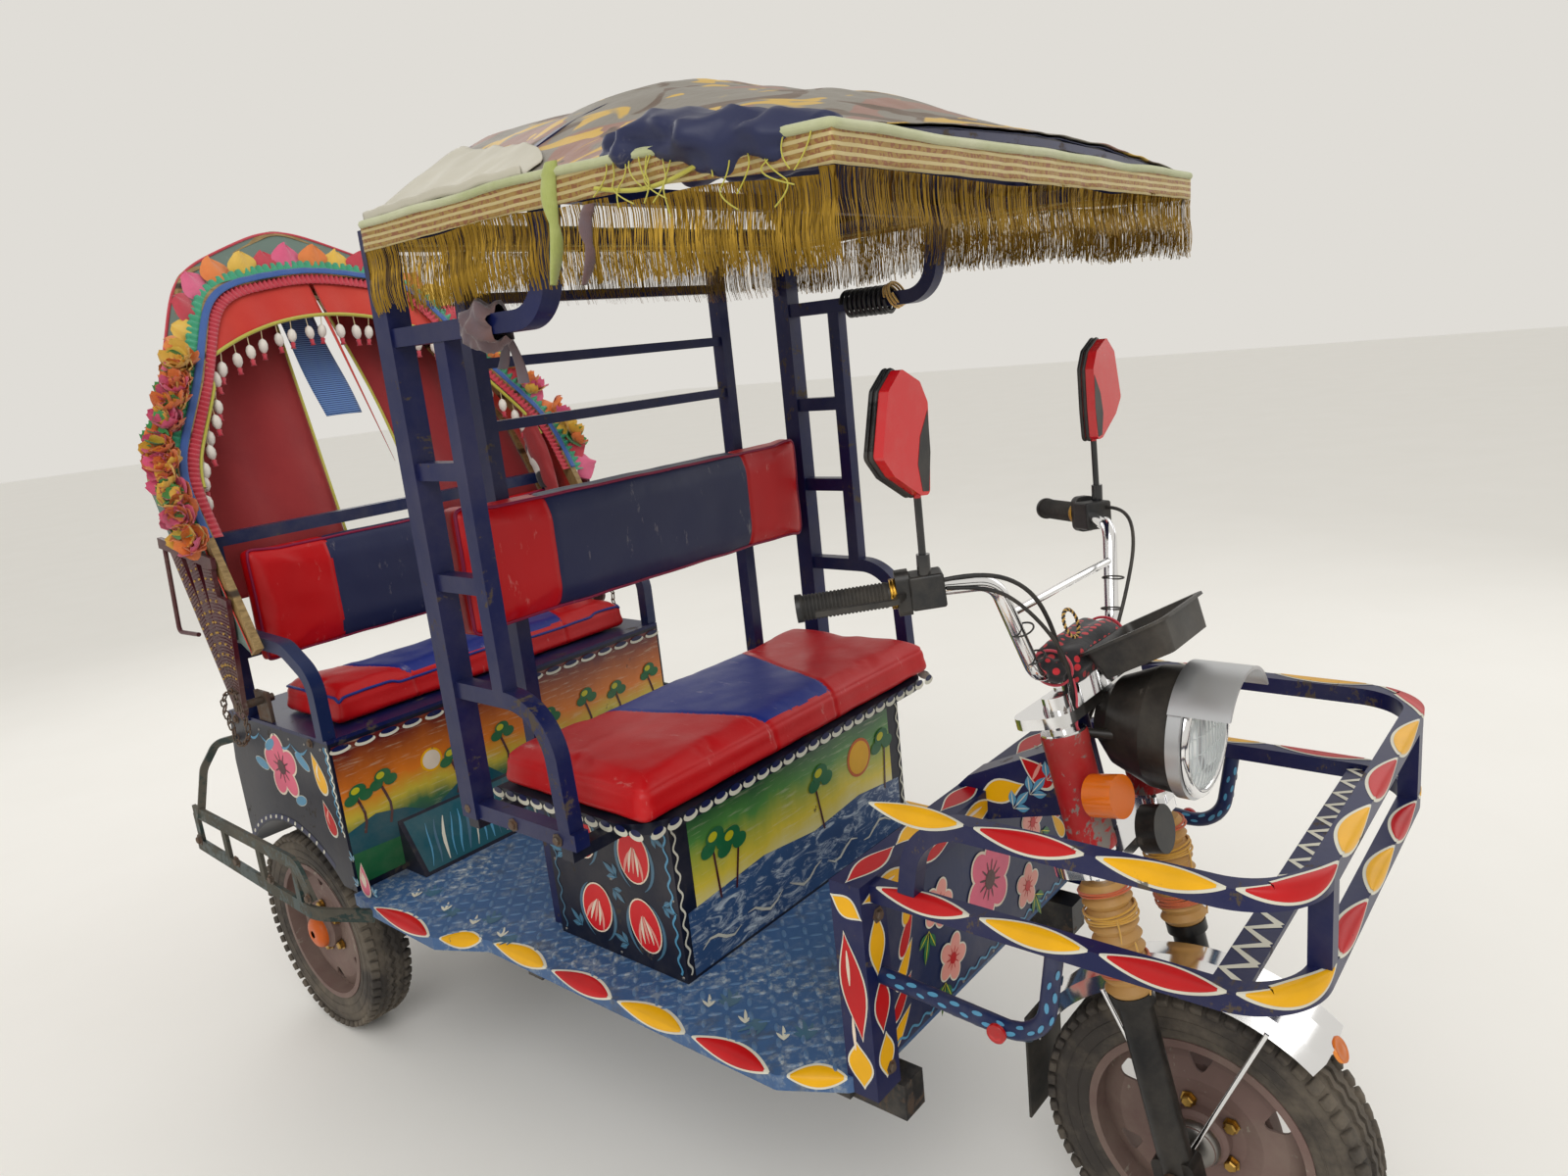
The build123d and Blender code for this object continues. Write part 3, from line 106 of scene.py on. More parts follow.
class Graph:
    """Short-hand for one material's node tree, laid out in object space."""

    def __init__(self, name: str) -> None:
        """Start a material with one shader.

        Args:
            name: The material's name.
        """
        self.material = bpy.data.materials.new(name)
        self.material.use_nodes = True
        self.tree = self.material.node_tree
        self.shader = self.tree.nodes["Principled BSDF"]
        self.place = self.tree.nodes.new("ShaderNodeTexCoord").outputs["Object"]

    def node(self, kind: str, inputs: dict[str | int, object] | None = None, **settings: object) -> bpy.types.Node:
        """Add a node.

        Args:
            kind: The node's type after "ShaderNode".
            inputs: Values or sockets for its inputs.
            settings: Its own properties.

        Returns:
            The new node.
        """
        made = self.tree.nodes.new("ShaderNode" + kind)
        for key, value in settings.items():
            setattr(made, key, value)
        for key, value in (inputs or {}).items():
            self.feed(made.inputs[key], value)
        return made

    def feed(self, socket: Socket, value: object) -> None:
        """Link a socket to another one, or set its value or its colour by code.

        Args:
            socket: The socket to fill.
            value: A socket, a value or a colour code.
        """
        if isinstance(value, bpy.types.NodeSocket):
            self.tree.links.new(value, socket)
        else:
            socket.default_value = rgb(value) if isinstance(value, str) else value

    def stretch(self, scale: Point, turn: Point = (0, 0, 0)) -> Socket:
        """Object coordinates, scaled and turned."""
        return self.node("Mapping", {"Vector": self.place, "Scale": scale, "Rotation": turn}).outputs[0]

    def noise(self, scale: float, detail: float = 3, rough: float = 0.55, at: Socket | None = None,
              twist: float = 0.0) -> Socket:
        """Cloudy noise between 0 and 1."""
        return self.node("TexNoise", {"Vector": at or self.place, "Scale": scale, "Detail": detail,
                                      "Roughness": rough, "Distortion": twist}).outputs["Fac"]

    def cells(self, scale: float, feature: str = "F1", at: Socket | None = None) -> Socket:
        """Distance inside a cell pattern."""
        return self.node("TexVoronoi", {"Vector": at or self.place, "Scale": scale},
                         feature=feature).outputs["Distance"]

    def bands(self, scale: float, axis: str = "X", twist: float = 0.0, at: Socket | None = None) -> Socket:
        """Parallel waves across one axis."""
        return self.node("TexWave", {"Vector": at or self.place, "Scale": scale, "Distortion": twist},
                         bands_direction=axis).outputs["Fac"]

    def axis(self, name: str) -> Socket:
        """One coordinate of the object's space, in metres."""
        return self.node("SeparateXYZ", {0: self.place}).outputs[name]

    def math(self, operation: str, a: object, b: object = 0.0, clamp: bool = False) -> Socket:
        """A sum of two numbers."""
        return self.node("Math", {0: a, 1: b}, operation=operation, use_clamp=clamp).outputs[0]

    def span(self, value: Socket, low: float, high: float, to_low: float = 0.0, to_high: float = 1.0) -> Socket:
        """Carry a number from one range to another, held at its ends."""
        return self.node("MapRange", {"Value": value, "From Min": low, "From Max": high,
                                      "To Min": to_low, "To Max": to_high}).outputs[0]

    def mix(self, share: object, a: object, b: object) -> Socket:
        """Blend two colours.

        Args:
            share: How much of the second colour.
            a: The first colour.
            b: The second one.

        Returns:
            The colour socket.
        """
        made = self.node("Mix", {"Factor": share}, data_type="RGBA")
        self.feed(made.inputs[6], a)
        self.feed(made.inputs[7], b)
        return made.outputs[2]

    def ramp(self, share: Socket, stops: Sequence[tuple[float, str]]) -> Socket:
        """Colours along a scale.

        Args:
            share: The place on the scale.
            stops: Places and their colours.

        Returns:
            The colour socket.
        """
        made = self.node("ValToRGB", {0: share})
        band = made.color_ramp
        while len(band.elements) < len(stops):
            band.elements.new(0.5)
        for element, (place, colour) in zip(band.elements, stops):
            element.position = place
            element.color = rgb(colour)
        return made.outputs[0]

    def bump(self, height: Socket, strength: float, depth: float = 0.001) -> None:
        """Add relief under what the shader already has.

        Args:
            height: Socket with the relief.
            strength: How strong it is.
            depth: Its height in metres.
        """
        made = self.node("Bump", {"Height": height, "Strength": strength, "Distance": depth})
        here = self.shader.inputs["Normal"]
        if here.is_linked:
            self.feed(made.inputs["Normal"], here.links[0].from_socket)
        self.feed(here, made.outputs[0])

    def set(self, **values: object) -> None:
        """Set the shader's inputs, named with underscores for spaces."""
        for key, value in values.items():
            self.feed(self.shader.inputs[key.replace("_", " ")], value)


@dataclass(frozen=True)
class Enamel:
    """Brushed gloss paint on steel or board, chipped and dusty."""

    name: str
    colour: str
    wear: float = 0.3
    bare: str = "#6b5a4c"
    dust: float = 0.25
    rough: float = 0.34
    grain: float = 1.0

    def build(self) -> bpy.types.Material:
        """Make the material."""
        g = Graph(self.name)
        tone = g.mix(g.span(g.noise(7 * self.grain, 4), 0.35, 0.7, 0, 0.5), self.colour,
                     darker(self.colour, 0.55))
        patch = g.noise(11 * self.grain, 9, 0.72, twist=0.6)
        scratch = g.noise(26, 5, 0.6, g.stretch((0.6, 6, 3)))
        mask = g.span(g.math("ADD", g.math("MULTIPLY", patch, 0.75), g.math("MULTIPLY", scratch, 0.25)),
                      0.66 - 0.2 * self.wear, 0.69 - 0.2 * self.wear)
        dirt = g.span(g.noise(4, 8, 0.7), 0.45, 0.8, 0, self.dust)
        colour = g.mix(dirt, g.mix(mask, tone, self.bare), "#9a8f80")
        g.set(Base_Color=colour, Roughness=g.span(g.math("ADD", mask, dirt), 0, 1, self.rough, 0.8),
              Specular_IOR_Level=0.28)
        g.bump(g.noise(90, 3, 0.5, g.stretch((1, 1, 0.12))), 0.12)
        g.bump(g.math("SUBTRACT", 1, mask), 0.3, 0.0004)
        return g.material


@dataclass(frozen=True)
class Metal:
    """Bright or bare metal with smudges and pitting."""

    name: str
    colour: str
    rough: float = 0.12
    rust: float = 0.1

    def build(self) -> bpy.types.Material:
        """Make the material."""
        g = Graph(self.name)
        spots = g.span(g.noise(34, 9, 0.75), 0.68 - 0.25 * self.rust, 0.72)
        smudge = g.noise(9, 5, 0.6)
        g.set(Base_Color=g.mix(spots, self.colour, "#6d4526"), Metallic=g.span(spots, 0, 1, 1, 0.3),
              Roughness=g.math("ADD", g.span(smudge, 0.3, 0.8, self.rough, self.rough + 0.18),
                               g.math("MULTIPLY", spots, 0.4)))
        g.bump(g.noise(260, 2), 0.05, 0.0004)
        return g.material


@dataclass(frozen=True)
class Plastic:
    """Moulded plastic or rubber with a fine skin and dust in the hollows."""

    name: str
    colour: str
    rough: float = 0.4
    dust: float = 0.2
    skin: float = 420.0
    glow: float = 0.0

    def build(self) -> bpy.types.Material:
        """Make the material."""
        g = Graph(self.name)
        dirt = g.span(g.noise(6, 9, 0.7), 0.4, 0.8, 0, self.dust)
        g.set(Base_Color=g.mix(dirt, self.colour, "#a89a86"),
              Roughness=g.span(g.math("ADD", g.noise(20, 4), dirt), 0.3, 1.2, self.rough, self.rough + 0.3))
        if self.glow:
            g.set(Transmission_Weight=self.glow)
        g.bump(g.cells(self.skin), 0.12, 0.0005)
        return g.material


@dataclass(frozen=True)
class Vinyl:
    """Coated cloth with a leather grain, stretch marks and scuffs."""

    name: str
    colour: str
    rough: float = 0.38
    scuff: float = 0.3
    grain: float = 520.0

    def build(self) -> bpy.types.Material:
        """Make the material."""
        g = Graph(self.name)
        tone = g.mix(g.noise(5, 4), self.colour, darker(self.colour, 0.72))
        rub = g.span(g.noise(14, 8, 0.7, g.stretch((3, 0.8, 1), (0, 0, 0.5))), 0.62, 0.75, 0, self.scuff)
        g.set(Base_Color=g.mix(rub, tone, "#d8cfc6"),
              Roughness=g.span(g.noise(9, 5), 0.3, 0.75, self.rough, self.rough + 0.22), Specular_IOR_Level=0.35)
        g.bump(g.cells(self.grain, "DISTANCE_TO_EDGE"), 0.25, 0.0005)
        g.bump(g.noise(16, 6, 0.6), 0.35, 0.003)
        return g.material


@dataclass(frozen=True)
class Cloth:
    """Woven cloth with visible threads and slow colour change."""

    name: str
    colour: str
    fade: str = "#ffffff"
    faded: float = 0.12
    threads: float = 260.0
    rough: float = 0.85
    sheen: float = 0.3

    def build(self) -> bpy.types.Material:
        """Make the material."""
        g = Graph(self.name)
        share = g.span(g.noise(4, 7, 0.65), 0.35, 0.75, 0, self.faded)
        warp = g.math("MAXIMUM", g.bands(self.threads, "X"), g.bands(self.threads, "Z"))
        weft = g.bands(self.threads, "Y")
        weave = g.math("MULTIPLY", warp, g.math("ADD", g.math("MULTIPLY", weft, 0.6), 0.4))
        g.set(Base_Color=g.mix(share, g.mix(g.math("MULTIPLY", weave, 0.3), self.colour,
                                            darker(self.colour, 0.5)), self.fade),
              Roughness=self.rough, Sheen_Weight=self.sheen)
        g.bump(weave, 0.35, 0.0006)
        g.bump(g.noise(13, 5, 0.6), 0.4, 0.004)
        return g.material


@dataclass(frozen=True)
class Bamboo:
    """Split cane with nodes, long fibres and weathered edges."""

    name: str
    colour: str = "#a98d5c"

    def build(self) -> bpy.types.Material:
        """Make the material."""
        g = Graph(self.name)
        fibre = g.noise(18, 8, 0.7, g.stretch((2, 14, 1)))
        joint = g.span(g.bands(1.9, "Z", 1.2), 0.97, 0.995)
        stain = g.span(g.noise(7, 6), 0.5, 0.75, 0, 0.7)
        colour = g.mix(g.span(fibre, 0.35, 0.65), self.colour, "#7a6239")
        colour = g.mix(joint, g.mix(stain, colour, "#4b3a26"), "#3a2b1a")
        g.set(Base_Color=colour, Roughness=0.55)
        g.bump(fibre, 0.35, 0.001)
        g.bump(joint, 0.5, 0.001)
        return g.material


@dataclass(frozen=True)
class Patchwork:
    """Printed cloth of large soft patches in four colours over an even ground."""

    name: str
    ground: str = "#807c78"
    patches: tuple[str, ...] = ("#a97a70", "#5b4136", "#c29a3c")
    scale: float = 8.0

    def build(self) -> bpy.types.Material:
        """Make the material."""
        g = Graph(self.name)
        colour: object = self.ground
        for index, patch in enumerate(self.patches):
            here = g.stretch((0.55, 1.0, 1.6), (0.3 * index, 0, 0.5 + index))
            shape = g.noise(self.scale * (1 + 0.3 * index), 2, 0.5, here, 0.9)
            colour = g.mix(g.span(shape, 0.545 + 0.012 * index, 0.56 + 0.012 * index), colour, patch)
        dirt = g.span(g.noise(5, 8, 0.7), 0.4, 0.85, 0, 0.4)
        weave = g.math("MULTIPLY", g.bands(150, "X"), g.bands(150, "Y"))
        g.set(Base_Color=g.mix(dirt, colour, "#8d877c"), Roughness=g.span(dirt, 0, 0.5, 0.42, 0.7))
        g.bump(weave, 0.15, 0.0006)
        g.bump(g.noise(9, 7, 0.62, g.stretch((1, 2.2, 1))), 0.5, 0.008)
        return g.material


@dataclass(frozen=True)
class Dotted:
    """Black cloth printed with round dots."""

    name: str
    ground: str = "#151318"
    dot: str = "#c0222c"
    scale: float = 62.0

    def build(self) -> bpy.types.Material:
        """Make the material."""
        g = Graph(self.name)
        spots = g.node("TexVoronoi", {"Vector": g.place, "Scale": self.scale, "Randomness": 0.35}).outputs["Distance"]
        colour = g.mix(g.span(spots, 0.3, 0.34, 1, 0), self.ground, self.dot)
        g.set(Base_Color=colour, Roughness=0.8, Sheen_Weight=0.25)
        g.bump(g.noise(24, 5), 0.6, 0.004)
        return g.material


@dataclass(frozen=True)
class Striped:
    """Cloth woven in bands of two colours."""

    name: str
    light: str
    dark: str
    scale: float = 12.0
    axis: str = "X"

    def build(self) -> bpy.types.Material:
        """Make the material."""
        g = Graph(self.name)
        stripe = g.span(g.bands(self.scale, self.axis, 0.3), 0.45, 0.55)
        g.set(Base_Color=g.mix(stripe, self.light, self.dark), Roughness=0.85, Sheen_Weight=0.3)
        g.bump(g.bands(300, "Z"), 0.3, 0.0006)
        g.bump(g.noise(15, 5), 0.5, 0.004)
        return g.material


@dataclass(frozen=True)
class Tarnish:
    """Thick deck paint worn pale along its high spots, with grit in the corners."""

    name: str
    colour: str = "#4f6f93"
    worn: str = "#a9b3b8"

    def build(self) -> bpy.types.Material:
        """Make the material."""
        g = Graph(self.name)
        tread = g.span(g.noise(5, 9, 0.72), 0.4, 0.62)
        fleck = g.span(g.noise(60, 6, 0.7), 0.48, 0.62)
        grit = g.span(g.noise(11, 8, 0.75), 0.55, 0.72, 0, 0.8)
        colour = g.mix(g.math("MULTIPLY", tread, fleck), self.colour, self.worn)
        g.set(Base_Color=g.mix(grit, colour, "#4d4a45"), Roughness=g.span(fleck, 0, 1, 0.55, 0.8))
        g.bump(fleck, 0.2, 0.0005)
        return g.material


@dataclass(frozen=True)
class Landscape:
    """Hand-painted view in soft bands: dark ground, hills, a glow, and a low sky."""

    name: str
    low: float
    high: float
    stops: tuple[tuple[float, str], ...]
    waviness: float = 0.25

    def build(self) -> bpy.types.Material:
        """Make the material."""
        g = Graph(self.name)
        height = g.span(g.axis("Z"), self.low, self.high)
        drift = g.math("MULTIPLY", g.math("SUBTRACT", g.noise(9, 5, 0.6, g.stretch((1, 1, 0.4))), 0.5), self.waviness)
        colour = g.ramp(g.math("ADD", height, drift, True), self.stops)
        streak = g.span(g.noise(30, 6, 0.6, g.stretch((0.5, 0.5, 5))), 0.55, 0.75, 0, 0.5)
        chips = g.span(g.noise(16, 9, 0.75), 0.66, 0.69)
        g.set(Base_Color=g.mix(chips, g.mix(streak, colour, "#d9d4b8"), "#3c3330"),
              Roughness=g.span(chips, 0, 1, 0.32, 0.75))
        g.bump(streak, 0.12, 0.0005)
        return g.material


@dataclass(frozen=True)
class Foam:
    """Strokes of pale foam over deep water."""

    name: str
    deep: str = "#1b2d55"
    foam: str = "#c9d3d8"

    def build(self) -> bpy.types.Material:
        """Make the material."""
        g = Graph(self.name)
        crest = g.span(g.noise(16, 8, 0.72, g.stretch((1, 1, 2.6)), 1.4), 0.5, 0.66)
        tint = g.mix(g.noise(7, 4), self.deep, "#3b5f8c")
        g.set(Base_Color=g.mix(crest, tint, self.foam), Roughness=0.38)
        g.bump(crest, 0.2, 0.0006)
        return g.material


@dataclass(frozen=True)
class Galloon:
    """Woven gold band with rows of red and brown scrolls."""

    name: str
    gold: str = "#a8884a"
    scroll: str = "#8a5a38"

    def build(self) -> bpy.types.Material:
        """Make the material."""
        g = Graph(self.name)
        rows = g.span(g.bands(34, "Z", 0.6), 0.55, 0.7)
        scrolls = g.span(g.noise(95, 2, 0.4, None, 1.6), 0.5, 0.56)
        thread = g.math("MAXIMUM", g.bands(330, "X"), g.bands(330, "Y"))
        ground = g.mix(g.math("MULTIPLY", thread, 0.5), self.gold, "#7b5a22")
        colour = g.mix(rows, g.mix(scrolls, ground, self.scroll), "#bfae7c")
        g.set(Base_Color=colour, Roughness=0.5, Metallic=0.25)
        g.bump(thread, 0.4, 0.0006)
        g.bump(rows, 0.4, 0.001)
        return g.material


@dataclass(frozen=True)
class Shell:
    """Glossy red mirror shell on a black stem."""

    name: str
    colour: str = "#c8141c"
    stem: str = "#17181b"
    stem_top: float = 1.262

    def build(self) -> bpy.types.Material:
        """Make the material."""
        g = Graph(self.name)
        edge = g.math("ADD", g.axis("Z"), g.math("MULTIPLY", g.noise(20, 2), 0.002))
        colour = g.mix(g.span(edge, self.stem_top, self.stem_top + 0.002), self.stem, self.colour)
        dust = g.span(g.noise(7, 8, 0.7), 0.5, 0.8, 0, 0.15)
        g.set(Base_Color=g.mix(dust, colour, "#a59a8c"), Roughness=g.span(dust, 0, 0.15, 0.16, 0.4), Coat_Weight=0.4)
        g.bump(g.noise(150, 2), 0.04, 0.0004)
        return g.material


class Finish(Enum):
    """Every finish on the vehicle, by what it covers."""

    NAVY = Enamel("navy enamel", "#121a4a", 0.42, "#4a4038", 0.12)
    INK = Enamel("blue-black enamel", "#0f1428", 0.38, "#39342f", 0.14)
    DEEP_BLUE = Enamel("deep blue enamel", "#16254f", 0.3, "#3c3a38")
    SKY = Enamel("sky blue strokes", "#4f93b8", 0.1)
    SLATE = Enamel("slate blue strokes", "#456c84", 0.1)
    WHITE = Enamel("white outline enamel", "#dcd9c8", 0.2, "#6a6a66")
    YELLOW = Enamel("yellow enamel", "#f0b106", 0.2, "#7b6a3a", 0.06)
    LIME = Enamel("lime enamel", "#c9c21e", 0.25, "#6f6f3a")
    RED = Enamel("red enamel", "#c00d14", 0.22, "#4c2a26", 0.06)
    BRIGHT_RED = Enamel("bright red enamel", "#d3141e", 0.15, "#6b5a4c", 0.05)
    PINK = Enamel("pink enamel", "#e2607f", 0.1)
    ROSE = Enamel("rose enamel", "#e79a8e", 0.1)
    CREAM = Enamel("cream enamel", "#ead9c4", 0.1)
    GREEN = Enamel("leaf green enamel", "#1f6b3f", 0.2)
    TEAL = Enamel("teal enamel", "#0f5260", 0.3)
    MAROON = Enamel("maroon enamel", "#4b1722", 0.5, "#5c5148", 0.4)
    ORANGE = Enamel("orange enamel", "#d0601c", 0.35, "#6b4a36")
    GUARD = Enamel("dark green enamel", "#1a3433", 0.85, "#4c4a42", 0.3)
    GAITER = Plastic("wrapped gaiter", "#b98a45", 0.42, 0.25, 260)
    BLACK = Enamel("black enamel", "#121214", 0.3, "#3c3834", 0.2)
    PRIMER = Enamel("wheel primer", "#77605a", 0.4, "#8c8378", 0.5, 0.6)
    UNDERSIDE = Enamel("underbody black", "#1c1c1e", 0.6, "#4b3d33", 0.5)
    CHROME = Metal("chrome", "#8a8682", 0.2, 0.3)
    STEEL = Metal("bare steel", "#8d8a86", 0.35, 0.5)
    RUSTY = Metal("rusty steel", "#6f655c", 0.5, 0.95)
    SCUFFED_RED = Enamel("scuffed red enamel", "#a8161c", 0.6, "#77716c", 0.2)
    GOLD = Metal("gold anodised", "#c99a3d", 0.25, 0.0)
    BRASS = Metal("plated nuts", "#b08d4a", 0.3, 0.3)
    MIRROR = Metal("mirror glass", "#e8ecef", 0.02, 0.0)
    TYRE = Plastic("tyre rubber", "#37322e", 0.75, 0.55, 160)
    RUBBER = Plastic("black rubber", "#1d1c1b", 0.6, 0.25)
    ABS = Plastic("black moulded plastic", "#17181a", 0.38, 0.2)
    RED_LENS = Plastic("red lens", "#c01818", 0.12, 0.0, 120, 0.3)
    AMBER = Plastic("amber lens", "#f07a12", 0.12, 0.05, 150, 0.35)
    LENS = Plastic("clear lens", "#dde3e4", 0.08, 0.08, 60, 0.25)
    SHELL = Shell("mirror shell")
    LAMP_SILVER = Metal("silver lamp rim", "#c3c5c8", 0.28, 0.1)
    BEAD = Plastic("cream beads", "#e6dfd6", 0.3, 0.1)
    RED_VINYL = Vinyl("red vinyl", "#c80a12", 0.3, 0.4)
    BLUE_VINYL = Vinyl("blue vinyl", "#1d2f86", 0.34, 0.4)
    NAVY_VINYL = Vinyl("navy vinyl", "#262c50", 0.36, 0.3)
    MAGENTA_VINYL = Vinyl("magenta vinyl", "#8c1440", 0.36, 0.2)
    TARPAULIN = Vinyl("off-white tarpaulin", "#c9c4b4", 0.5, 0.2, 300)
    HOOD_GREY = Vinyl("grey-green coated cloth", "#6f8279", 0.45, 0.15, 300)
    SCARLET = Cloth("scarlet lining", "#c8281c", "#e8694a", 0.25, 300)
    CURTAIN = Cloth("red curtain cloth", "#8f1b22", "#c2403a", 0.3, 260)
    GREEN_RIBBON = Cloth("green ribbon", "#1f9d72", "#7ad0ae", 0.35, 380, 0.5)
    BLUE_RIBBON = Cloth("blue ribbon", "#1c4f9c", "#5f8bc8", 0.3, 380, 0.5)
    RED_RIBBON = Cloth("red ribbon", "#c21f38", "#f07a86", 0.35, 380, 0.5)
    ORANGE_PETAL = Cloth("orange petals", "#e8752a", "#f6b26b", 0.5, 420, 0.6)
    YELLOW_PETAL = Cloth("yellow petals", "#e9b52c", "#f6df86", 0.5, 420, 0.6)
    PINK_PETAL = Cloth("pink petals", "#e04c7c", "#f5a2bd", 0.5, 420, 0.6)
    LEAF = Cloth("plastic leaves", "#2f9b4c", "#8fd07c", 0.4, 420, 0.5)
    PIPING = Cloth("lime piping", "#a6ad78", "#d3d1b8", 0.8, 240)
    CORD_GOLD = Cloth("yellow-green cord", "#b9b23a", "#dcd887", 0.4, 300)
    BRAID = Galloon("gold scroll braid")
    TINSEL = Metal("gold tinsel", "#96772f", 0.44, 0.0)
    TWINE = Cloth("yellow twine", "#cf9a35", "#e8c987", 0.6, 300)
    ORANGE_TWINE = Cloth("orange twine", "#c4572a", "#e09a6a", 0.5, 300)
    RAG = Cloth("tied rag", "#6e4a40", "#3f6a86", 0.6, 200)
    LIME_RAG = Cloth("lime rag", "#8f9a3e", "#d0d59a", 0.7, 200)
    STRING = Cloth("pale string", "#cbb68a", "#e6ddc4", 0.5, 300)
    CANE = Bamboo("split cane")
    PRINTED = Patchwork("patch-printed cover", "#7d776d", ("#90695c", "#57412f", "#c9a23a"), 6.2)
    DOTS = Dotted("dotted cloth")
    STRIPES = Striped("black and white cloth", "#d8d4cc", "#1d1c20")
    CHECKS = Striped("woven strap", "#24457e", "#6f93c9", 60.0, "Z")
    DECK = Tarnish("worn floor enamel", "#385a86", "#8f9aa3")
    LUG = Tarnish("worn floor lugs", "#4f7096", "#b3b8b8")
    SUNSET = Landscape("painted evening view", FLOOR_Z - 0.03, FLOOR_Z + 0.31,
                       ((0.0, "#122a4c"), (0.3, "#1b2f52"), (0.45, "#3f6a44"), (0.55, "#c7b23a"), (0.7, "#d9771f"),
                        (1.0, "#5d1a1c")))
    GLOW = Landscape("painted glow", FLOOR_Z + 0.08, FLOOR_Z + 0.31,
                     ((0.0, "#e6e2c0"), (0.35, "#dcc53a"), (0.7, "#4f8a3e"), (1.0, "#1c4a3a")), 0.45)
    WATER = Foam("painted foam")
    BLACK_TAPE = Plastic("black tape", "#141416", 0.35, 0.1)
    WIRE = Plastic("black cable", "#151516", 0.42, 0.2)

    def __init__(self, recipe: object) -> None:
        """Keep the recipe and make nothing yet."""
        self.recipe = recipe

    @property
    def material(self) -> bpy.types.Material:
        """The built material, made on first use."""
        found = bpy.data.materials.get(self.recipe.name)
        return found or self.recipe.build()


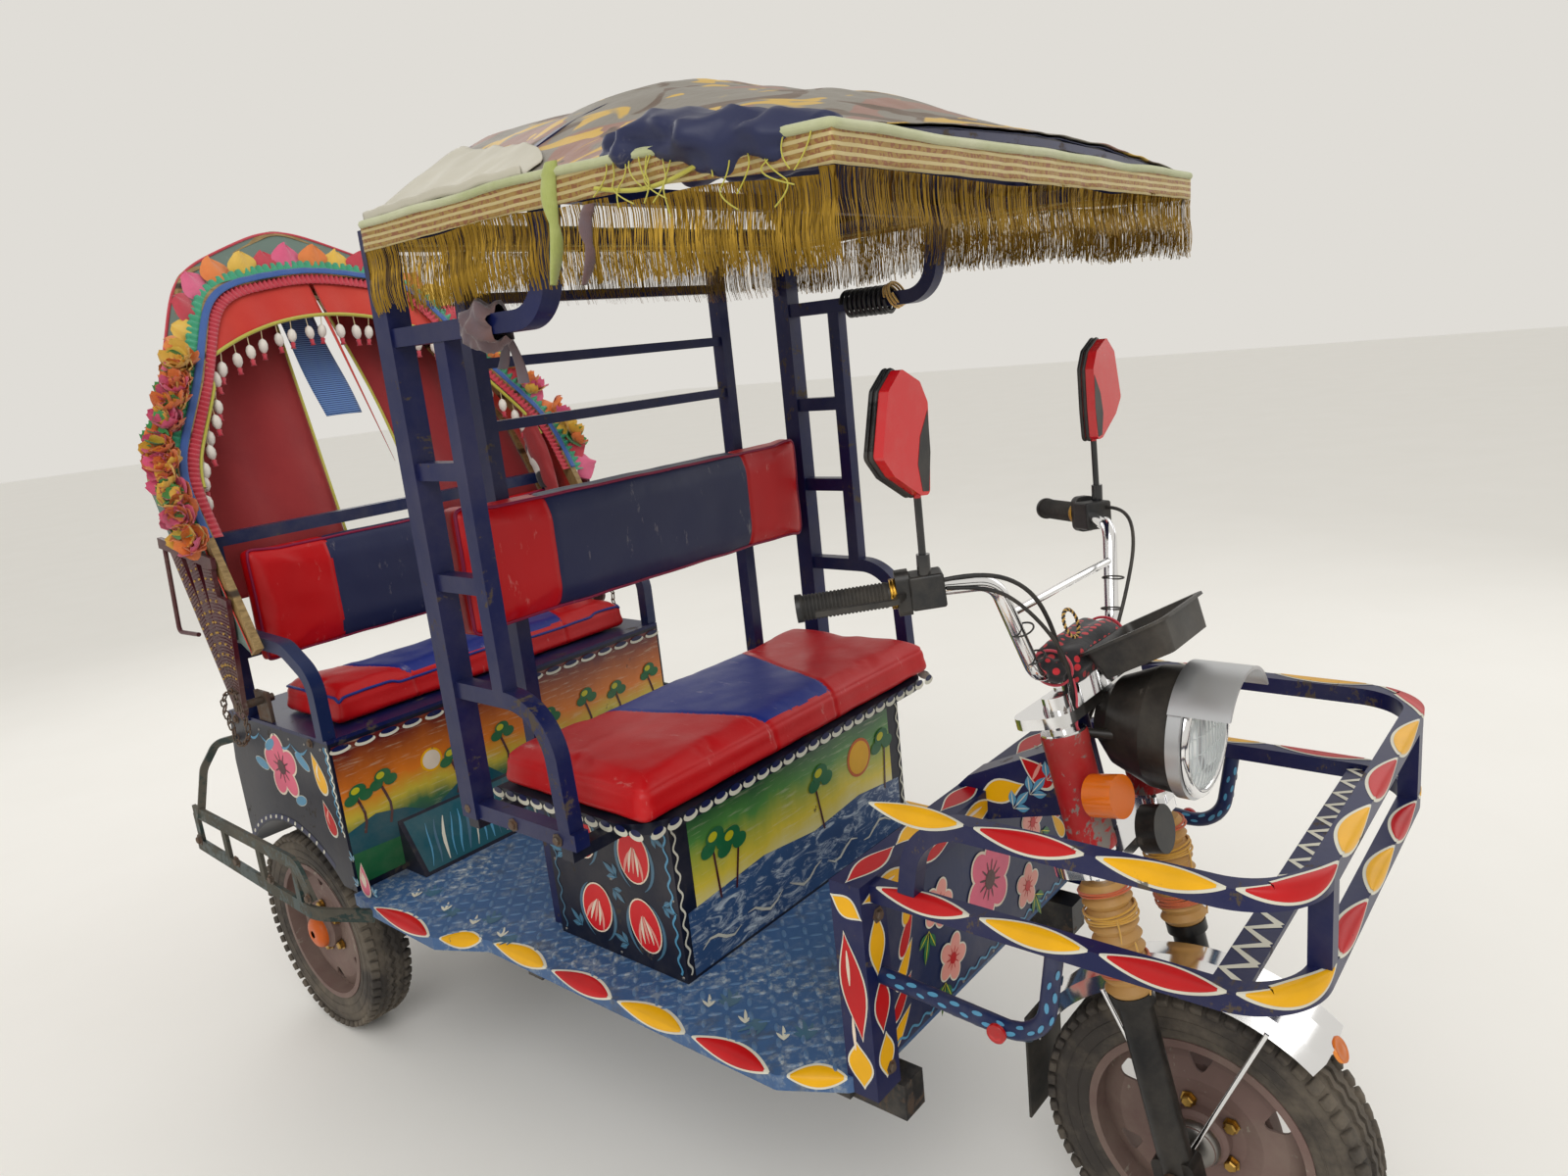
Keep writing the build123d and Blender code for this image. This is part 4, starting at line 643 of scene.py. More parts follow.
class Shop:
    """Builds meshes, fastens pieces to their bodies and logs them."""

    count = 0

    @staticmethod
    def mesh(name: str, points: Iterable[Sequence[float]], faces: Iterable[Sequence[int]],
             finishes: Sequence["Finish"], slots: Sequence[int] | None = None,
             smooth: bool = True) -> bpy.types.Object:
        """Make an object from points and faces.

        Args:
            name: The object's name.
            points: Places in metres.
            faces: Corner numbers of each face.
            finishes: Finishes for the material slots.
            slots: Slot number of each face.
            smooth: Whether the faces are shaded smooth.

        Returns:
            The linked object.
        """
        data = bpy.data.meshes.new(name)
        data.from_pydata([tuple(map(float, p)) for p in points], [], [tuple(map(int, f)) for f in faces])
        for finish in finishes:
            data.materials.append(finish.material if isinstance(finish, Finish) else finish)
        if slots is not None:
            data.polygons.foreach_set("material_index", list(slots))
        data.polygons.foreach_set("use_smooth", [smooth] * len(data.polygons))
        data.update()
        return place_in_scene(bpy.data.objects.new(name, data))

    @staticmethod
    def settle(made: bpy.types.Object) -> bpy.types.Object:
        """Turn an object's modifiers or curve into a plain mesh.

        Args:
            made: The object to convert.

        Returns:
            The object that holds the plain mesh.
        """
        bpy.context.view_layer.update()
        seen = made.evaluated_get(bpy.context.evaluated_depsgraph_get())
        data = bpy.data.meshes.new_from_object(seen)
        data.name = made.name
        if made.type == "MESH":
            made.modifiers.clear()
            made.data = data
            return made
        name = made.name
        made.name = name + "_line"
        fresh = bpy.data.objects.new(name, data)
        bpy.context.scene.collection.objects.link(fresh)
        bpy.data.objects.remove(made)
        return fresh

    @staticmethod
    def shade(made: bpy.types.Object, smooth: bool) -> bpy.types.Object:
        """Shade every face smooth or flat."""
        made.data.polygons.foreach_set("use_smooth", [smooth] * len(made.data.polygons))
        return made

    @classmethod
    def modified(cls, made: bpy.types.Object, *steps: tuple[str, dict[str, object]]) -> bpy.types.Object:
        """Apply modifiers in order.

        Args:
            made: The object.
            steps: Modifier types with their settings.

        Returns:
            The object with a plain mesh.
        """
        for kind, settings in steps:
            step = made.modifiers.new(kind.title(), kind)
            for key, value in settings.items():
                setattr(step, key, value)
        return cls.settle(made)

    @classmethod
    def tube(cls, name: str, points: Sequence[Sequence[float]], radius: float, finish: "Finish",
             closed: bool = False, sides: int = 3, smooth: bool = True) -> bpy.types.Object:
        """Make a round tube along a line.

        Args:
            name: The object's name.
            points: The line's points.
            radius: Radius in metres.
            finish: Its finish.
            closed: Whether the line joins its start.
            sides: Bevel resolution.
            smooth: Whether a NURBS spline rounds the line.

        Returns:
            A mesh object.
        """
        line = cls.line(name, points, closed, smooth)
        line.data.bevel_depth = radius
        line.data.bevel_resolution = sides
        line.data.use_fill_caps = not closed
        line.data.materials.append(finish.material)
        return cls.shade(cls.settle(line), True)

    @staticmethod
    def line(name: str, points: Sequence[Sequence[float]], closed: bool = False,
             smooth: bool = True) -> bpy.types.Object:
        """Make a curve object through or near the points.

        Args:
            name: The curve's name.
            points: Its control points.
            closed: Whether it closes on itself.
            smooth: Whether it rounds the corners.

        Returns:
            The curve.
        """
        data = bpy.data.curves.new(name, "CURVE")
        data.dimensions = "3D"
        data.resolution_u = 6
        spline = data.splines.new("NURBS" if smooth else "POLY")
        spline.points.add(len(points) - 1)
        for place, point in zip(spline.points, points):
            place.co = (*map(float, point), 1.0)
        if smooth:
            spline.order_u = 3
            spline.use_endpoint_u = not closed
        spline.use_cyclic_u = closed
        return place_in_scene(bpy.data.objects.new(name, data))

    @classmethod
    def grid(cls, name: str, place: Callable[[float, float], Sequence[float]], across: int, along: int,
             finish: "Finish", thick: float = 0.0, offset: float = 0.0, wrap: bool = False) -> bpy.types.Object:
        """Make a sheet from a function of two shares.

        Args:
            name: The object's name.
            place: Point for the shares across and along.
            across: Faces across.
            along: Faces along.
            finish: Its finish.
            thick: Thickness, or 0 for a single layer.
            offset: Side on which the thickness lies.
            wrap: Whether the last row across meets the first.

        Returns:
            The sheet.
        """
        wide = across if wrap else across + 1
        points = [place(i / across, j / along) for j in range(along + 1) for i in range(wide)]
        faces = [(j * wide + i, j * wide + (i + 1) % wide, (j + 1) * wide + (i + 1) % wide, (j + 1) * wide + i)
                 for j in range(along) for i in range(across)]
        made = cls.mesh(name, points, faces, [finish])
        if thick:
            cls.modified(made, ("SOLIDIFY", {"thickness": thick, "offset": offset}))
        return made

    @classmethod
    def lathe(cls, name: str, profile: Sequence[Pair], finish: "Finish", frame_at: Matrix = Matrix(),
              segments: int = 48, smooth: bool = True) -> bpy.types.Object:
        """Turn a profile round an axis.

        Args:
            name: The object's name.
            profile: Pairs of radius and height.
            finish: Its finish.
            frame_at: The place whose Z axis it turns round.
            segments: Faces round the axis.
            smooth: Whether the faces are shaded smooth.

        Returns:
            The turned object.
        """
        def place(u: float, v: float) -> Vector:
            """Point of the turned surface.

            Args:
                u: Share of the way round or across.
                v: Share of the way along.

            Returns:
                The point.
            """
            radius, height = profile[round(v * (len(profile) - 1))]
            return frame_at @ Vector((*polar((0, 0), radius, 2 * math.pi * u), height))

        return cls.shade(cls.grid(name, place, segments, len(profile) - 1, finish, wrap=True), smooth)

    @classmethod
    def block(cls, name: str, low: Point, high: Point, finish: "Finish", bevel: float) -> bpy.types.Object:
        """Make a bevelled box.

        Args:
            name: The object's name.
            low: Its lowest corner.
            high: Its highest corner.
            finish: Its finish.
            bevel: Width of the bevel.

        Returns:
            The box.
        """
        points = [(x, y, z) for x in (low[0], high[0]) for y in (low[1], high[1]) for z in (low[2], high[2])]
        faces = ((0, 1, 3, 2), (4, 6, 7, 5), (0, 4, 5, 1), (2, 3, 7, 6), (0, 2, 6, 4), (1, 5, 7, 3))
        made = cls.mesh(name, points, faces, [finish])
        return cls.modified(made, ("BEVEL", {"width": bevel, "segments": 2, "limit_method": "ANGLE"}))

    @classmethod
    def keep(cls, made: bpy.types.Object, body: str, slot: str, *replaced: str) -> bpy.types.Object:
        """Fasten a piece to its body, hide the solids that it stands for and log it.

        Args:
            made: The piece.
            body: The body that it rides on.
            slot: Not used.
            replaced: Nodes that it stands for.

        Returns:
            The same piece.
        """
        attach(made, body)
        if replaced:
            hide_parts(*replaced)
        cls.count += 1
        LOG.info("piece %s rides on %s", made.name, body)
        return made

    @staticmethod
    def join(name: str, parts: Sequence[bpy.types.Object]) -> bpy.types.Object:
        """Join objects into one, keeping their finishes.

        Args:
            name: The joined piece's name.
            parts: The objects, which are used up.

        Returns:
            The joined piece.
        """
        data = bpy.data.meshes.new(name)
        target = bmesh.new()
        for part in parts:
            part.data.transform(part.matrix_world)
            slots = []
            for material in part.data.materials:
                if material.name not in data.materials:
                    data.materials.append(material)
                slots.append(data.materials.find(material.name))
            start = len(target.faces)
            target.from_mesh(part.data)
            target.faces.ensure_lookup_table()
            for face in target.faces[start:]:
                face.material_index = slots[face.material_index] if slots else 0
            bpy.data.objects.remove(part)
        target.to_mesh(data)
        target.free()
        return place_in_scene(bpy.data.objects.new(name, data))


class NodeKit:
    """Geometry node tree for what repeats, with named inputs and a fixed seed."""

    INPUTS = (("Geometry", "Geometry"), ("Item", "Object"), ("Finish", "Material"), ("Turn Jitter", "Float"),
              ("Size Jitter", "Float"), ("Seed", "Int"))

    NODES = {
        "source": ("NodeGroupInput", {}), "out": ("NodeGroupOutput", {}),
        "points": ("GeometryNodeMeshToPoints", {}),
        "item": ("GeometryNodeObjectInfo", {"transform_space": "ORIGINAL"}),
        "turn": ("GeometryNodeInputNamedAttribute", {"data_type": "FLOAT_VECTOR"}),
        "size": ("GeometryNodeInputNamedAttribute", {"data_type": "FLOAT_VECTOR"}),
        "spin": ("FunctionNodeRandomValue", {"data_type": "FLOAT"}),
        "grow": ("FunctionNodeRandomValue", {"data_type": "FLOAT"}),
        "low": ("ShaderNodeMath", {"operation": "MULTIPLY"}),
        "smallest": ("ShaderNodeMath", {"operation": "SUBTRACT"}),
        "largest": ("ShaderNodeMath", {"operation": "ADD"}),
        "euler": ("FunctionNodeEulerToRotation", {}), "twist": ("ShaderNodeCombineXYZ", {}),
        "whole": ("FunctionNodeEulerToRotation", {}),
        "rotate": ("FunctionNodeRotateRotation", {"rotation_space": "LOCAL"}),
        "scale": ("ShaderNodeVectorMath", {"operation": "SCALE"}),
        "spread": ("GeometryNodeInstanceOnPoints", {}),
        "realize": ("GeometryNodeRealizeInstances", {}), "paint": ("GeometryNodeSetMaterial", {})}
    VALUES = (("turn", "Name", "turn"), ("size", "Name", "size"), ("low", 1, -1), ("smallest", 0, 1),
              ("largest", 0, 1))
    LINKS = (
        ("source", "Geometry", "points", 0), ("source", "Item", "item", "Object"),
        ("source", "Turn Jitter", "spin", 3), ("source", "Turn Jitter", "low", 0), ("low", 0, "spin", 2),
        ("source", "Size Jitter", "smallest", 1), ("source", "Size Jitter", "largest", 1),
        ("smallest", 0, "grow", 2), ("largest", 0, "grow", 3), ("source", "Seed", "spin", "Seed"),
        ("source", "Seed", "grow", "Seed"), ("turn", 0, "euler", 0), ("spin", 1, "twist", 2),
        ("twist", 0, "whole", 0), ("euler", 0, "rotate", 0), ("whole", 0, "rotate", 1), ("size", 0, "scale", 0),
        ("grow", 1, "scale", "Scale"), ("points", 0, "spread", "Points"),
        ("item", "Geometry", "spread", "Instance"), ("rotate", 0, "spread", "Rotation"),
        ("scale", 0, "spread", "Scale"), ("spread", 0, "realize", 0),
        ("realize", 0, "paint", 0), ("source", "Finish", "paint", "Material"), ("paint", 0, "out", 0))

    @classmethod
    def repeat_tree(cls) -> bpy.types.NodeTree:
        """Copies of an item on points that carry their own turn and size, from the tables above.

        Returns:
            The tree, made on first use.
        """
        found = bpy.data.node_groups.get("repeat on points")
        if found:
            return found
        tree = bpy.data.node_groups.new("repeat on points", "GeometryNodeTree")
        for label, kind in cls.INPUTS:
            tree.interface.new_socket(label, in_out="INPUT", socket_type="NodeSocket" + kind)
        tree.interface.new_socket("Geometry", in_out="OUTPUT", socket_type="NodeSocketGeometry")
        nodes = {}
        for label, (kind, settings) in cls.NODES.items():
            nodes[label] = tree.nodes.new(kind)
            for key, value in settings.items():
                setattr(nodes[label], key, value)
        for label, socket, value in cls.VALUES:
            nodes[label].inputs[socket].default_value = value
        for source, way_out, target, way_in in cls.LINKS:
            tree.links.new(nodes[source].outputs[way_out], nodes[target].inputs[way_in])
        return tree

    @classmethod
    def repeat(cls, name: str, item: bpy.types.Object, places: Sequence[Matrix], finish: Finish,
               turn_jitter: float = 0.0, size_jitter: float = 0.0, seed: int = 1) -> bpy.types.Object:
        """Place copies of an item.

        Args:
            name: The result's name.
            item: The part to copy, made about the origin.
            places: Where each copy goes.
            finish: The copies' finish.
            turn_jitter: Largest random turn about the copy's own Z, in radians.
            size_jitter: Largest random change of size, as a share.
            seed: The seed for both.

        Returns:
            One plain mesh object.
        """
        made = Shop.mesh(name, [m.to_translation() for m in places], [], [finish])
        turns = made.data.attributes.new("turn", "FLOAT_VECTOR", "POINT")
        sizes = made.data.attributes.new("size", "FLOAT_VECTOR", "POINT")
        turns.data.foreach_set("vector", np.array([m.to_euler() for m in places], float).ravel())
        sizes.data.foreach_set("vector", np.array([m.to_scale() for m in places], float).ravel())
        tree = cls.repeat_tree()
        step = made.modifiers.new("Repeat", "NODES")
        step.node_group = tree
        values = {"Item": item, "Finish": finish.material, "Turn Jitter": turn_jitter, "Size Jitter": size_jitter,
                  "Seed": seed}
        for socket in tree.interface.items_tree:
            if socket.in_out == "INPUT" and socket.name in values:
                step[socket.identifier] = values[socket.name]
        Shop.settle(made)
        bpy.data.objects.remove(item)
        for layer in ("turn", "size"):
            if layer in made.data.attributes:
                made.data.attributes.remove(made.data.attributes[layer])
        return made


def frame_of(origin: Sequence[float], z: Sequence[float], x: Sequence[float] = (1, 0, 0)) -> Matrix:
    """A place whose Z and X axes point as asked.

    Args:
        origin: The place.
        z: Direction of its Z axis.
        x: Rough direction of its X axis.

    Returns:
        The matrix of the place.
    """
    up = Vector(z).normalized()
    side = (Vector(x) - Vector(x).dot(up) * up).normalized()
    turn = Matrix((side, up.cross(side), up)).transposed().to_4x4()
    return Matrix.Translation(Vector(origin)) @ turn


def rounded_line(points: Sequence[Pair], radii: Sequence[float], step: float = 0.01) -> list[Vector]:
    """Sample straight runs joined by arcs.

    Args:
        points: Corners of the line.
        radii: Radius at each inner corner.
        step: Rough distance between samples.

    Returns:
        Points along the line.
    """
    places = [Vector((*p, 0)) for p in points]
    out = [places[0]]
    for k, radius in enumerate(radii, 1):
        corner = places[k]
        back, on = (places[k - 1] - corner).normalized(), (places[k + 1] - corner).normalized()
        half = back.angle(on) / 2
        reach = radius / math.tan(half)
        centre = corner + (back + on).normalized() * (radius / math.sin(half))
        first = corner + back * reach - centre
        sweep = math.copysign(math.pi - 2 * half, back.cross(on).z * -1)
        count = max(3, int(radius * abs(sweep) / step))
        out += [centre + Matrix.Rotation(sweep * t / count, 3, "Z") @ first for t in range(count + 1)]
    out.append(places[-1])
    dense = []
    for a, b in zip(out, out[1:]):
        count = max(1, round((b - a).length / step))
        dense += [a.lerp(b, t / count) for t in range(count)]
    return [*dense, out[-1]]


def along_line(points: Sequence[Vector], step: float, start: float = 0.0) -> list[tuple[Vector, Vector]]:
    """Evenly spaced places on a line, with the line's direction at each.

    Args:
        points: The line's corners.
        step: Distance between two places.
        start: Distance of the first place from the line's start.

    Returns:
        Places and directions.
    """
    out, left = [], start
    for a, b in zip(points, points[1:]):
        length = (b - a).length
        while left <= length and length > 1e-9:
            out.append((a.lerp(b, left / length), (b - a).normalized()))
            left += step
        left -= length
    return out


def at(x: float, y: float, z: float) -> Vector:
    """A place measured from the posts behind the front bench."""
    return Vector((x, y + SHIFT, z))


@dataclass(frozen=True)
class Studio:
    """Camera as the photograph was taken, a pale floor and soft light."""

    eye: Point = (-1.4153, -1.5613, 1.4732)
    target: Point = (0.0, -0.3468, 1.0416)
    roll: float = -0.10187
    focal_px: float = 1081.33
    width_px: float = 1600.0

    def camera(self) -> None:
        """Create the camera from its solved place."""
        eye, look = at(*self.eye), at(*self.target)
        ahead = (look - eye).normalized()
        right = ahead.cross(Vector((0, 0, 1))).normalized()
        up = right.cross(ahead)
        c, s = math.cos(self.roll), math.sin(self.roll)
        turn = Matrix((c * right + s * up, -s * right + c * up, -ahead)).transposed().to_4x4()
        data = bpy.data.cameras.new("view")
        data.sensor_width = 36.0
        data.lens = self.focal_px / self.width_px * data.sensor_width
        made = bpy.data.objects.new("view", data)
        made.matrix_world = Matrix.Translation(eye) @ turn
        bpy.context.scene.collection.objects.link(made)
        bpy.context.scene.camera = made

    def world(self) -> None:
        """Even pale surroundings, white where they are seen directly."""
        world = bpy.data.worlds.new("studio")
        bpy.context.scene.world = world
        world.use_nodes = True
        tree = world.node_tree
        tree.nodes.clear()
        path, out = tree.nodes.new("ShaderNodeLightPath"), tree.nodes.new("ShaderNodeOutputWorld")
        seen, lit = tree.nodes.new("ShaderNodeBackground"), tree.nodes.new("ShaderNodeBackground")
        both, mix = tree.nodes.new("ShaderNodeMath"), tree.nodes.new("ShaderNodeMixShader")
        both.operation = "MAXIMUM"
        seen.inputs[0].default_value = rgb("#e0ddd7")
        seen.inputs[1].default_value = 1.0
        lit.inputs[0].default_value = rgb("#f0eee9")
        lit.inputs[1].default_value = 0.86
        for source, target in ((path.outputs["Is Camera Ray"], both.inputs[0]),
                               (path.outputs["Is Glossy Ray"], both.inputs[1]),
                               (both.outputs[0], mix.inputs[0]), (lit.outputs[0], mix.inputs[1]),
                               (seen.outputs[0], mix.inputs[2]), (mix.outputs[0], out.inputs[0])):
            tree.links.new(source, target)

    def lamps(self) -> None:
        """Three soft lamps round the vehicle."""
        for name, place, power, size in (("key", (-3.4, -2.6, 4.2), 95, 3.2), ("fill", (3.6, -1.8, 3.0), 25, 3.0),
                                         ("back", (0.8, 4.0, 3.4), 35, 3.0)):
            data = bpy.data.lights.new(name, "AREA")
            data.energy, data.size = power, size
            lamp = bpy.data.objects.new(name, data)
            lamp.matrix_world = frame_of(place, Vector(place) - Vector((0, 0, 0.8)))
            bpy.context.scene.collection.objects.link(lamp)

    def floor(self) -> None:
        """Pale floor with a fine matt grain."""
        g = Graph("studio floor")
        g.set(Base_Color=g.mix(g.noise(2, 4), "#f4f2ee", "#efede8"), Roughness=0.85)
        g.bump(g.noise(60, 4), 0.05, 0.001)
        corners = [(-30, -30, -0.001), (30, -30, -0.001), (30, 30, -0.001), (-30, 30, -0.001)]
        floor = Shop.mesh("studio_floor", corners, [(0, 1, 2, 3)], [g.material])

    def build(self) -> None:
        """Set everything round the vehicle."""
        self.camera()
        self.world()
        self.lamps()
        self.floor()
        bpy.context.scene.view_settings.view_transform = "Standard"


class Wardrobe:
    """Gives each carried-over solid its finish."""

    COATS: dict[Finish, tuple[str, ...]] = {
        Finish.PRIMER: ("rear_wheel_right", "rear_wheel_left", "front_wheel"),
        Finish.UNDERSIDE: ("drive_motor", "chassis_rails", "chassis_crossmembers", "battery_block"),
        Finish.RUSTY: ("rear_axle", "leaf_springs", "front_spindle", "hood_pivots"),
        Finish.DECK: ("floor_plate",),
        Finish.NAVY: ("head_frame", "basket_ring", "basket_hoop", "side_ladders", "armrests", "back_rails",
                      "rear_seat_board", "canopy_frame"),
        Finish.DEEP_BLUE: ("front_panel", "basket_supports", "rear_seat_rail"),
        Finish.INK: ("driver_box", "wheel_housings", "rear_box_panels"),
        Finish.GUARD: ("side_guards",),
        Finish.BLACK: ("fork_legs", "headlamp_bowl", "horn"),
        Finish.CHROME: ("fork_yokes", "handlebar", "front_mudguard"),
        Finish.GAITER: ("fork_gaiters",),
        Finish.ABS: ("bar_controls", "tray"),
        Finish.SHELL: ("mirrors",),
        Finish.LAMP_SILVER: ("headlamp_lens",),
        Finish.AMBER: ("indicators",),
        Finish.RUBBER: ("mud_flap",),
        Finish.CANE: ("hood_front_bow", "hood_bows"),
        Finish.MAROON: ("hood_slats",),
    }

    @classmethod
    def dress(cls, nodes: dict[str, bpy.types.Object]) -> None:
        """Assign the finishes to the solids' own slots.

        Args:
            nodes: The frame's solids by name.
        """
        for finish, names in cls.COATS.items():
            for name in names:
                data = nodes[name].data
                if not data.materials:
                    data.materials.append(finish.material)
                for index in range(len(data.materials)):
                    data.materials[index] = finish.material
        LOG.info("dressed %d solids", sum(map(len, cls.COATS.values())))


class Mural:
    """Flat hand-painted figures in thin layers on one face of a panel."""

    def __init__(self, origin: Vector, across: Point = (1, 0, 0), up: Point = (0, 0, 1)) -> None:
        """Start on a face.

        Args:
            origin: A place on the face.
            across: Direction of the first measure.
            up: Direction of the second measure.
        """
        self.origin, self.layer = origin, 1
        self.across, self.up = Vector(across).normalized(), Vector(up).normalized()
        self.out = self.across.cross(self.up)
        self.points: list[Vector] = []
        self.faces: list[list[int]] = []
        self.slots: list[int] = []
        self.finishes: list[Finish] = []

    @classmethod
    def on_side(cls, x: float, side: float, z: float = 0.0) -> "Mural":
        """Start on a face that looks to a side."""
        return cls(at(side * x, 0, z), (0, side, 0))

    def shape(self, outline: Sequence[Pair], finish: Finish, lift: float | None = None) -> "Mural":
        """Add one filled figure a hair above what is already there.

        Args:
            outline: Its corners on the face.
            finish: Its finish.
            lift: Its layer, where it isn't the present one.

        Returns:
            The mural.
        """
        if finish not in self.finishes:
            self.finishes.append(finish)
        height = PAINT_LIFT * (self.layer if lift is None else lift) + PAINT_STEP * (len(self.faces) % 60)
        base = len(self.points)
        self.points += [self.origin + (self.across * u + self.up * v) + self.out * height for u, v in outline]
        self.faces.append(list(range(base, base + len(outline))))
        self.slots.append(self.finishes.index(finish))
        return self

    def next(self) -> "Mural":
        """Start a layer above the last."""
        self.layer += 1
        return self

    @staticmethod
    def turned(outline: Sequence[Pair], centre: Pair, angle: float) -> list[Pair]:
        """Turn an outline and carry it to its centre."""
        c, s = math.cos(angle), math.sin(angle)
        return [(centre[0] + c * u - s * v, centre[1] + s * u + c * v) for u, v in outline]

    def figure(self, outline: Callable[[float], list[Pair]], centre: Pair, angle: float, finish: Finish,
               rim: Finish | None, edge: float) -> "Mural":
        """Add a figure over its outline.

        Args:
            outline: Its corners, grown by a width.
            centre: Its middle.
            angle: Its turn.
            finish: Its finish.
            rim: The outline's finish, if it has one.
            edge: Width of the outline.

        Returns:
            The mural.
        """
        for grow, coat, lift in ((edge, rim, 0), (0.0, finish, 1)):
            if coat:
                self.shape(self.turned(outline(grow), centre, angle), coat, self.layer + lift)
        return self

    def oval(self, centre: Pair, a: float, b: float, angle: float, finish: Finish, rim: Finish | None = None,
             edge: float = 0.003) -> "Mural":
        """Add an oval of two half widths."""
        return self.figure(lambda grow: round_points(a + grow, b + grow, 28), centre, angle, finish, rim, edge)

    def leaf(self, centre: Pair, length: float, width: float, angle: float, finish: Finish,
             rim: Finish | None = None) -> "Mural":
        """Add a pointed lens.

        Args:
            centre: Its middle.
            length: Its length.
            width: Its width.
            angle: Its turn.
            finish: Its finish.
            rim: The outline's finish, if it has one.

        Returns:
            The mural.
        """
        def outline(grow: float) -> list[Pair]:
            """Corners of the lens, grown by a width.

            Args:
                grow: How far the outline grows.

            Returns:
                The outline.
            """
            half, wide = length / 2 + 1.6 * grow, width / 2 + grow
            side = [(-half + 2 * half * t / 12, wide * math.sin(math.pi * t / 12) ** 1.25) for t in range(13)]
            return side + [(u, -v) for u, v in side[-2:0:-1]]

        return self.figure(outline, centre, angle, finish, rim, 0.003)

    def drop(self, centre: Pair, length: float, width: float, angle: float, finish: Finish, rim: Finish,
             edge: float = 0.004) -> "Mural":
        """Add a drop whose point looks along the angle.

        Args:
            centre: Its middle.
            length: Its length.
            width: Its width.
            angle: Its turn.
            finish: Its finish.
            rim: The outline's finish.
            edge: Width of the outline.

        Returns:
            The mural.
        """
        def outline(grow: float) -> list[Pair]:
            """Corners of the drop, grown by a width.

            Args:
                grow: How far the outline grows.

            Returns:
                The outline.
            """
            half, wide = length / 2 + 1.3 * grow, width / 2 + grow
            side = [(half * math.cos(w), wide * math.sin(w) * (0.5 - 0.5 * math.cos(w)) ** 0.6)
                    for w in (math.pi * t / 14 for t in range(15))]
            return side + [(u, -v) for u, v in side[-2:0:-1]]

        return self.figure(outline, centre, angle, finish, rim, edge)

    def stroke(self, points: Sequence[Pair], width: float, finish: Finish, taper: bool = True) -> "Mural":
        """Add a brush stroke along a line.

        Args:
            points: The line.
            width: Width of the brush.
            finish: Its finish.
            taper: Whether it is thin at its ends.

        Returns:
            The mural.
        """
        line = [Vector((*p, 0)) for p in points]
        count = len(line)
        left, right = [], []
        for k, point in enumerate(line):
            ahead = (line[min(k + 1, count - 1)] - line[max(k - 1, 0)]).normalized()
            share = math.sin(math.pi * (k + 0.35) / (count - 0.3)) if taper else 1.0
            side = Vector((-ahead.y, ahead.x, 0)) * width / 2 * max(share, 0.12)
            left.append((point + side)[:2])
            right.append((point - side)[:2])
        for k in range(count - 1):
            self.shape([left[k], left[k + 1], right[k + 1], right[k]], finish)
        return self

    def wave(self, start: Pair, end: Pair, swing: float, turns: float, width: float, finish: Finish) -> "Mural":
        """Add a wavy line.

        Args:
            start: One end.
            end: The other end.
            swing: How far it swings to a side.
            turns: Number of waves.
            width: Width of the line.
            finish: Its finish.

        Returns:
            The mural.
        """
        a, b = Vector((*start, 0)), Vector((*end, 0))
        side = (b - a).normalized().cross(Vector((0, 0, 1)))
        count = max(8, int(turns * 8))
        line = [a.lerp(b, t / count) + side * swing * math.sin(2 * math.pi * turns * t / count)
                for t in range(count + 1)]
        return self.stroke([p[:2] for p in line], width, finish, taper=False)

    def fan(self, centre: Pair, angle: float, length: float, finish: Finish, strokes: int, spread: float) -> "Mural":
        """Add brush strokes that spread from one place.

        Args:
            centre: Where they start.
            angle: Direction of the middle one.
            length: Length of the middle one.
            finish: Their finish.
            strokes: Their number.
            spread: Angle between the outer ones.

        Returns:
            The mural.
        """
        for k in range(strokes):
            lean = angle + spread * (k / (strokes - 1) - 0.5)
            reach = length * (1 - 0.35 * abs(2 * k / (strokes - 1) - 1))
            self.stroke([polar(centre, reach * t / 5, lean + 0.12 * t / 5) for t in range(6)], length * 0.16, finish)
        return self

    def flower(self, centre: Pair, radius: float, petal: Finish, edge: Finish, heart: Finish, petals: int,
               turn: float) -> "Mural":
        """Add a flower of round petals with pale edges and a dark heart.

        Args:
            centre: Its middle.
            radius: Its radius.
            petal: Finish of the petals.
            edge: Finish of their edges.
            heart: Finish of the heart.
            petals: Number of petals.
            turn: Its turn.

        Returns:
            The mural.
        """
        for k in range(petals):
            angle = turn + 2 * math.pi * k / petals
            spot = polar(centre, radius * 0.56, angle)
            self.oval(spot, radius * 0.44, radius * 0.36, angle, petal, edge, radius * 0.07)
        self.layer += 2
        self.oval(centre, radius * 0.24, radius * 0.24, 0, heart)
        for k in range(petals * 2):
            angle = turn + math.pi * k / petals
            self.stroke([polar(centre, radius * r, angle) for r in (0.18, 0.34, 0.5)], radius * 0.06, heart)
        return self

    def spray(self, centre: Pair, angle: float, length: float, finish: Finish, vein: Finish) -> "Mural":
        """Add a stem with three leaves and pale veins.

        Args:
            centre: Foot of the stem.
            angle: Its direction.
            length: Its length.
            finish: Finish of the leaves.
            vein: Finish of the veins.

        Returns:
            The mural.
        """
        for lean, reach in ((0.0, 1.0), (0.75, 0.7), (-0.7, 0.65)):
            way = angle + lean
            self.leaf(polar(centre, reach * length * 0.5, way), length * reach * 0.8, length * 0.26, way, finish)
            self.layer += 2
            self.stroke([polar(centre, reach * length * t, way) for t in (0.0, 0.3, 0.6, 0.85)], length * 0.035, vein)
            self.layer -= 2
        return self

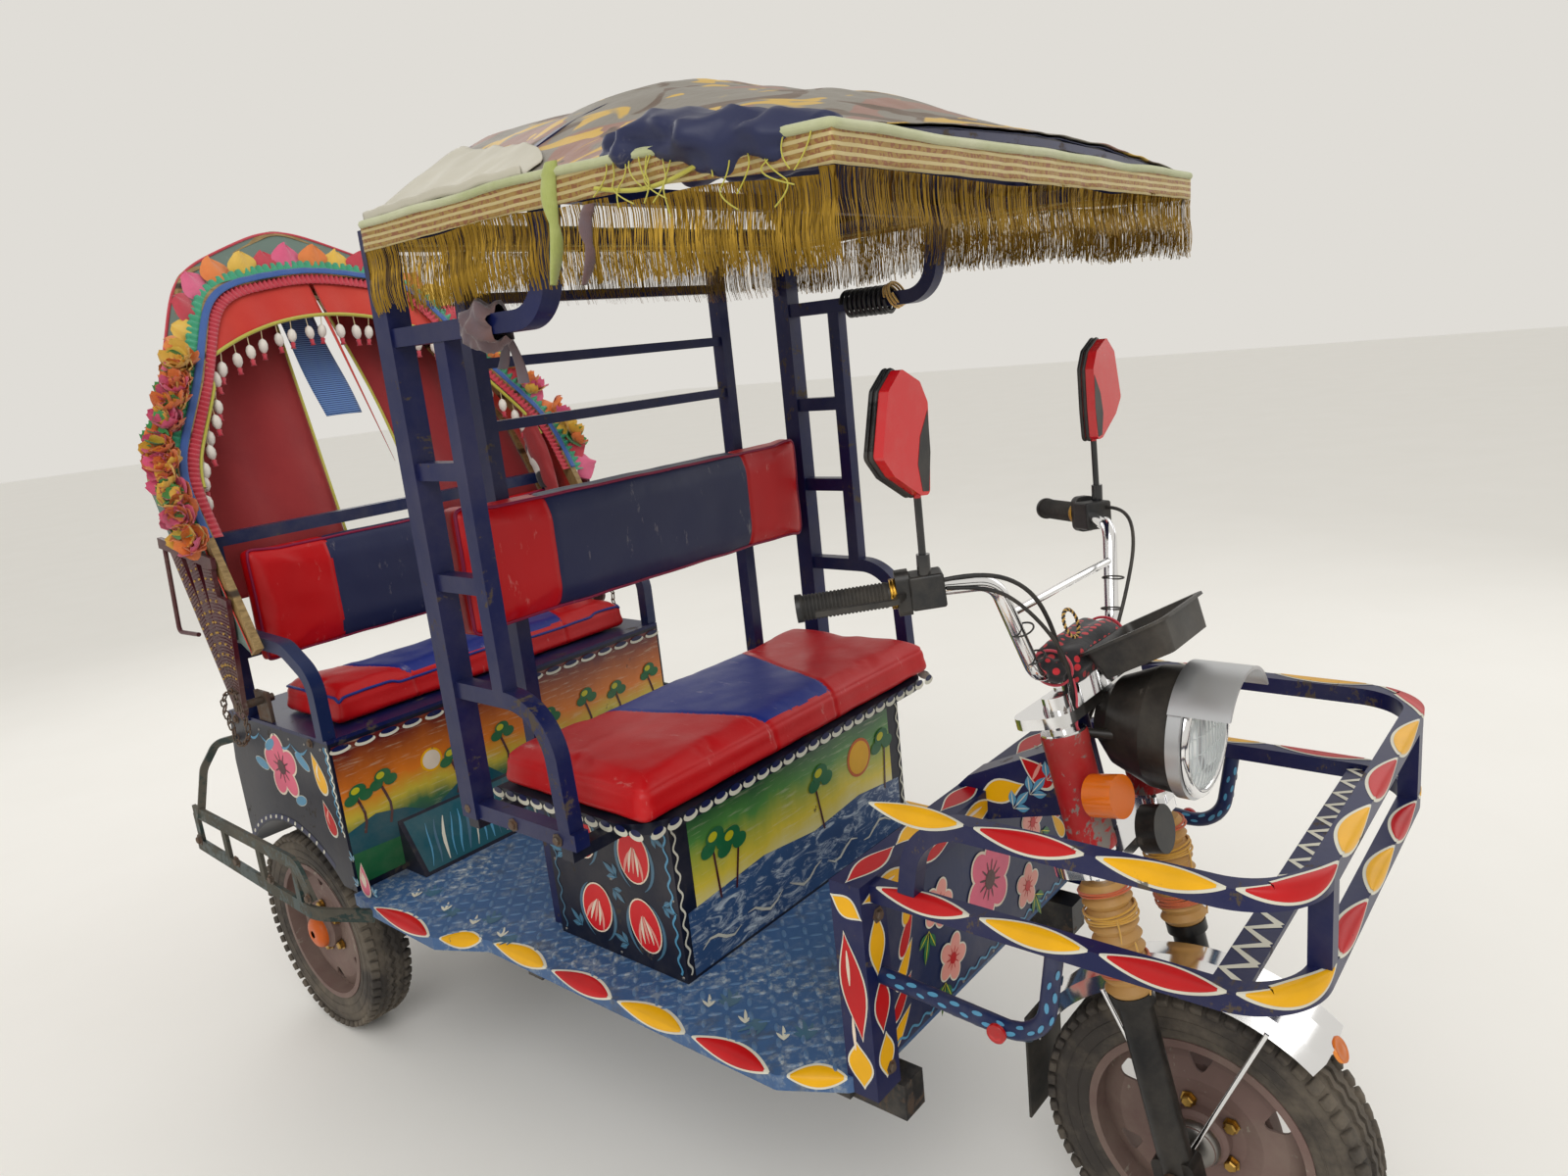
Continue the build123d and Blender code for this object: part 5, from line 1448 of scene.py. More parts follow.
    def bumps(self, places: Iterable[float], v: float, white: Pair, navy: Pair, rise: float) -> "Mural":
        """Add a row of white bumps with navy middles.

        Args:
            places: Where each stands.
            v: Height of the row.
            white: Half widths of a bump.
            navy: Half widths of its middle.
            rise: How much higher the middle stands.

        Returns:
            The mural.
        """
        for u in places:
            self.oval((u, v), *white, 0, Finish.WHITE)
            self.next()
            self.oval((u, v + rise), *navy, 0, Finish.NAVY)
            self.layer -= 1
        return self

    def build(self, name: str, body: str, slot: str) -> bpy.types.Object:
        """Turn the figures into one piece."""
        made = Shop.mesh(name, self.points, self.faces, self.finishes, self.slots, smooth=False)
        return Shop.keep(made, body, slot)


@dataclass(frozen=True)
class EdgeLenses:
    """Yellow and red lenses with pale outlines that wrap the edge between a side face and a top face."""

    line: tuple[Vector, ...]
    out: Callable[[Vector], Vector]
    length: float = 0.140
    below: float = 0.0205
    above: float = 0.0205
    first: int = 0

    def build(self, name: str) -> bpy.types.Object:
        """Paint the lenses along the edge.

        Args:
            name: Name of the mesh.

        Returns:
            The painted lenses, not yet kept.
        """
        points, faces, slots = [], [], []
        up = Vector((0, 0, 1))
        reach = sum((b - a).length for a, b in zip(self.line, self.line[1:]))
        count = max(1, round(reach / (self.length * 1.06)))
        dense = along_line(self.line, self.length / 30)
        step, last = reach / count, len(dense) - 1
        for number in range(count):
            middle = round((number + 0.5) * step / reach * last)
            colour = (number + self.first) % 2
            for reach_share, width_share, slot, layer in ((1.0, 1.0, 2, 1.0), (0.9, 0.82, colour, 2.0)):
                half = int(0.46 * step / reach * last * reach_share)
                base, lift = len(points), PAINT_LIFT * layer
                for k in range(-half, half + 1):
                    edge, _ = dense[min(max(middle + k, 0), last)]
                    face = self.out(edge)
                    wide = max(0.0, math.cos(math.pi * k / (2 * half + 1))) ** 0.85 * width_share
                    points += [edge + face * lift - up * self.below * wide, edge + (face + up) * lift,
                               edge + up * lift - face * self.above * wide]
                rows = [(base + 3 * k + j, slot) for k in range(2 * half) for j in (0, 1)]
                faces += [(row, row + 3, row + 4, row + 1) for row, _ in rows]
                slots += [slot for _, slot in rows]
        return Shop.mesh(name, points, faces, [Finish.RED, Finish.YELLOW, Finish.WHITE], slots)


@dataclass
class Wheels:
    """Tyres with their treads, and the nuts and caps of the wheels."""

    radius: float = 0.242
    shoulder_lugs: int = 58
    shoulder: Pair = (0.0375, 0.2308)
    stud_circle: float = 0.056
    casing: tuple[Pair, ...] = ((0.1595, 0.036), (0.168, 0.0385), (0.182, 0.0435), (0.200, 0.0458), (0.216, 0.0452),
                                (0.2275, 0.0415), (0.2340, 0.035), (0.2360, 0.022), (0.2365, 0.0))
    rib: tuple[Pair, ...] = ((-0.5, 0.2325), (-0.45, 0.2412), (0.45, 0.2412), (0.5, 0.2325))
    nut: tuple[Pair, ...] = ((0.0, 0.010), (0.0075, 0.010), (0.0098, 0.008), (0.0098, 0.0), (0.013, 0.0),
                             (0.013, -0.002))
    cap: tuple[Pair, ...] = ((0.009, 0.0595), (0.011, 0.0605), (0.022, 0.059), (0.032, 0.055), (0.036, 0.050),
                             (0.038, 0.044), (0.038, 0.030))
    places: tuple[tuple[str, str, float, float], ...] = (
        ("rear_tyre_right", "rear_roller_right", -0.413, 0.795),
        ("rear_tyre_left", "rear_roller_left", 0.413, 0.795),
        ("front_tyre", "front_roller", 0.0, -1.083))

    def carcass(self) -> bpy.types.Object:
        """The casing about the origin."""
        profile = list(self.casing) + [(r, -x) for r, x in self.casing[-2::-1]]
        made = Shop.lathe("casing", profile, Finish.TYRE, frame_of((0, 0, 0), (1, 0, 0), (0, 0, 1)), 72)
        made.data.flip_normals()
        return made

    def lugs(self) -> bpy.types.Object:
        """Blocks on both shoulders of the tread."""
        lug = Shop.block("lug", (-0.0110, -0.0088, -0.004), (0.0085, 0.0088, 0.0085), Finish.TYRE, 0.0025)
        spots = []
        for side in SIDES:
            for k in range(self.shoulder_lugs):
                way = polar((0, 0), 1.0, 2 * math.pi * (k + 0.25 * side) / self.shoulder_lugs)
                place = Vector((side * self.shoulder[0], self.shoulder[1] * way[0], self.shoulder[1] * way[1]))
                spots.append(frame_of(place, (0.34 * side, *way)))
        return NodeKit.repeat("lugs", lug, spots, Finish.TYRE, 0.03, 0.03, 7)

    def groove_rib(self, middle: float) -> bpy.types.Object:
        """A zigzag rib round the tread.

        Args:
            middle: Its distance from the tyre's middle.

        Returns:
            The rib.
        """
        def place(u: float, v: float) -> Vector:
            """Point of the rib's skin.

            Args:
                u: Share of the way round or across.
                v: Share of the way along.

            Returns:
                The point.
            """
            across, radius = self.rib[round(v * 3)]
            step = abs((u * self.shoulder_lugs * 2) % 2 - 1) * 2 - 1
            return Vector((middle + 0.0035 * step + across * 0.011, *polar((0, 0), radius, 2 * math.pi * u)))

        return Shop.shade(Shop.grid("rib", place, self.shoulder_lugs * 4, 3, Finish.TYRE, wrap=True), False)

    def sidewall_rings(self) -> list[bpy.types.Object]:
        """Thin raised rings moulded in both sidewalls."""
        return [Shop.tube("ring", [(side * x, y, z) for y, z in round_points(radius, radius, 72)], 0.0011,
                          Finish.TYRE, closed=True, sides=1)
                for side in SIDES for radius, x in ((0.186, 0.0442), (0.206, 0.0456))]

    def nuts(self, name: str, side: int) -> bpy.types.Object:
        """Hexagon nuts with washers on the wheel's studs, about the origin.

        Args:
            name: The piece's name.
            side: The face that they stand on, -1 or 1.

        Returns:
            The nuts.
        """
        nut = Shop.lathe("nut", self.nut, Finish.BRASS, segments=6, smooth=False)
        spots = [frame_of((side * 0.0185, y, z), (side, 0, 0), (0, 0, 1))
                 for y, z in round_points(self.stud_circle, self.stud_circle, 5)]
        return NodeKit.repeat(name, nut, spots, Finish.BRASS, 0.5)

    def build(self) -> None:
        """Dress the three wheels."""
        parts = [self.carcass(), self.lugs(), self.groove_rib(0.0095), self.groove_rib(-0.0095)]
        whole = Shop.join("tyre_pattern", [*parts, *self.sidewall_rings()])
        for node, body, x, y in self.places:
            tyre = whole.copy()
            tyre.data = whole.data.copy()
            tyre.name = node + "_tread"
            hub = Matrix.Translation(at(x, y, self.radius))
            tyre.data.transform(hub @ Matrix.Rotation(0.3 * x + 0.1, 4, "X"))
            Shop.keep(place_in_scene(tyre), body, "tyre_rubber", node)
            side = 1 if x > 0 else -1
            outward = frame_of((0, 0, 0), (side, 0, 0), (0, 0, 1))
            cap_finish = Finish.ORANGE if x else Finish.STEEL
            for made in (self.nuts(node + "_nuts", side),
                         Shop.lathe(node + "_cap", self.cap, cap_finish, outward, 32)):
                made.data.transform(hub)
                Shop.keep(made, body, "axle_steel")
        bpy.data.objects.remove(whole)


@dataclass
class Deck:
    """Raised lugs and painted figures of the floor and what stands on it."""

    top: float = FLOOR_Z
    outline: tuple[Pair, ...] = ((0.480, 0.525), (0.488, 0.445), (0.492, 0.211), (0.439, 0.105), (0.439, -0.608),
                                 (0.382, -0.711), (0.342, -0.717))
    pitch: float = 0.027

    def inside(self, x: float, y: float) -> bool:
        """Whether a place is on the open floor.

        Args:
            x: Place across.
            y: Place along.

        Returns:
            True where the floor is open.
        """
        line = self.outline
        for (x0, y0), (x1, y1) in zip(line, line[1:]):
            if y1 <= y <= y0:
                limit = x0 + (x1 - x0) * (y0 - y) / max(y0 - y1, 1e-6)
                box = abs(x) < 0.350 and -0.345 < y < 0.01
                return abs(x) < limit - 0.012 and not box and y < 0.43
        return False

    def lugs(self) -> bpy.types.Object:
        """Lens-shaped lugs laid to and fro over the floor."""
        ring = [(x, y, 0.0) for x, y in round_points(0.0125, 0.0042, 12)]
        top = [(x * 0.7, y * 0.6, 0.0013) for x, y, _ in ring]
        faces = [(k, (k + 1) % 12, 12 + (k + 1) % 12, 12 + k) for k in range(12)] + [tuple(range(12, 24))]
        item = Shop.mesh("lug", ring + top, faces, [Finish.LUG])
        spots = [Matrix.Translation(at(i * self.pitch, j * self.pitch, self.top + 0.0001))
                 @ Matrix.Rotation(math.pi / 4 if (i + j) % 2 else -math.pi / 4, 4, "Z")
                 for j in range(-27, 18) for i in range(-18, 19) if self.inside(i * self.pitch, j * self.pitch)]
        return NodeKit.repeat("floor_lugs", item, spots, Finish.LUG, 0.05, 0.12, 3)

    def flange(self) -> None:
        """Yellow and red lenses with pale outlines along the floor's edge."""
        runs = ((self.outline[4], (0.439, 0.100)), ((0.443, 0.112), (0.489, 0.205)),
                (self.outline[2], self.outline[1]), ((0.384, -0.708), (0.437, -0.612)))
        for side, tag in zip(SIDES, ("left", "right")):
            parts = []
            for index, ((x0, y0), (x1, y1)) in enumerate(runs):
                low, high = at(side * x0, y0, self.top), at(side * x1, y1, self.top)
                way = (high - low).normalized()
                out = Vector((way.y * side, -way.x * side, 0))
                line = tuple(low.lerp(high, t / 30) + out * 0.0004 for t in range(31))
                lenses = EdgeLenses(line, lambda _, out=out: out, 0.150, 0.021, 0.030, index)
                parts.append(lenses.build("edge_lenses"))
            Shop.keep(Shop.join(f"floor_edge_{tag}", parts), "chassis", "floor_paint")

    def brush_fans(self) -> None:
        """Pale blue brush fans on the floor near its edges."""
        mural = Mural(at(0, 0, self.top + 0.0004), (1, 0, 0), (0, 1, 0))
        for side in SIDES:
            for k, y in enumerate((-0.60, -0.52, -0.44, 0.06, 0.15, 0.25, 0.36)):
                x = 0.35 if y < 0.0 else 0.40
                mural.fan((side * x, y), math.pi / 2 + side * 0.9 * (-1) ** k, 0.05, Finish.SLATE, 5, 1.4)
                mural.fan((side * (x + 0.02), y + 0.03), -0.6 * side, 0.035, Finish.WHITE, 3, 1.0)
        mural.build("floor_brushwork", "chassis", "floor_paint")

    def build(self) -> None:
        """Dress the floor."""
        Shop.keep(self.lugs(), "chassis", "floor_paint")
        self.flange()
        self.brush_fans()


@dataclass
class PaintedPanels:
    """Hand painting on the boxes, the front frame and the basket."""

    box_x: float = 0.341
    box_y: float = -0.336
    housing_x: float = 0.472
    column_y: float = -0.752
    slat_top: float = 0.7262
    rear_half: float = 0.466
    box_half: float = 0.322
    rear_foot: float = 0.44
    rear_top: float = 0.752
    frame_lens: Pair = (0.115, 0.034)
    frame_middle_y: float = -0.726

    def box_side(self, side: int) -> None:
        """Flowers, leaves and a wavy line on one side of the front seat box.

        Args:
            side: 1 for the left side, -1 for the right one.
        """
        m = Mural.on_side(self.box_x, side)
        for y, z, lean in ((-0.095, 0.655, 1.2), (-0.238, 0.640, 1.7), (-0.118, 0.510, 1.9), (-0.245, 0.510, 1.4)):
            u = y * side
            m.layer = 1
            for sign in (-1, 1):
                arc = [(u + sign * 0.046 * math.cos(t / 6), z - 0.008 + 0.062 * math.sin(t / 6 * sign * 0.9))
                       for t in range(-7, 8)]
                m.stroke(arc, 0.008, Finish.SLATE)
            for push, turn, length in ((0.052, -1.1, 0.045), (-0.052, 1.9, 0.040)):
                m.spray((u + push * side, z - push), self.way(lean + turn, side), length, Finish.SLATE, Finish.SKY)
            m.layer = 3
            m.oval((u, z), 0.049, 0.037, self.way(lean, side), Finish.BRIGHT_RED, Finish.CREAM)
            m.layer = 5
            for j in range(-2, 3):
                line = [(0.032 - 0.013 * t + 0.002 * j * j, j * 0.0115 * (1 - 0.045 * t * t)) for t in range(5)]
                m.stroke(m.turned(line, (u, z), self.way(lean, side) + math.pi), 0.0065,
                         Finish.CREAM if j % 2 else Finish.ROSE)
        m.layer = 2
        m.wave((-self.box_half * side, 0.44), (-self.box_half * side, 0.72), 0.004, 8, 0.0045, Finish.SKY)
        m.wave((-0.015 * side, 0.44), (-0.015 * side, 0.72), 0.004, 8, 0.0035, Finish.SLATE)
        m.build(f"box_flowers_{side_name(side)}", "chassis", "board_paint")

    @staticmethod
    def way(angle: float, side: float) -> float:
        """An angle on the left side, mirrored for the right one."""
        return angle if side > 0 else math.pi - angle

    @staticmethod
    def crown(m: Mural, x: float, z: float, size: float) -> None:
        """Round leafy crown of a painted tree.

        Args:
            m: The mural.
            x: Its place across.
            z: Its height.
            size: Its scale.
        """
        for dx, dz, radius, finish in ((-0.017, -0.006, 0.016, Finish.GREEN), (0.017, -0.004, 0.016, Finish.GREEN),
                                       (0.0, 0.010, 0.020, Finish.GREEN), (-0.005, 0.012, 0.010, Finish.LIME)):
            m.oval((x + dx * size, z + dz * size), radius * size, 0.72 * radius * size, 0.2, finish)
            m.next()
        m.layer -= 4

    def box_front(self) -> None:
        """A view of water, plants and a low sun on the front of the front seat box."""
        m = Mural(at(0, self.box_y, 0))
        m.shape([(-0.30, 0.515), (0.30, 0.515), (0.30, 0.715), (-0.30, 0.715)], Finish.GLOW, 1)
        wide = self.box_half
        m.shape([(-wide, 0.432), (wide, 0.432), (wide, 0.545), (0.18, 0.562), (0.03, 0.548), (-0.12, 0.566),
                 (-wide, 0.55)], Finish.WATER, 2)
        m.layer = 3
        m.oval((0.19, 0.64), 0.034, 0.034, 0, Finish.YELLOW, Finish.ORANGE, 0.006)
        for x, z, lean in ((-0.24, 0.60, 1.7), (-0.20, 0.585, 1.2), (0.06, 0.60, 1.9), (0.27, 0.60, 1.4)):
            m.layer = 5
            m.stroke([(x + 0.02 * math.cos(lean) * t, 0.54 + 0.035 * t) for t in range(4)], 0.005, Finish.MAROON,
                     False)
            self.crown(m, x, z + 0.045, 1.15)
        for k in range(5):
            m.stroke([(-0.30 + 0.12 * k + 0.02 * t, 0.47 + 0.012 * math.sin(t * 1.2 + k)) for t in range(6)], 0.006,
                     Finish.WHITE)
        m.layer = 4
        for x in (-0.333, 0.333):
            m.wave((x, 0.44), (x, 0.72), 0.004, 8, 0.004, Finish.WHITE)
        m.build("box_view", "chassis", "board_paint")

    def rear_box(self) -> None:
        """An evening view over hills on the front of the rear box."""
        m = Mural(at(0, 0.525, 0))
        wide = self.rear_half
        hills = [(-wide + 2 * wide * k / 14, 0.56 + 0.028 * math.sin(k * 1.7) + 0.012 * math.sin(k * 4.1))
                 for k in range(15)]
        foot, top = self.rear_foot, self.rear_top
        m.shape([(-wide, foot), (wide, foot), (wide, top), (-wide, top)], Finish.SUNSET, 1)
        m.shape([(-wide, 0.47), *hills, (wide, 0.47)], Finish.TEAL, 2)
        m.shape([(-wide, foot), (wide, foot), (wide, 0.50), (0.12, 0.515), (-0.1, 0.495), (-wide, 0.51)],
                Finish.GREEN, 3)
        m.layer = 2
        m.oval((-0.25, 0.645), 0.022, 0.022, 0, Finish.CREAM, Finish.YELLOW, 0.005)
        for k, x in enumerate((-0.43, -0.37, -0.2, -0.06, 0.08, 0.2, 0.3, 0.42)):
            m.layer = 4
            m.stroke([(x + 0.008 * math.sin(t), 0.545 + 0.022 * t) for t in range(5)], 0.006, Finish.MAROON, False)
            m.layer = 5
            self.crown(m, x, 0.632 + 0.012 * (k % 2), 1.0)
        m.layer = 6
        m.bumps((-0.448 + 0.056 * k for k in range(17)), 0.742, (0.024, 0.008), (0.019, 0.0058), 0.0042)
        m.build("rear_box_view", "chassis", "panel_paint")
        m = Mural(at(0, 0.445, 0.426), (1, 0, 0), (0, 0.080, 0.115))
        m.shape([(-0.345, 0.008), (0.345, 0.008), (0.345, 0.132), (-0.345, 0.132)], Finish.TEAL, 1)
        m.layer = 2
        for k in range(34):
            x = -0.33 + 0.0197 * k
            ends = [(x + 0.006 * t + 0.003 * math.sin(k + t), 0.015 + 0.019 * t) for t in range(6)]
            m.stroke(ends, 0.004 + 0.002 * (k % 3), (Finish.SKY, Finish.SLATE, Finish.WHITE, Finish.SKY)[k % 4])
        m.build("slope_brushwork", "chassis", "panel_paint")

    def housing(self, side: int) -> None:
        """Flower, drops and swooshes on one wheel housing.

        Args:
            side: 1 for the left side, -1 for the right one.
        """
        m = Mural.on_side(self.housing_x, side)
        m.flower((0.762 * side, 0.668), 0.074, Finish.PINK, Finish.CREAM, Finish.MAROON, 5, 0.4)
        m.layer = 1
        for y, z, a, b, lean in ((0.655, 0.70, 0.03, 0.012, 0.5), (0.80, 0.715, 0.028, 0.011, -0.5),
                                 (0.70, 0.60, 0.026, 0.011, -0.3), (0.86, 0.66, 0.03, 0.012, 0.2)):
            m.oval((y * side, z), a, b, lean * side, Finish.SKY, Finish.WHITE, 0.0015)
        lean = 1.9 if side < 0 else 1.24
        m.drop((0.590 * side, 0.685), 0.090, 0.056, lean, Finish.YELLOW, Finish.WHITE)
        m.drop((0.583 * side, 0.583), 0.076, 0.050, lean, Finish.RED, Finish.WHITE)
        m.layer = 3
        for y, z, rise, finish in ((0.583, 0.570, 0.009, Finish.ROSE), (0.590, 0.668, 0.010, Finish.CREAM)):
            m.stroke([((y + 0.006 * math.sin(t)) * side, z + rise * t) for t in range(5)], 0.008, finish)
        m.layer = 1
        m.drop((0.483 * side, 0.466), 0.070, 0.048, math.pi / 2, Finish.PINK, Finish.CREAM)
        m.layer = 3
        m.fan((0.483 * side, 0.448), math.pi / 2, 0.042, Finish.CREAM, 5, 0.8)
        m.layer = 1
        for y, z, lean in ((0.455, 0.440, 2.4), (0.512, 0.445, 0.7), (0.514, 0.500, 1.2)):
            m.spray((y * side, z), self.way(lean, side), 0.030, Finish.SKY, Finish.WHITE)
        for y in (0.62 + 0.075 * k for k in range(4)):
            m.stroke([((y + 0.012 * t) * side, 0.735 - 0.018 * math.sin(0.5 * t)) for t in range(7)], 0.006,
                     Finish.SKY)
        m.wave((0.533 * side, 0.552), (0.533 * side, self.rear_top), 0.0035, 9, 0.005, Finish.WHITE)
        m.wave((0.541 * side, 0.562), (0.541 * side, self.rear_top), 0.004, 8, 0.004, Finish.SKY)
        arch = [((0.795 + 0.293 * math.cos(t)) * side, 0.242 + 0.293 * math.sin(t))
                for t in np.linspace(0.75, 2.28, 30)]
        m.stroke(arch, 0.013, Finish.NAVY, False)
        m.next()
        for spot in arch[2:28:2]:
            m.oval(spot, 0.007, 0.0035, 0.8, Finish.WHITE)
        m.build(f"housing_flowers_{side_name(side)}", "chassis", "panel_paint")

    def seat_lips(self) -> None:
        """A white bumpy wave along the seat boards' edges."""
        size = (-0.001, (0.0165, 0.0088), (0.0118, 0.0058), 0.005)
        m = Mural(at(0, -0.3795, 0.745))
        m.bumps((-0.40 + 0.0364 * k for k in range(23)), *size)
        m.build("seat_lip_front", "chassis", "board_paint")
        for side in SIDES:
            m = Mural.on_side(0.424, side, 0.745)
            m.bumps(((-0.355 + 0.036 * k) * side for k in range(11)), *size)
            m.build(f"seat_lip_{side_name(side)}", "chassis", "board_paint")

    def front_frame(self) -> None:
        """Leaves and lenses on the columns and the beam over the front panel."""
        m = Mural(at(0, self.column_y, 0))
        upright = math.pi / 2
        for side in SIDES:
            for z, length, finish in ((0.640, 0.092, Finish.YELLOW), (0.545, 0.085, Finish.RED),
                                      (0.462, 0.065, Finish.YELLOW)):
                m.leaf((side * 0.351, z), length, 0.034, upright + 0.08 * side, finish, Finish.WHITE)
        lenses = [-0.315 + 0.126 * k for k in range(6)]
        for k, x in enumerate(lenses):
            m.leaf((x, 0.715), *self.frame_lens, 0, Finish.RED if k % 2 else Finish.YELLOW, Finish.WHITE)
        m.layer = 3
        for x in lenses:
            m.stroke([(x - 0.030 + 0.012 * t, 0.720) for t in range(5)], 0.006, Finish.CREAM)
        m.build("column_lenses", "chassis", "frame_paint")
        m = Mural(at(0, 0, 0.740), (1, 0, 0), (0, 1, 0))
        for k, x in enumerate(lenses):
            m.leaf((x, self.frame_middle_y), *self.frame_lens, 0, Finish.YELLOW if k % 2 else Finish.RED,
                   Finish.WHITE)
        m.build("beam_lenses", "chassis", "frame_paint")
        for side in SIDES:
            m = Mural.on_side(0.380, side)
            middle = self.frame_middle_y * side
            m.leaf((middle, 0.705), 0.050, 0.030, 0.5 * side, Finish.YELLOW, Finish.WHITE)
            for z, length, finish in ((0.580, 0.165, Finish.RED), (0.452, 0.068, Finish.YELLOW)):
                m.leaf((middle, z), length, 0.040, upright - 0.1 * side, finish, Finish.WHITE)
            m.layer = 3
            for z in (0.58, 0.475):
                m.stroke([(-0.720 * side, z + 0.014 * t) for t in range(5)], 0.006, Finish.CREAM)
            m.build(f"column_side_{side_name(side)}", "chassis", "frame_paint")
            m = Mural.on_side(0.026, side)
            m.drop((-0.842 * side, 0.790), 0.060, 0.044, 0.6 if side > 0 else 2.5, Finish.RED, Finish.WHITE)
            m.leaf((-0.778 * side, 0.745), 0.085, 0.036, -0.45 * side, Finish.YELLOW, Finish.WHITE)
            m.layer = 3
            m.stroke([((-0.835 - 0.004 * t) * side, 0.775 + 0.008 * t) for t in range(5)], 0.006, Finish.ROSE)
            m.layer = 1
            for k in range(3):
                spot = ((-0.80 - 0.03 * k) * side, 0.72 + 0.03 * k)
                m.spray(spot, 2.2 if side > 0 else 0.9, 0.05, Finish.SKY, Finish.WHITE)
            m.build(f"neck_leaves_{side_name(side)}", "chassis", "frame_paint")

    def front_panel(self) -> None:
        """Flowers between sweeping petals on the front panel."""
        m = Mural(at(0, -0.732, 0))
        for side in SIDES:
            for k in range(5):
                lean = math.pi / 2 + side * (0.9 - 0.12 * k)
                m.drop((side * (0.285 - 0.012 * k), 0.455 + 0.048 * k), 0.075, 0.030, lean,
                       Finish.RED if k % 2 else Finish.YELLOW, Finish.WHITE, 0.003)
        m.layer = 4
        m.flower((0.0, 0.565), 0.070, Finish.PINK, Finish.CREAM, Finish.MAROON, 6, 0.2)
        for x, z in ((-0.16, 0.60), (0.16, 0.60), (-0.13, 0.49), (0.13, 0.49)):
            m.layer = 4
            m.flower((x, z), 0.040, Finish.ROSE, Finish.WHITE, Finish.RED, 5, x)
            m.layer = 3
            m.spray((x * 1.2, z - 0.03), -1.2 if x > 0 else -1.9, 0.06, Finish.GREEN, Finish.LIME)
        m.layer = 2
        for z in (0.437, 0.680):
            m.wave((-0.315, z), (0.315, z), 0.004, 18, 0.004, Finish.SKY)
        m.build("front_flowers", "chassis", "panel_paint")
        m = Mural(at(0, 0, self.slat_top), (1, 0, 0), (0, 1, 0))
        for x in (-0.325 + 0.048 * k for k in range(14)):
            m.stroke([(x, -1.238), (x + 0.024, -1.206), (x + 0.048, -1.238)], 0.010, Finish.WHITE, False)
        m.build("basket_slat_zigzag", "chassis", "frame_paint")

    def build(self) -> None:
        """Paint every panel."""
        for side in SIDES:
            self.box_side(side)
            self.housing(side)
        self.box_front()
        self.rear_box()
        self.seat_lips()
        self.front_frame()
        self.front_panel()


def blend(stops: Sequence[tuple[float, ...]], where: float) -> list[float]:
    """Smooth values between rows of stops, sorted by their first number.

    Args:
        stops: Rows of a place and the values there.
        where: The place asked for.

    Returns:
        The values at that place.
    """
    for row, after in zip(stops, stops[1:]):
        if row[0] <= where <= after[0]:
            share = (where - row[0]) / (after[0] - row[0])
            share = 0.55 * share + 0.45 * share * share * (3 - 2 * share)
            return [a + (b - a) * share for a, b in zip(row[1:], after[1:])]
    return list(stops[0][1:] if where < stops[0][0] else stops[-1][1:])


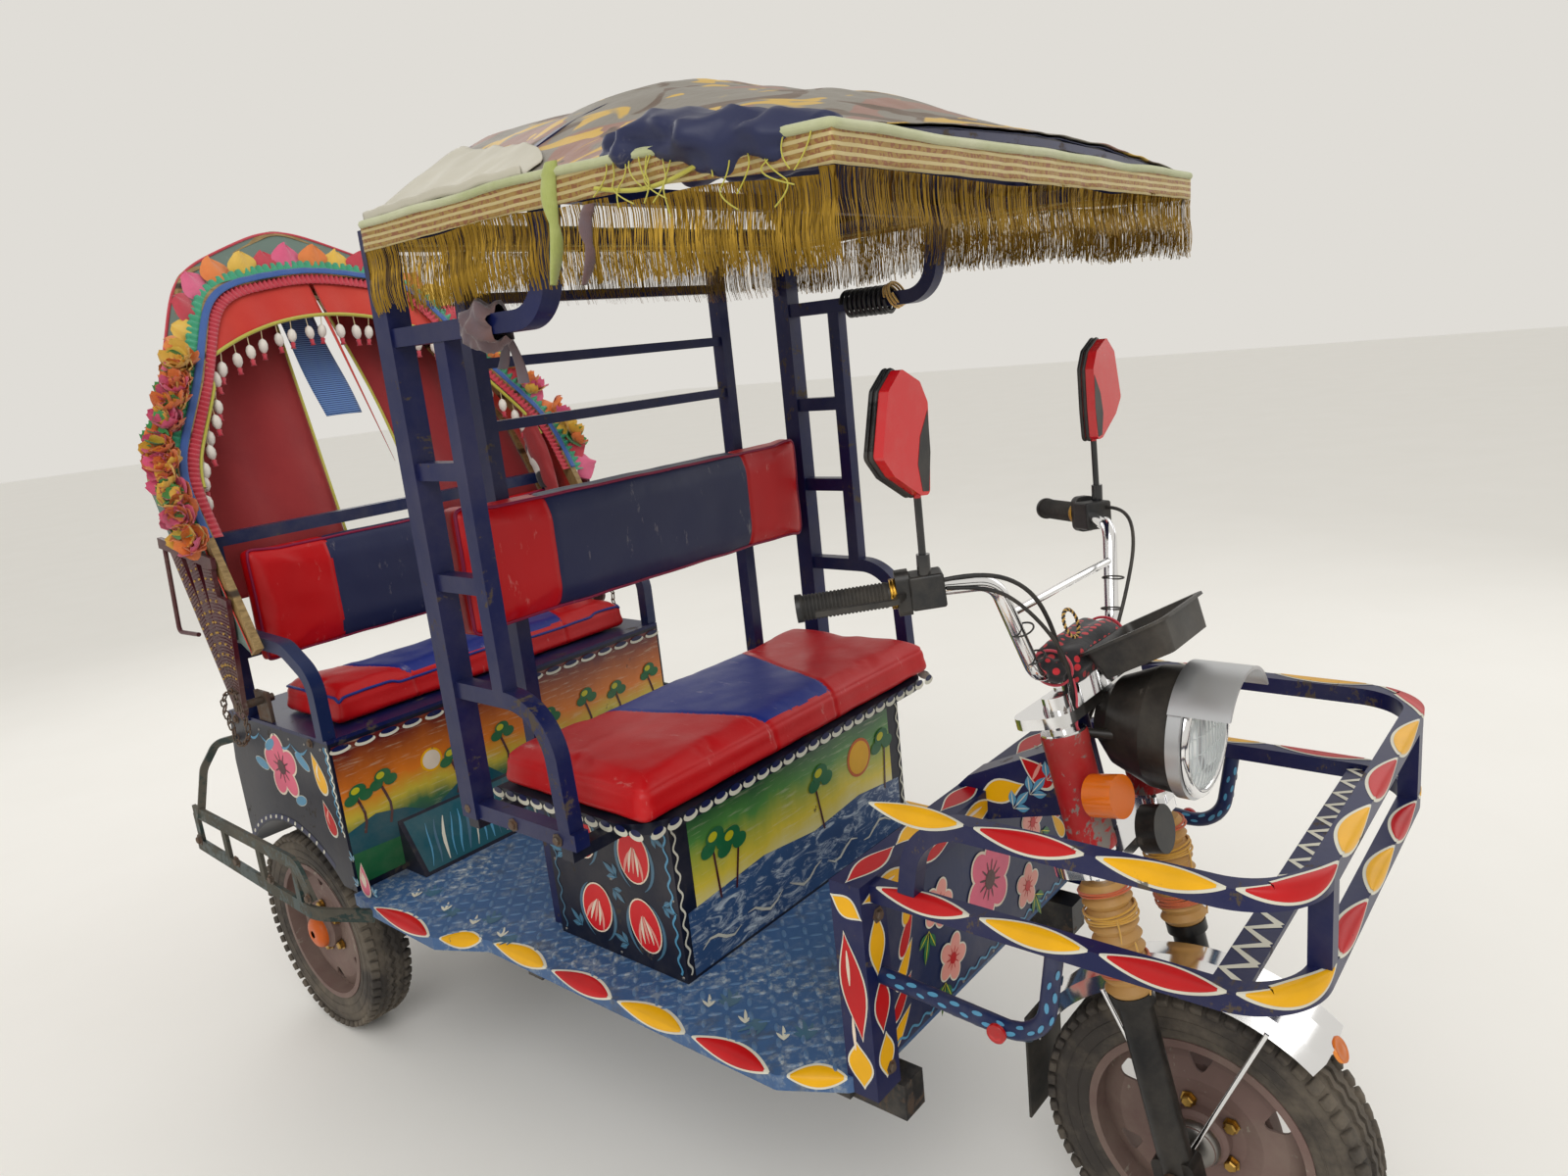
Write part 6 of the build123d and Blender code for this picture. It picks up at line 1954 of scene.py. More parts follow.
@dataclass
class Canopy:
    """Printed cover over the front bench, torn at one edge, with braid and tinsel round it."""

    half: float = 0.5085
    rows: tuple[tuple[float, float, float], ...] = ((-0.905, 1.673, 1.7035), (-0.620, 1.695, 1.816),
                                                    (-0.340, 1.703, 1.891), (-0.020, 1.701, 1.896))
    tear: tuple[float, float] = (-0.885, -0.570)
    band_drop: float = 0.040
    drop: float = 0.104

    def surface(self, x: float, y: float, lift: float = 0.0) -> Vector:
        """Place on the cover above its frame.

        Args:
            x: Place across.
            y: Place along.
            lift: Height over the cloth.

        Returns:
            The point.
        """
        edge, crown = blend(self.rows, y)
        arch = 1 - (x / self.half) ** 2
        slack = 0.006 * math.sin(math.pi * (y + 0.02) / 0.29) ** 2 * min(1, 4 * arch)
        crease = 0.0035 * noise.noise(Vector((x * 7, y * 16, 0.0)))
        crease += 0.0025 * noise.noise(Vector((x * 22, y * 9, 4.0)))
        return at(x, y, edge + (crown - edge) * arch - slack + crease + lift)

    def torn(self, x: float, y: float) -> bool:
        """Whether the printed cover is torn away here.

        Args:
            x: Place across.
            y: Place along.

        Returns:
            True inside the tear.
        """
        start, end = self.tear
        depth = 0.085 * math.sin(math.pi * min(1, max(0, (y - start) / (end - start)))) ** 0.6
        return start < y < end and x < -self.half + depth + 0.016 * noise.noise(Vector((0, y * 46, 2)))

    def sheet(self, name: str, x0: float, x1: float, y0: float, y1: float, lift: float, finish: Finish,
              cut: Callable[[float, float], bool] | None = None,
              cells: tuple[int, int] = (110, 100)) -> bpy.types.Object:
        """A sheet that lies on the cover's surface.

        Args:
            name: The piece's name.
            x0: Its near edge.
            x1: Its far edge.
            y0: Its rear edge.
            y1: Its front edge.
            lift: Height over the cloth.
            finish: Its finish.
            cut: Says where it is torn away.
            cells: Cells across and along.

        Returns:
            The sheet.
        """
        def place(u: float, v: float) -> Vector:
            """Point of the sheet."""
            return self.surface(x0 + (x1 - x0) * u, y0 + (y1 - y0) * v, lift)

        made = Shop.grid(name, place, *cells, finish)
        if cut:
            shape = bmesh.new()
            shape.from_mesh(made.data)
            gone = [f for f in shape.faces if cut(f.calc_center_median().x, f.calc_center_median().y - SHIFT)]
            bmesh.ops.delete(shape, geom=gone, context="FACES")
            shape.to_mesh(made.data)
            shape.free()
        return Shop.modified(made, ("SOLIDIFY", {"thickness": 0.0012, "offset": 1.0}))

    def rim(self) -> list[Vector]:
        """The edge's line, all the way round."""
        front, rear = self.rows[0][0], self.rows[-1][0]
        side = [(-self.half, rear + (front - rear) * k / 60) for k in range(61)]
        across = [(-self.half + 2 * self.half * k / 60, front) for k in range(1, 61)]
        back = [(self.half, front + (rear - front) * k / 60) for k in range(1, 61)]
        rest = [(self.half - 2 * self.half * k / 60, rear) for k in range(1, 60)]
        return [at(x, y, blend(self.rows, y)[0]) for x, y in side + across + back + rest]

    def band(self) -> bpy.types.Object:
        """Braided band with rows of scrollwork, wavy at its lower edge."""
        line = self.rim()
        count = len(line)

        def place(u: float, v: float) -> Vector:
            """Point of the band.

            Args:
                u: Share of the way round or across.
                v: Share of the way along.

            Returns:
                The point.
            """
            t = u * count
            k = int(t) % count
            point = line[k].lerp(line[(k + 1) % count], t - int(t))
            wave = 0.0015 * math.sin(t * 1.3) + 0.003 * noise.noise(point * 9)
            inward = Vector((0, self.rows[1][0] + SHIFT, 0)) - Vector((point.x, point.y, 0))
            return point - Vector((0, 0, self.band_drop * v - 0.006)) - inward.normalized() * wave * v

        return Shop.grid("canopy_band", place, 720, 6, Finish.BRAID, 0.0016, wrap=True)

    def piping(self) -> bpy.types.Object:
        """Rolled two-tone piping over the band's upper edge."""
        line = [p + Vector((0, 0, 0.004 + 0.003 * noise.noise(p * 11))) for p in self.rim()]
        return Shop.tube("canopy_piping", line, 0.006, Finish.PIPING, closed=True, sides=2)

    def tinsel(self) -> bpy.types.Object:
        """Two rows of hanging gold threads."""
        length = self.drop - self.band_drop + 0.022
        points = [(x, 0.0035 * math.sin(k * 1.1) + forward, -length * k / 6)
                  for k in range(7) for x, forward in ((-0.0006, 0), (0.0006, 0.0004))]
        faces = [(2 * k, 2 * k + 1, 2 * k + 3, 2 * k + 2) for k in range(6)]
        item = Shop.mesh("thread", points, faces, [Finish.TINSEL])
        rim = self.rim()
        spots = []
        for row in range(2):
            for point, way in along_line(rim + rim[:1], 0.0019, 0.001 * row):
                near = point.x < -0.45 and self.tear[0] < point.y - SHIFT < self.tear[1]
                sag = 0.010 * noise.noise(point * 6) - (0.008 if near else 0)
                if abs(noise.noise(point * 3.1 + Vector((row * 7, 0, 0)))) <= 0.42:
                    spots.append(frame_of(point + Vector((0, 0, 0.006 - self.band_drop + sag)), (0, 0, 1), way))
        return NodeKit.repeat("canopy_tinsel", item, spots, Finish.TINSEL, 0.9, 0.14, 11)

    def roll(self) -> bpy.types.Object:
        """Crumpled lining that shows through the tear."""
        y0, y1 = self.tear[0] - 0.01, self.tear[1] + 0.02

        def place(u: float, v: float) -> Vector:
            """Point of the crumpled roll.

            Args:
                u: Share of the way round or across.
                v: Share of the way along.

            Returns:
                The point.
            """
            y = y0 + (y1 - y0) * v
            fat = 0.034 * (0.35 + math.sin(math.pi * v) ** 0.5)
            angle = 2 * math.pi * u
            bump = 1 + 0.5 * noise.noise(Vector((math.cos(angle) * 1.6, math.sin(angle) * 1.6, y * 26)))
            base = self.surface(-0.472, y, -0.004)
            return base + Vector((1.25 * math.cos(angle), 0, math.sin(angle) * 0.75)) * fat * bump

        return Shop.grid("canopy_lining_roll", place, 26, 90, Finish.NAVY_VINYL, wrap=True)

    def tarpaulin(self) -> bpy.types.Object:
        """Off-white sheet folded over the rear of the near edge."""
        def place(u: float, v: float) -> Vector:
            """Point of the folded sheet.

            Args:
                u: Share of the way round or across.
                v: Share of the way along.

            Returns:
                The point.
            """
            y = -0.028 - 0.385 * v
            reach = 0.16 * (1 - v) ** 0.7 + 0.035
            x = -self.half + 0.002 + reach * max(0.0, u - 0.12) / 0.88
            curl = 0.014 * math.sin(min(1.0, u / 0.24) * math.pi)
            ripple = 0.006 * noise.noise(Vector((x * 12, y * 20, 1))) + 0.002
            return self.surface(x, y, 0.004 + curl + abs(ripple))

        return Shop.grid("canopy_tarpaulin", place, 30, 60, Finish.TARPAULIN, 0.0014, 1.0)

    def strings(self) -> list[bpy.types.Object]:
        """Frayed threads and a braid loop along the tear."""
        rng = random.Random(5)
        out = []
        for k in range(16):
            y = rng.uniform(self.tear[0], self.tear[1])
            top = at(-0.509, y, blend(self.rows, y)[0] + 0.002)
            points = [top + Vector((-0.002 - 0.003 * t, rng.uniform(-0.012, 0.012) * t, -0.018 * t))
                      for t in range(rng.randint(3, 5))]
            out.append(Shop.tube("fray", points, 0.0009, Finish.CORD_GOLD, sides=1))
        loop = [at(-0.512, -0.555 - 0.03 * t, 1.672 - 0.014 * math.sin(math.pi * t / 6)) for t in range(7)]
        out.append(Shop.tube("loop", loop, 0.0028, Finish.CORD_GOLD, sides=2))
        return out

    def rag(self, name: str, top: Vector, foot: Vector, width: float, finish: Finish) -> bpy.types.Object:
        """Twisted strip of cloth that hangs from a knot.

        Args:
            name: The piece's name.
            top: Where the knot is.
            foot: Where the strip ends.
            width: Its width.
            finish: Its finish.

        Returns:
            The strip.
        """
        def place(u: float, v: float) -> Vector:
            """Point of the strip's skin.

            Args:
                u: Share of the way round or across.
                v: Share of the way along.

            Returns:
                The point.
            """
            wide = width * (0.55 + 0.45 * abs(math.sin(v * 5.1 + 0.6))) * (1.25 if v < 0.12 else 1)
            c, s = polar((0, 0), wide, 2 * math.pi * u)
            flat = Vector((c * 0.22, s * 0.5, 0))
            flat.rotate(Matrix.Rotation(2.2 * v, 3, "Z"))
            return top + (foot - top) * v + flat + Vector((0, 0.006 * math.sin(v * 7), 0))

        return Shop.grid(name, place, 16, 40, finish, wrap=True)

    def build(self) -> None:
        """Make the cover and its trim."""
        def keep(made: bpy.types.Object, slot: str, *replaced: str) -> bpy.types.Object:
            """Fasten a piece to the frame."""
            return Shop.keep(made, "chassis", slot, *replaced)

        front, rear, half = self.rows[0][0], self.rows[-1][0], self.half
        cover = keep(self.sheet("canopy_sheet", -half, half, rear, front, 0.0012, Finish.PRINTED, self.torn),
                     "canopy_cloth", "canopy_cover")
        lining = keep(self.sheet("canopy_lining", -half + 0.004, half - 0.004, rear - 0.004, front + 0.004, -0.0035,
                                 Finish.NAVY_VINYL, None, (60, 60)), "canopy_cloth")
        roll = keep(self.roll(), "canopy_cloth")
        tarpaulin = keep(self.tarpaulin(), "canopy_cloth")
        band = keep(self.band(), "fringe_gold", "canopy_fringe")
        strips = (("canopy_lime_strip", at(-0.512, -0.481, 1.715), at(-0.520, -0.467, 1.571), 0.022, Finish.LIME_RAG),
                  ("canopy_grey_strip", at(-0.513, -0.542, 1.656), at(-0.518, -0.523, 1.565), 0.018, Finish.RAG))
        trim = [keep(made, "fringe_gold") for made in (
            self.tinsel(), self.piping(), Shop.join("canopy_frays", self.strings()),
            *(self.rag(*row) for row in strips))]
        Soft.measure(cover, "stretched", ["canopy_frame"], [roll])
        Soft.measure(lining, "stretched", ["canopy_frame"])
        Soft.measure(tarpaulin, "folded", [cover])
        rim = self.rim()
        around = sum((b - a).length for a, b in zip(rim, rim[1:] + rim[:1]))
        Soft.measure(band, "hung", ["canopy_frame"], trim, around)


class Soft:
    """Logs the size that each cloth sheet was cut to."""

    @staticmethod
    def area(piece: bpy.types.Object) -> float:
        """Half the skin of a thin sheet, in square metres."""
        return sum(p.area for p in piece.data.polygons) / 2

    @classmethod
    def measure(cls, piece: bpy.types.Object, held: str, rests: Sequence[object],
                extra: Sequence[bpy.types.Object] = (), length: float = 0.0) -> None:
        """Log the size of a sheet laid flat.

        Args:
            piece: The sheet.
            held: Not used.
            rests: Not used.
            extra: Pieces that go with it.
            length: Its length when laid out, where it isn't the piece's longest side.
        """
        low = [min(v.co[k] for v in piece.data.vertices) for k in range(3)]
        high = [max(v.co[k] for v in piece.data.vertices) for k in range(3)]
        area = cls.area(piece)
        long = length or max(b - a for a, b in zip(low, high))
        size = tuple(math.ceil(v * 1000) / 1000 for v in (area / long, long))
        LOG.info("sheet %s lies %.3f by %.3f m flat", piece.name, *size)
        list(extra)


@dataclass(frozen=True)
class Bow:
    """A bent bow of the hood, given by half its line in its own plane."""

    foot: Pair
    top: Pair
    half: tuple[Pair, ...]
    radii: tuple[float, ...]

    @property
    def up(self) -> Vector:
        """Direction from foot to top."""
        return Vector((0, self.top[0] - self.foot[0], self.top[1] - self.foot[1])).normalized()

    @property
    def front(self) -> Vector:
        """Direction out of the plane, towards the front."""
        across = Vector((1, 0, 0)).cross(self.up).normalized()
        return -across if across.y > 0 else across

    def line(self) -> list[Pair]:
        """Evenly spaced places in the plane, from the right foot to the left one.

        Returns:
            Places across and up in the plane.
        """
        corners = [(-x, s) for x, s in self.half] + [(x, s) for x, s in self.half[-2::-1]]
        radii = [*self.radii, *self.radii[-2::-1]]
        points = rounded_line(corners, radii, 0.006)
        for _ in range(140):
            points = [points[0], *((a + b * 2 + c) / 4 for a, b, c in zip(points, points[1:], points[2:])),
                      points[-1]]
        lengths = [0.0]
        for a, b in zip(points, points[1:]):
            lengths.append(lengths[-1] + (b - a).length)
        out, k = [], 0
        for j in range(BOW_STEPS + 1):
            want = lengths[-1] * j / BOW_STEPS
            while k < len(points) - 2 and lengths[k + 1] < want:
                k += 1
            share = (want - lengths[k]) / max(lengths[k + 1] - lengths[k], 1e-9)
            here = points[k].lerp(points[k + 1], share)
            out.append((here.x, here.y))
        return out

    def height(self, x: float) -> float:
        """Height of the bow's line over a place across the vehicle.

        Args:
            x: The place across.

        Returns:
            The height in the bow's plane.
        """
        line = bow_line(self)[BOW_STEPS // 2:]
        for (x0, s0), (x1, s1) in zip(line, line[1:]):
            if x0 <= abs(x) <= x1:
                return s0 + (s1 - s0) * (abs(x) - x0) / max(x1 - x0, 1e-9)
        return self.half[1][1] * 0.9

    def place(self, x: float, s: float, ahead: float = 0.0) -> Vector:
        """Point of the plane, moved towards the front."""
        return at(x, *self.foot) + self.up * s + self.front * ahead

    def edge(self, share: float, out: float = 0.0, ahead: float = 0.0) -> tuple[Vector, Vector, Vector]:
        """Point on the bow's line with its outward and running directions.

        Args:
            share: Place along the line, from 0 to 1.
            out: Distance outside the line.
            ahead: Distance towards the driver.

        Returns:
            The point, the outward direction and the running direction.
        """
        line = bow_line(self)
        t = min(max(share, 0.0), 1.0) * BOW_STEPS
        k = min(int(t), BOW_STEPS - 1)
        (x0, s0), (x1, s1) = line[k], line[k + 1]
        j0, j1 = max(k - 1, 0), min(k + 2, BOW_STEPS)
        way = Vector((line[j1][0] - line[j0][0], line[j1][1] - line[j0][1])).normalized()
        x, s = x0 + (x1 - x0) * (t - k), s0 + (s1 - s0) * (t - k)
        side = (-way.y, way.x)
        run = Vector((way.x, 0, 0)) + self.up * way.y
        outward = Vector((side[0], 0, 0)) + self.up * side[1]
        return self.place(x + side[0] * out, s + side[1] * out, ahead), outward, run


@cache
def bow_line(bow: Bow) -> list[Pair]:
    """A bow's line, worked out once."""
    return bow.line()


@dataclass
class Hood:
    """Folding hood over the rear seat: cloth, frilled rim, tassels, flowers and studs."""

    first: Bow = Bow((0.700, 0.949), (1.140, 1.752),
                     ((0.495, 0), (0.495, 0.430), (0.372, 0.640), (0.262, 0.880), (0, 0.930)),
                     (0.15, 0.15, 0.11, 0.40))
    middle: Bow = Bow((0.840, 1.000), (1.255, 1.864),
                      ((0.490, 0), (0.490, 0.380), (0.392, 0.600), (0.280, 0.850), (0, 0.978)),
                      (0.15, 0.15, 0.09, 0.09))
    last: Bow = Bow((0.920, 1.030), (1.300, 1.742),
                    ((0.490, 0), (0.490, 0.330), (0.392, 0.520), (0.290, 0.730), (0, 0.806)),
                    (0.15, 0.15, 0.09, 0.16))
    pivot: Pair = (0.803, 0.818)
    fan: tuple[Pair, ...] = ((0.764, 1.066), (0.806, 1.144), (0.880, 1.154), (0.960, 1.164))
    skin: float = 0.0135
    rim_length: float = 2.55
    cut_length: float = 2.5
    gathered_length: float = 2.9

    @staticmethod
    def arch(x: float) -> float:
        """Height of the valance's lower edge over a place across."""
        return 0.802 - 0.242 * (x / 0.5) ** 2

    def cover(self, name: str, a: Bow, b: Bow, node: str) -> bpy.types.Object:
        """Cloth between two bows, grey-green outside and scarlet inside.

        Args:
            name: The piece's name.
            a: The bow in front.
            b: The bow behind.
            node: The solid that it stands in for.

        Returns:
            The cloth.
        """
        def place(u: float, v: float) -> Vector:
            """Point of the cloth.

            Args:
                u: Share of the way round or across.
                v: Share of the way along.

            Returns:
                The point.
            """
            p, out_a, _ = a.edge(u, self.skin)
            q, out_b, _ = b.edge(u, self.skin)
            sag = 0.012 * math.sin(math.pi * v) * math.sin(math.pi * u) ** 0.4
            point = p.lerp(q, v)
            fold = 0.003 * noise.noise(point * 14) * math.sin(math.pi * v)
            return point + out_a.lerp(out_b, v) * (fold - sag)

        made = Shop.grid(name, place, 150, 16, Finish.HOOD_GREY)
        made.data.materials.append(Finish.SCARLET.material)
        Shop.modified(made, ("SOLIDIFY", {"thickness": 0.0022, "offset": -1.0, "material_offset": 1,
                                          "material_offset_rim": 1}))
        return Shop.keep(made, "hood", "hood_cover", node)

    def frill(self, name: str, low: float, high: float, ahead: float, swing: float, pitch: float, finish: Finish,
              scallop: float = 0.0, span: Pair = (0.0, 1.0)) -> bpy.types.Object:
        """Pleated ribbon along the first bow.

        Args:
            name: The piece's name.
            low: Distance of its inner edge outside the bow's line.
            high: Distance of its outer edge.
            ahead: How far before the bow it lies.
            swing: Depth of the pleats.
            pitch: Length of one pleat.
            finish: Its finish.
            scallop: How far the outer edge draws in between pleats.
            span: Part of the bow's line that it follows.

        Returns:
            The ribbon.
        """
        turns = self.rim_length * (span[1] - span[0]) / pitch

        def place(u: float, v: float) -> Vector:
            """Point of the ribbon.

            Args:
                u: Share of the way round or across.
                v: Share of the way along.

            Returns:
                The point.
            """
            share = span[0] + (span[1] - span[0]) * u
            wave = math.sin(2 * math.pi * turns * u + 0.5 * math.sin(9 * u))
            reach = low + (high - low) * v * (1 - scallop * (0.5 - 0.5 * math.cos(2 * math.pi * turns * u)))
            point, _, _ = self.first.edge(share, reach, ahead + swing * wave * (0.25 + v))
            return point

        return Shop.grid(name, place, int(turns * 10), 3, finish, 0.0009)

    def petals(self) -> bpy.types.Object:
        """Cupped petals in four colours round the rim's outside."""
        def place(u: float, v: float) -> Vector:
            """Point of one petal, wide at its tip.

            Args:
                u: Share of the way round or across.
                v: Share of the way along.

            Returns:
                The point.
            """
            wide = 0.038 * math.sin(math.pi * min(0.92, 0.14 + 0.8 * v)) ** 0.8
            sag = 4 * (u - 0.5) ** 2
            return Vector(((u - 0.5) * 2 * wide, 0.010 * sag + 0.005 * math.sin(11 * u) * v,
                           0.056 * v - 0.006 * sag * v))

        colours = (Finish.ORANGE_PETAL, Finish.YELLOW_PETAL, Finish.RED_RIBBON, Finish.PINK_PETAL)
        parts = []
        for index, finish in enumerate(colours):
            item = Shop.grid("petal", place, 8, 6, finish)
            spots = []
            for k in range(4 + index, 36, 4):
                point, out, run = self.first.edge((k + 0.5) / 40, 0.020, 0.010)
                lean = (out + self.first.front * 0.55 * (0.6 + 0.4 * math.sin(k * 2.3))).normalized()
                spots.append(frame_of(point, lean, run))
            parts.append(NodeKit.repeat("petals", item, spots, finish, 0.25, 0.18, index))
        return Shop.join("hood_petals", parts)

    def flowers(self) -> bpy.types.Object:
        """Cloth flowers and leaves bunched on the rim's sides."""
        def place(u: float, v: float) -> Vector:
            """Point of a flower's petal.

            Args:
                u: Share of the way round or across.
                v: Share of the way along.

            Returns:
                The point.
            """
            wide = 0.019 * math.sin(math.pi * (0.1 + 0.82 * v))
            return Vector((0.036 * v, (u - 0.5) * 2 * wide, 0.018 * v * v + 0.005 * (4 * (u - 0.5) ** 2)))

        rng = random.Random(21)
        parts = []
        for index, finish in enumerate((Finish.ORANGE_PETAL, Finish.YELLOW_PETAL, Finish.PINK_PETAL, Finish.LEAF)):
            item = Shop.grid("blade", place, 4, 5, finish)
            spots = []
            for k in range(22 if index else 34):
                share = rng.uniform(0.105, 0.30) if rng.random() < 0.7 else rng.uniform(0.68, 0.88)
                point, out, run = self.first.edge(share, rng.uniform(0.022, 0.044), rng.uniform(0.008, 0.030))
                facing = (out * rng.uniform(0.3, 1.0) + self.first.front * rng.uniform(0.3, 1.0)
                          + run * rng.uniform(-0.5, 0.5)).normalized()
                base = frame_of(point, facing, run)
                for petal in range(5 if finish is not Finish.LEAF else 3):
                    spin = Matrix.Rotation(2 * math.pi * petal / 5, 4, "Z")
                    spots.append(base @ spin @ Matrix.Rotation(-0.35, 4, "Y"))
            parts.append(NodeKit.repeat("blades", item, spots, finish, 0.15, 0.25, 30 + index))
        return Shop.join("hood_flowers", parts)

    def valance(self) -> bpy.types.Object:
        """Scarlet strip inside the first bow, cut to an arch."""
        def place(u: float, v: float) -> Vector:
            """Point of the strip.

            Args:
                u: Share of the way round or across.
                v: Share of the way along.

            Returns:
                The point.
            """
            x = -0.345 + 0.69 * u
            high = self.first.height(x) - 0.009
            s = high + (self.arch(x) - high) * v
            return self.first.place(x, s, 0.004 * v * math.sin(x * 60) + 0.0015)

        return Shop.grid("hood_valance_strip", place, 130, 10, Finish.SCARLET, 0.0012)

    def lower_edge(self) -> list[Vector]:
        """Line that the tassels hang from."""
        middle = [self.first.place(x, self.arch(x), 0.005) for x in np.linspace(-0.34, 0.34, 50)]
        sides = [self.first.edge(share, -0.034, 0.005)[0] for share in np.linspace(0.165, 0.285, 18)]
        far = [Vector((-p.x, p.y, p.z)) for p in sides]
        return [*sides, *middle, *far[::-1]]

    def tassels(self) -> bpy.types.Object:
        """Strings with a pale bead and a red tip."""
        line = self.lower_edge()
        spots = [Matrix.Translation(p) @ Matrix.Rotation(0.12 * math.sin(k * 2.1), 4, "X")
                 @ Matrix.Rotation(0.12 * math.sin(k * 3.7), 4, "Y")
                 for k, (p, _) in enumerate(along_line(line, 0.042, 0.01))]
        parts = []
        string = ((0.0011, 0.0), (0.0011, -0.026))
        bead = ((0.0012, -0.024), (0.008, -0.029), (0.0112, -0.038), (0.0105, -0.049), (0.006, -0.057),
                (0.002, -0.060))
        tip = ((0.0025, -0.059), (0.0062, -0.062), (0.0045, -0.070), (0.0072, -0.076), (0.0, -0.074))
        for finish, profile in ((Finish.STRING, string), (Finish.BEAD, bead), (Finish.RED_RIBBON, tip)):
            item = Shop.lathe("part", profile, finish, segments=10)
            parts.append(NodeKit.repeat("parts", item, spots, finish, 0.6, 0.08, 4))
        return Shop.join("hood_tassels", parts)

    @staticmethod
    def opening(side: float, v: float) -> float:
        """Distance of a flap's inner edge from the middle, at a share of its height."""
        return 0.128 - 0.088 * v if side < 0 else 0.082 + 0.05 * math.sin(math.pi * v * 0.9) * (1 - 0.4 * v)

    def curtain(self, side: float) -> bpy.types.Object:
        """One flap of the rear curtain, drawn a little to its side.

        Args:
            side: The vehicle's side, -1 or 1.

        Returns:
            The flap.
        """
        def place(u: float, v: float) -> Vector:
            """Point of the flap.

            Args:
                u: Share of the way round or across.
                v: Share of the way along.

            Returns:
                The point.
            """
            inner = self.opening(side, v)
            x = inner + (0.481 - inner) * u
            s = (self.last.height(x) - 0.010) * v
            fold = 0.007 * math.sin(x * 42 + 2 * v) * (1 - 0.5 * v)
            fold += 0.003 * noise.noise(Vector((x * 9, s * 7, side)))
            return self.last.place(side * x, s, fold)

        return Shop.grid(f"hood_curtain_{side_name(side)}", place, 60, 40, Finish.CURTAIN, 0.0014)

    def curtain_piping(self, side: float) -> bpy.types.Object:
        """Yellow-green edging of a flap."""
        line = [self.last.place(side * self.opening(side, v), 0.796 * v, 0.004) for v in np.linspace(0.0, 0.96, 24)]
        return Shop.tube("edging", line, 0.0035, Finish.CORD_GOLD, sides=2)

    def strap(self) -> bpy.types.Object:
        """Blue woven strap that hangs in the curtain's gap."""
        return Shop.grid("hood_strap", lambda u, v: self.last.place(
            -0.048 + 0.098 * u + 0.010 * v, 0.785 - 0.37 * v, 0.012 + 0.005 * math.sin(7 * v + 2 * u)),
            8, 30, Finish.CHECKS, 0.0018)

    def side_cloth(self, name: str, start: float, end: float, finish: Finish, back: float) -> bpy.types.Object:
        """A cloth tied inside the far side.

        Args:
            name: The piece's name.
            start: Where it starts, up from the bow's foot.
            end: Where it ends.
            finish: Its finish.
            back: How far behind the bow it hangs.

        Returns:
            The bunched cloth.
        """
        def place(u: float, v: float) -> Vector:
            """Point of the bunched cloth.

            Args:
                u: Share of the way round or across.
                v: Share of the way along.

            Returns:
                The point.
            """
            c, s = polar((0, 0), 1.0, 2 * math.pi * u)
            fat = (0.020 + 0.016 * math.sin(math.pi * v)) * (1 + 0.3 * noise.noise(Vector((c * 2, s * 2, v * 5))))
            middle = self.first.place(0.455 - 0.04 * v, start + (end - start) * v, -back)
            return middle + Vector((c * fat * 0.5, s * fat, 0))

        return Shop.grid(name, place, 22, 30, finish, wrap=True)

    def slats(self, x: float) -> Iterable[tuple[float, Vector, Vector, float]]:
        """Foot, direction and length of each slat's middle line, with its side.

        Args:
            x: How far out the line lies.

        Returns:
            A row for each slat.
        """
        for side in SIDES:
            for y, z in self.fan:
                foot, tip = at(side * x, *self.pivot), at(side * x, y, z)
                yield side, foot, (tip - foot).normalized(), (tip - foot).length

    def studs(self) -> bpy.types.Object:
        """Domed studs along the wooden slats."""
        item = Shop.lathe("stud", ((0.0, 0.0022), (0.0026, 0.0016), (0.0036, 0.0)), Finish.BRASS, segments=10)
        spots = [frame_of(foot + way * 0.024 * k + way.cross(Vector((side, 0, 0))) * 0.014 * lean, (side, 0, 0), way)
                 for side, foot, way, length in self.slats(0.5188)
                 for k in range(3, int(length / 0.024)) for lean in (-1, 1)]
        return NodeKit.repeat("hood_studs", item, spots, Finish.BRASS, 0.0, 0.15, 6)

    def ribs(self) -> bpy.types.Object:
        """Raised channels with a ribbed face on the slats."""
        item = Shop.block("rib", (-0.0012, -0.018, -0.0006), (0.0012, 0.018, 0.0016), Finish.MAROON, 0.0006)
        spots = [frame_of(foot + way * (0.045 + 0.0075 * k), (side, 0, 0), way)
                 for side, foot, way, length in self.slats(0.5187) for k in range(int((length - 0.05) / 0.0075))]
        return NodeKit.repeat("hood_slat_ribs", item, spots, Finish.MAROON)

    def chain(self) -> bpy.types.Object:
        """Rusty chain hung round each pivot."""
        ring = [(x + math.copysign(0.0048, x), y, 0.0) for x, y in round_points(0.0052, 0.0052, 16)]
        link = Shop.tube("link", ring, 0.0018, Finish.RUSTY, closed=True, sides=1, smooth=False)
        spots = []
        for side in SIDES:
            loop = [at(side * (0.528 + 0.003 * math.sin(3 * t)), self.pivot[0] + 0.046 * math.cos(t),
                       self.pivot[1] - 0.022 + 0.060 * math.sin(t)) for t in np.linspace(0, 2 * math.pi, 60)]
            spots += [frame_of(point, (side, 0.0, 0.3) if k % 2 else (0.2, way.z, -way.y), way)
                      for k, (point, way) in enumerate(along_line(loop, 0.0155))]
        return NodeKit.repeat("hood_chain", link, spots, Finish.RUSTY, 0.2)

    def build(self) -> None:
        """Make the hood's cloth and its trim."""
        def keep(made: bpy.types.Object, *replaced: str, slot: str = "hood_cloth") -> bpy.types.Object:
            """Fasten a piece to the hood."""
            return Shop.keep(made, "hood", slot, *replaced)

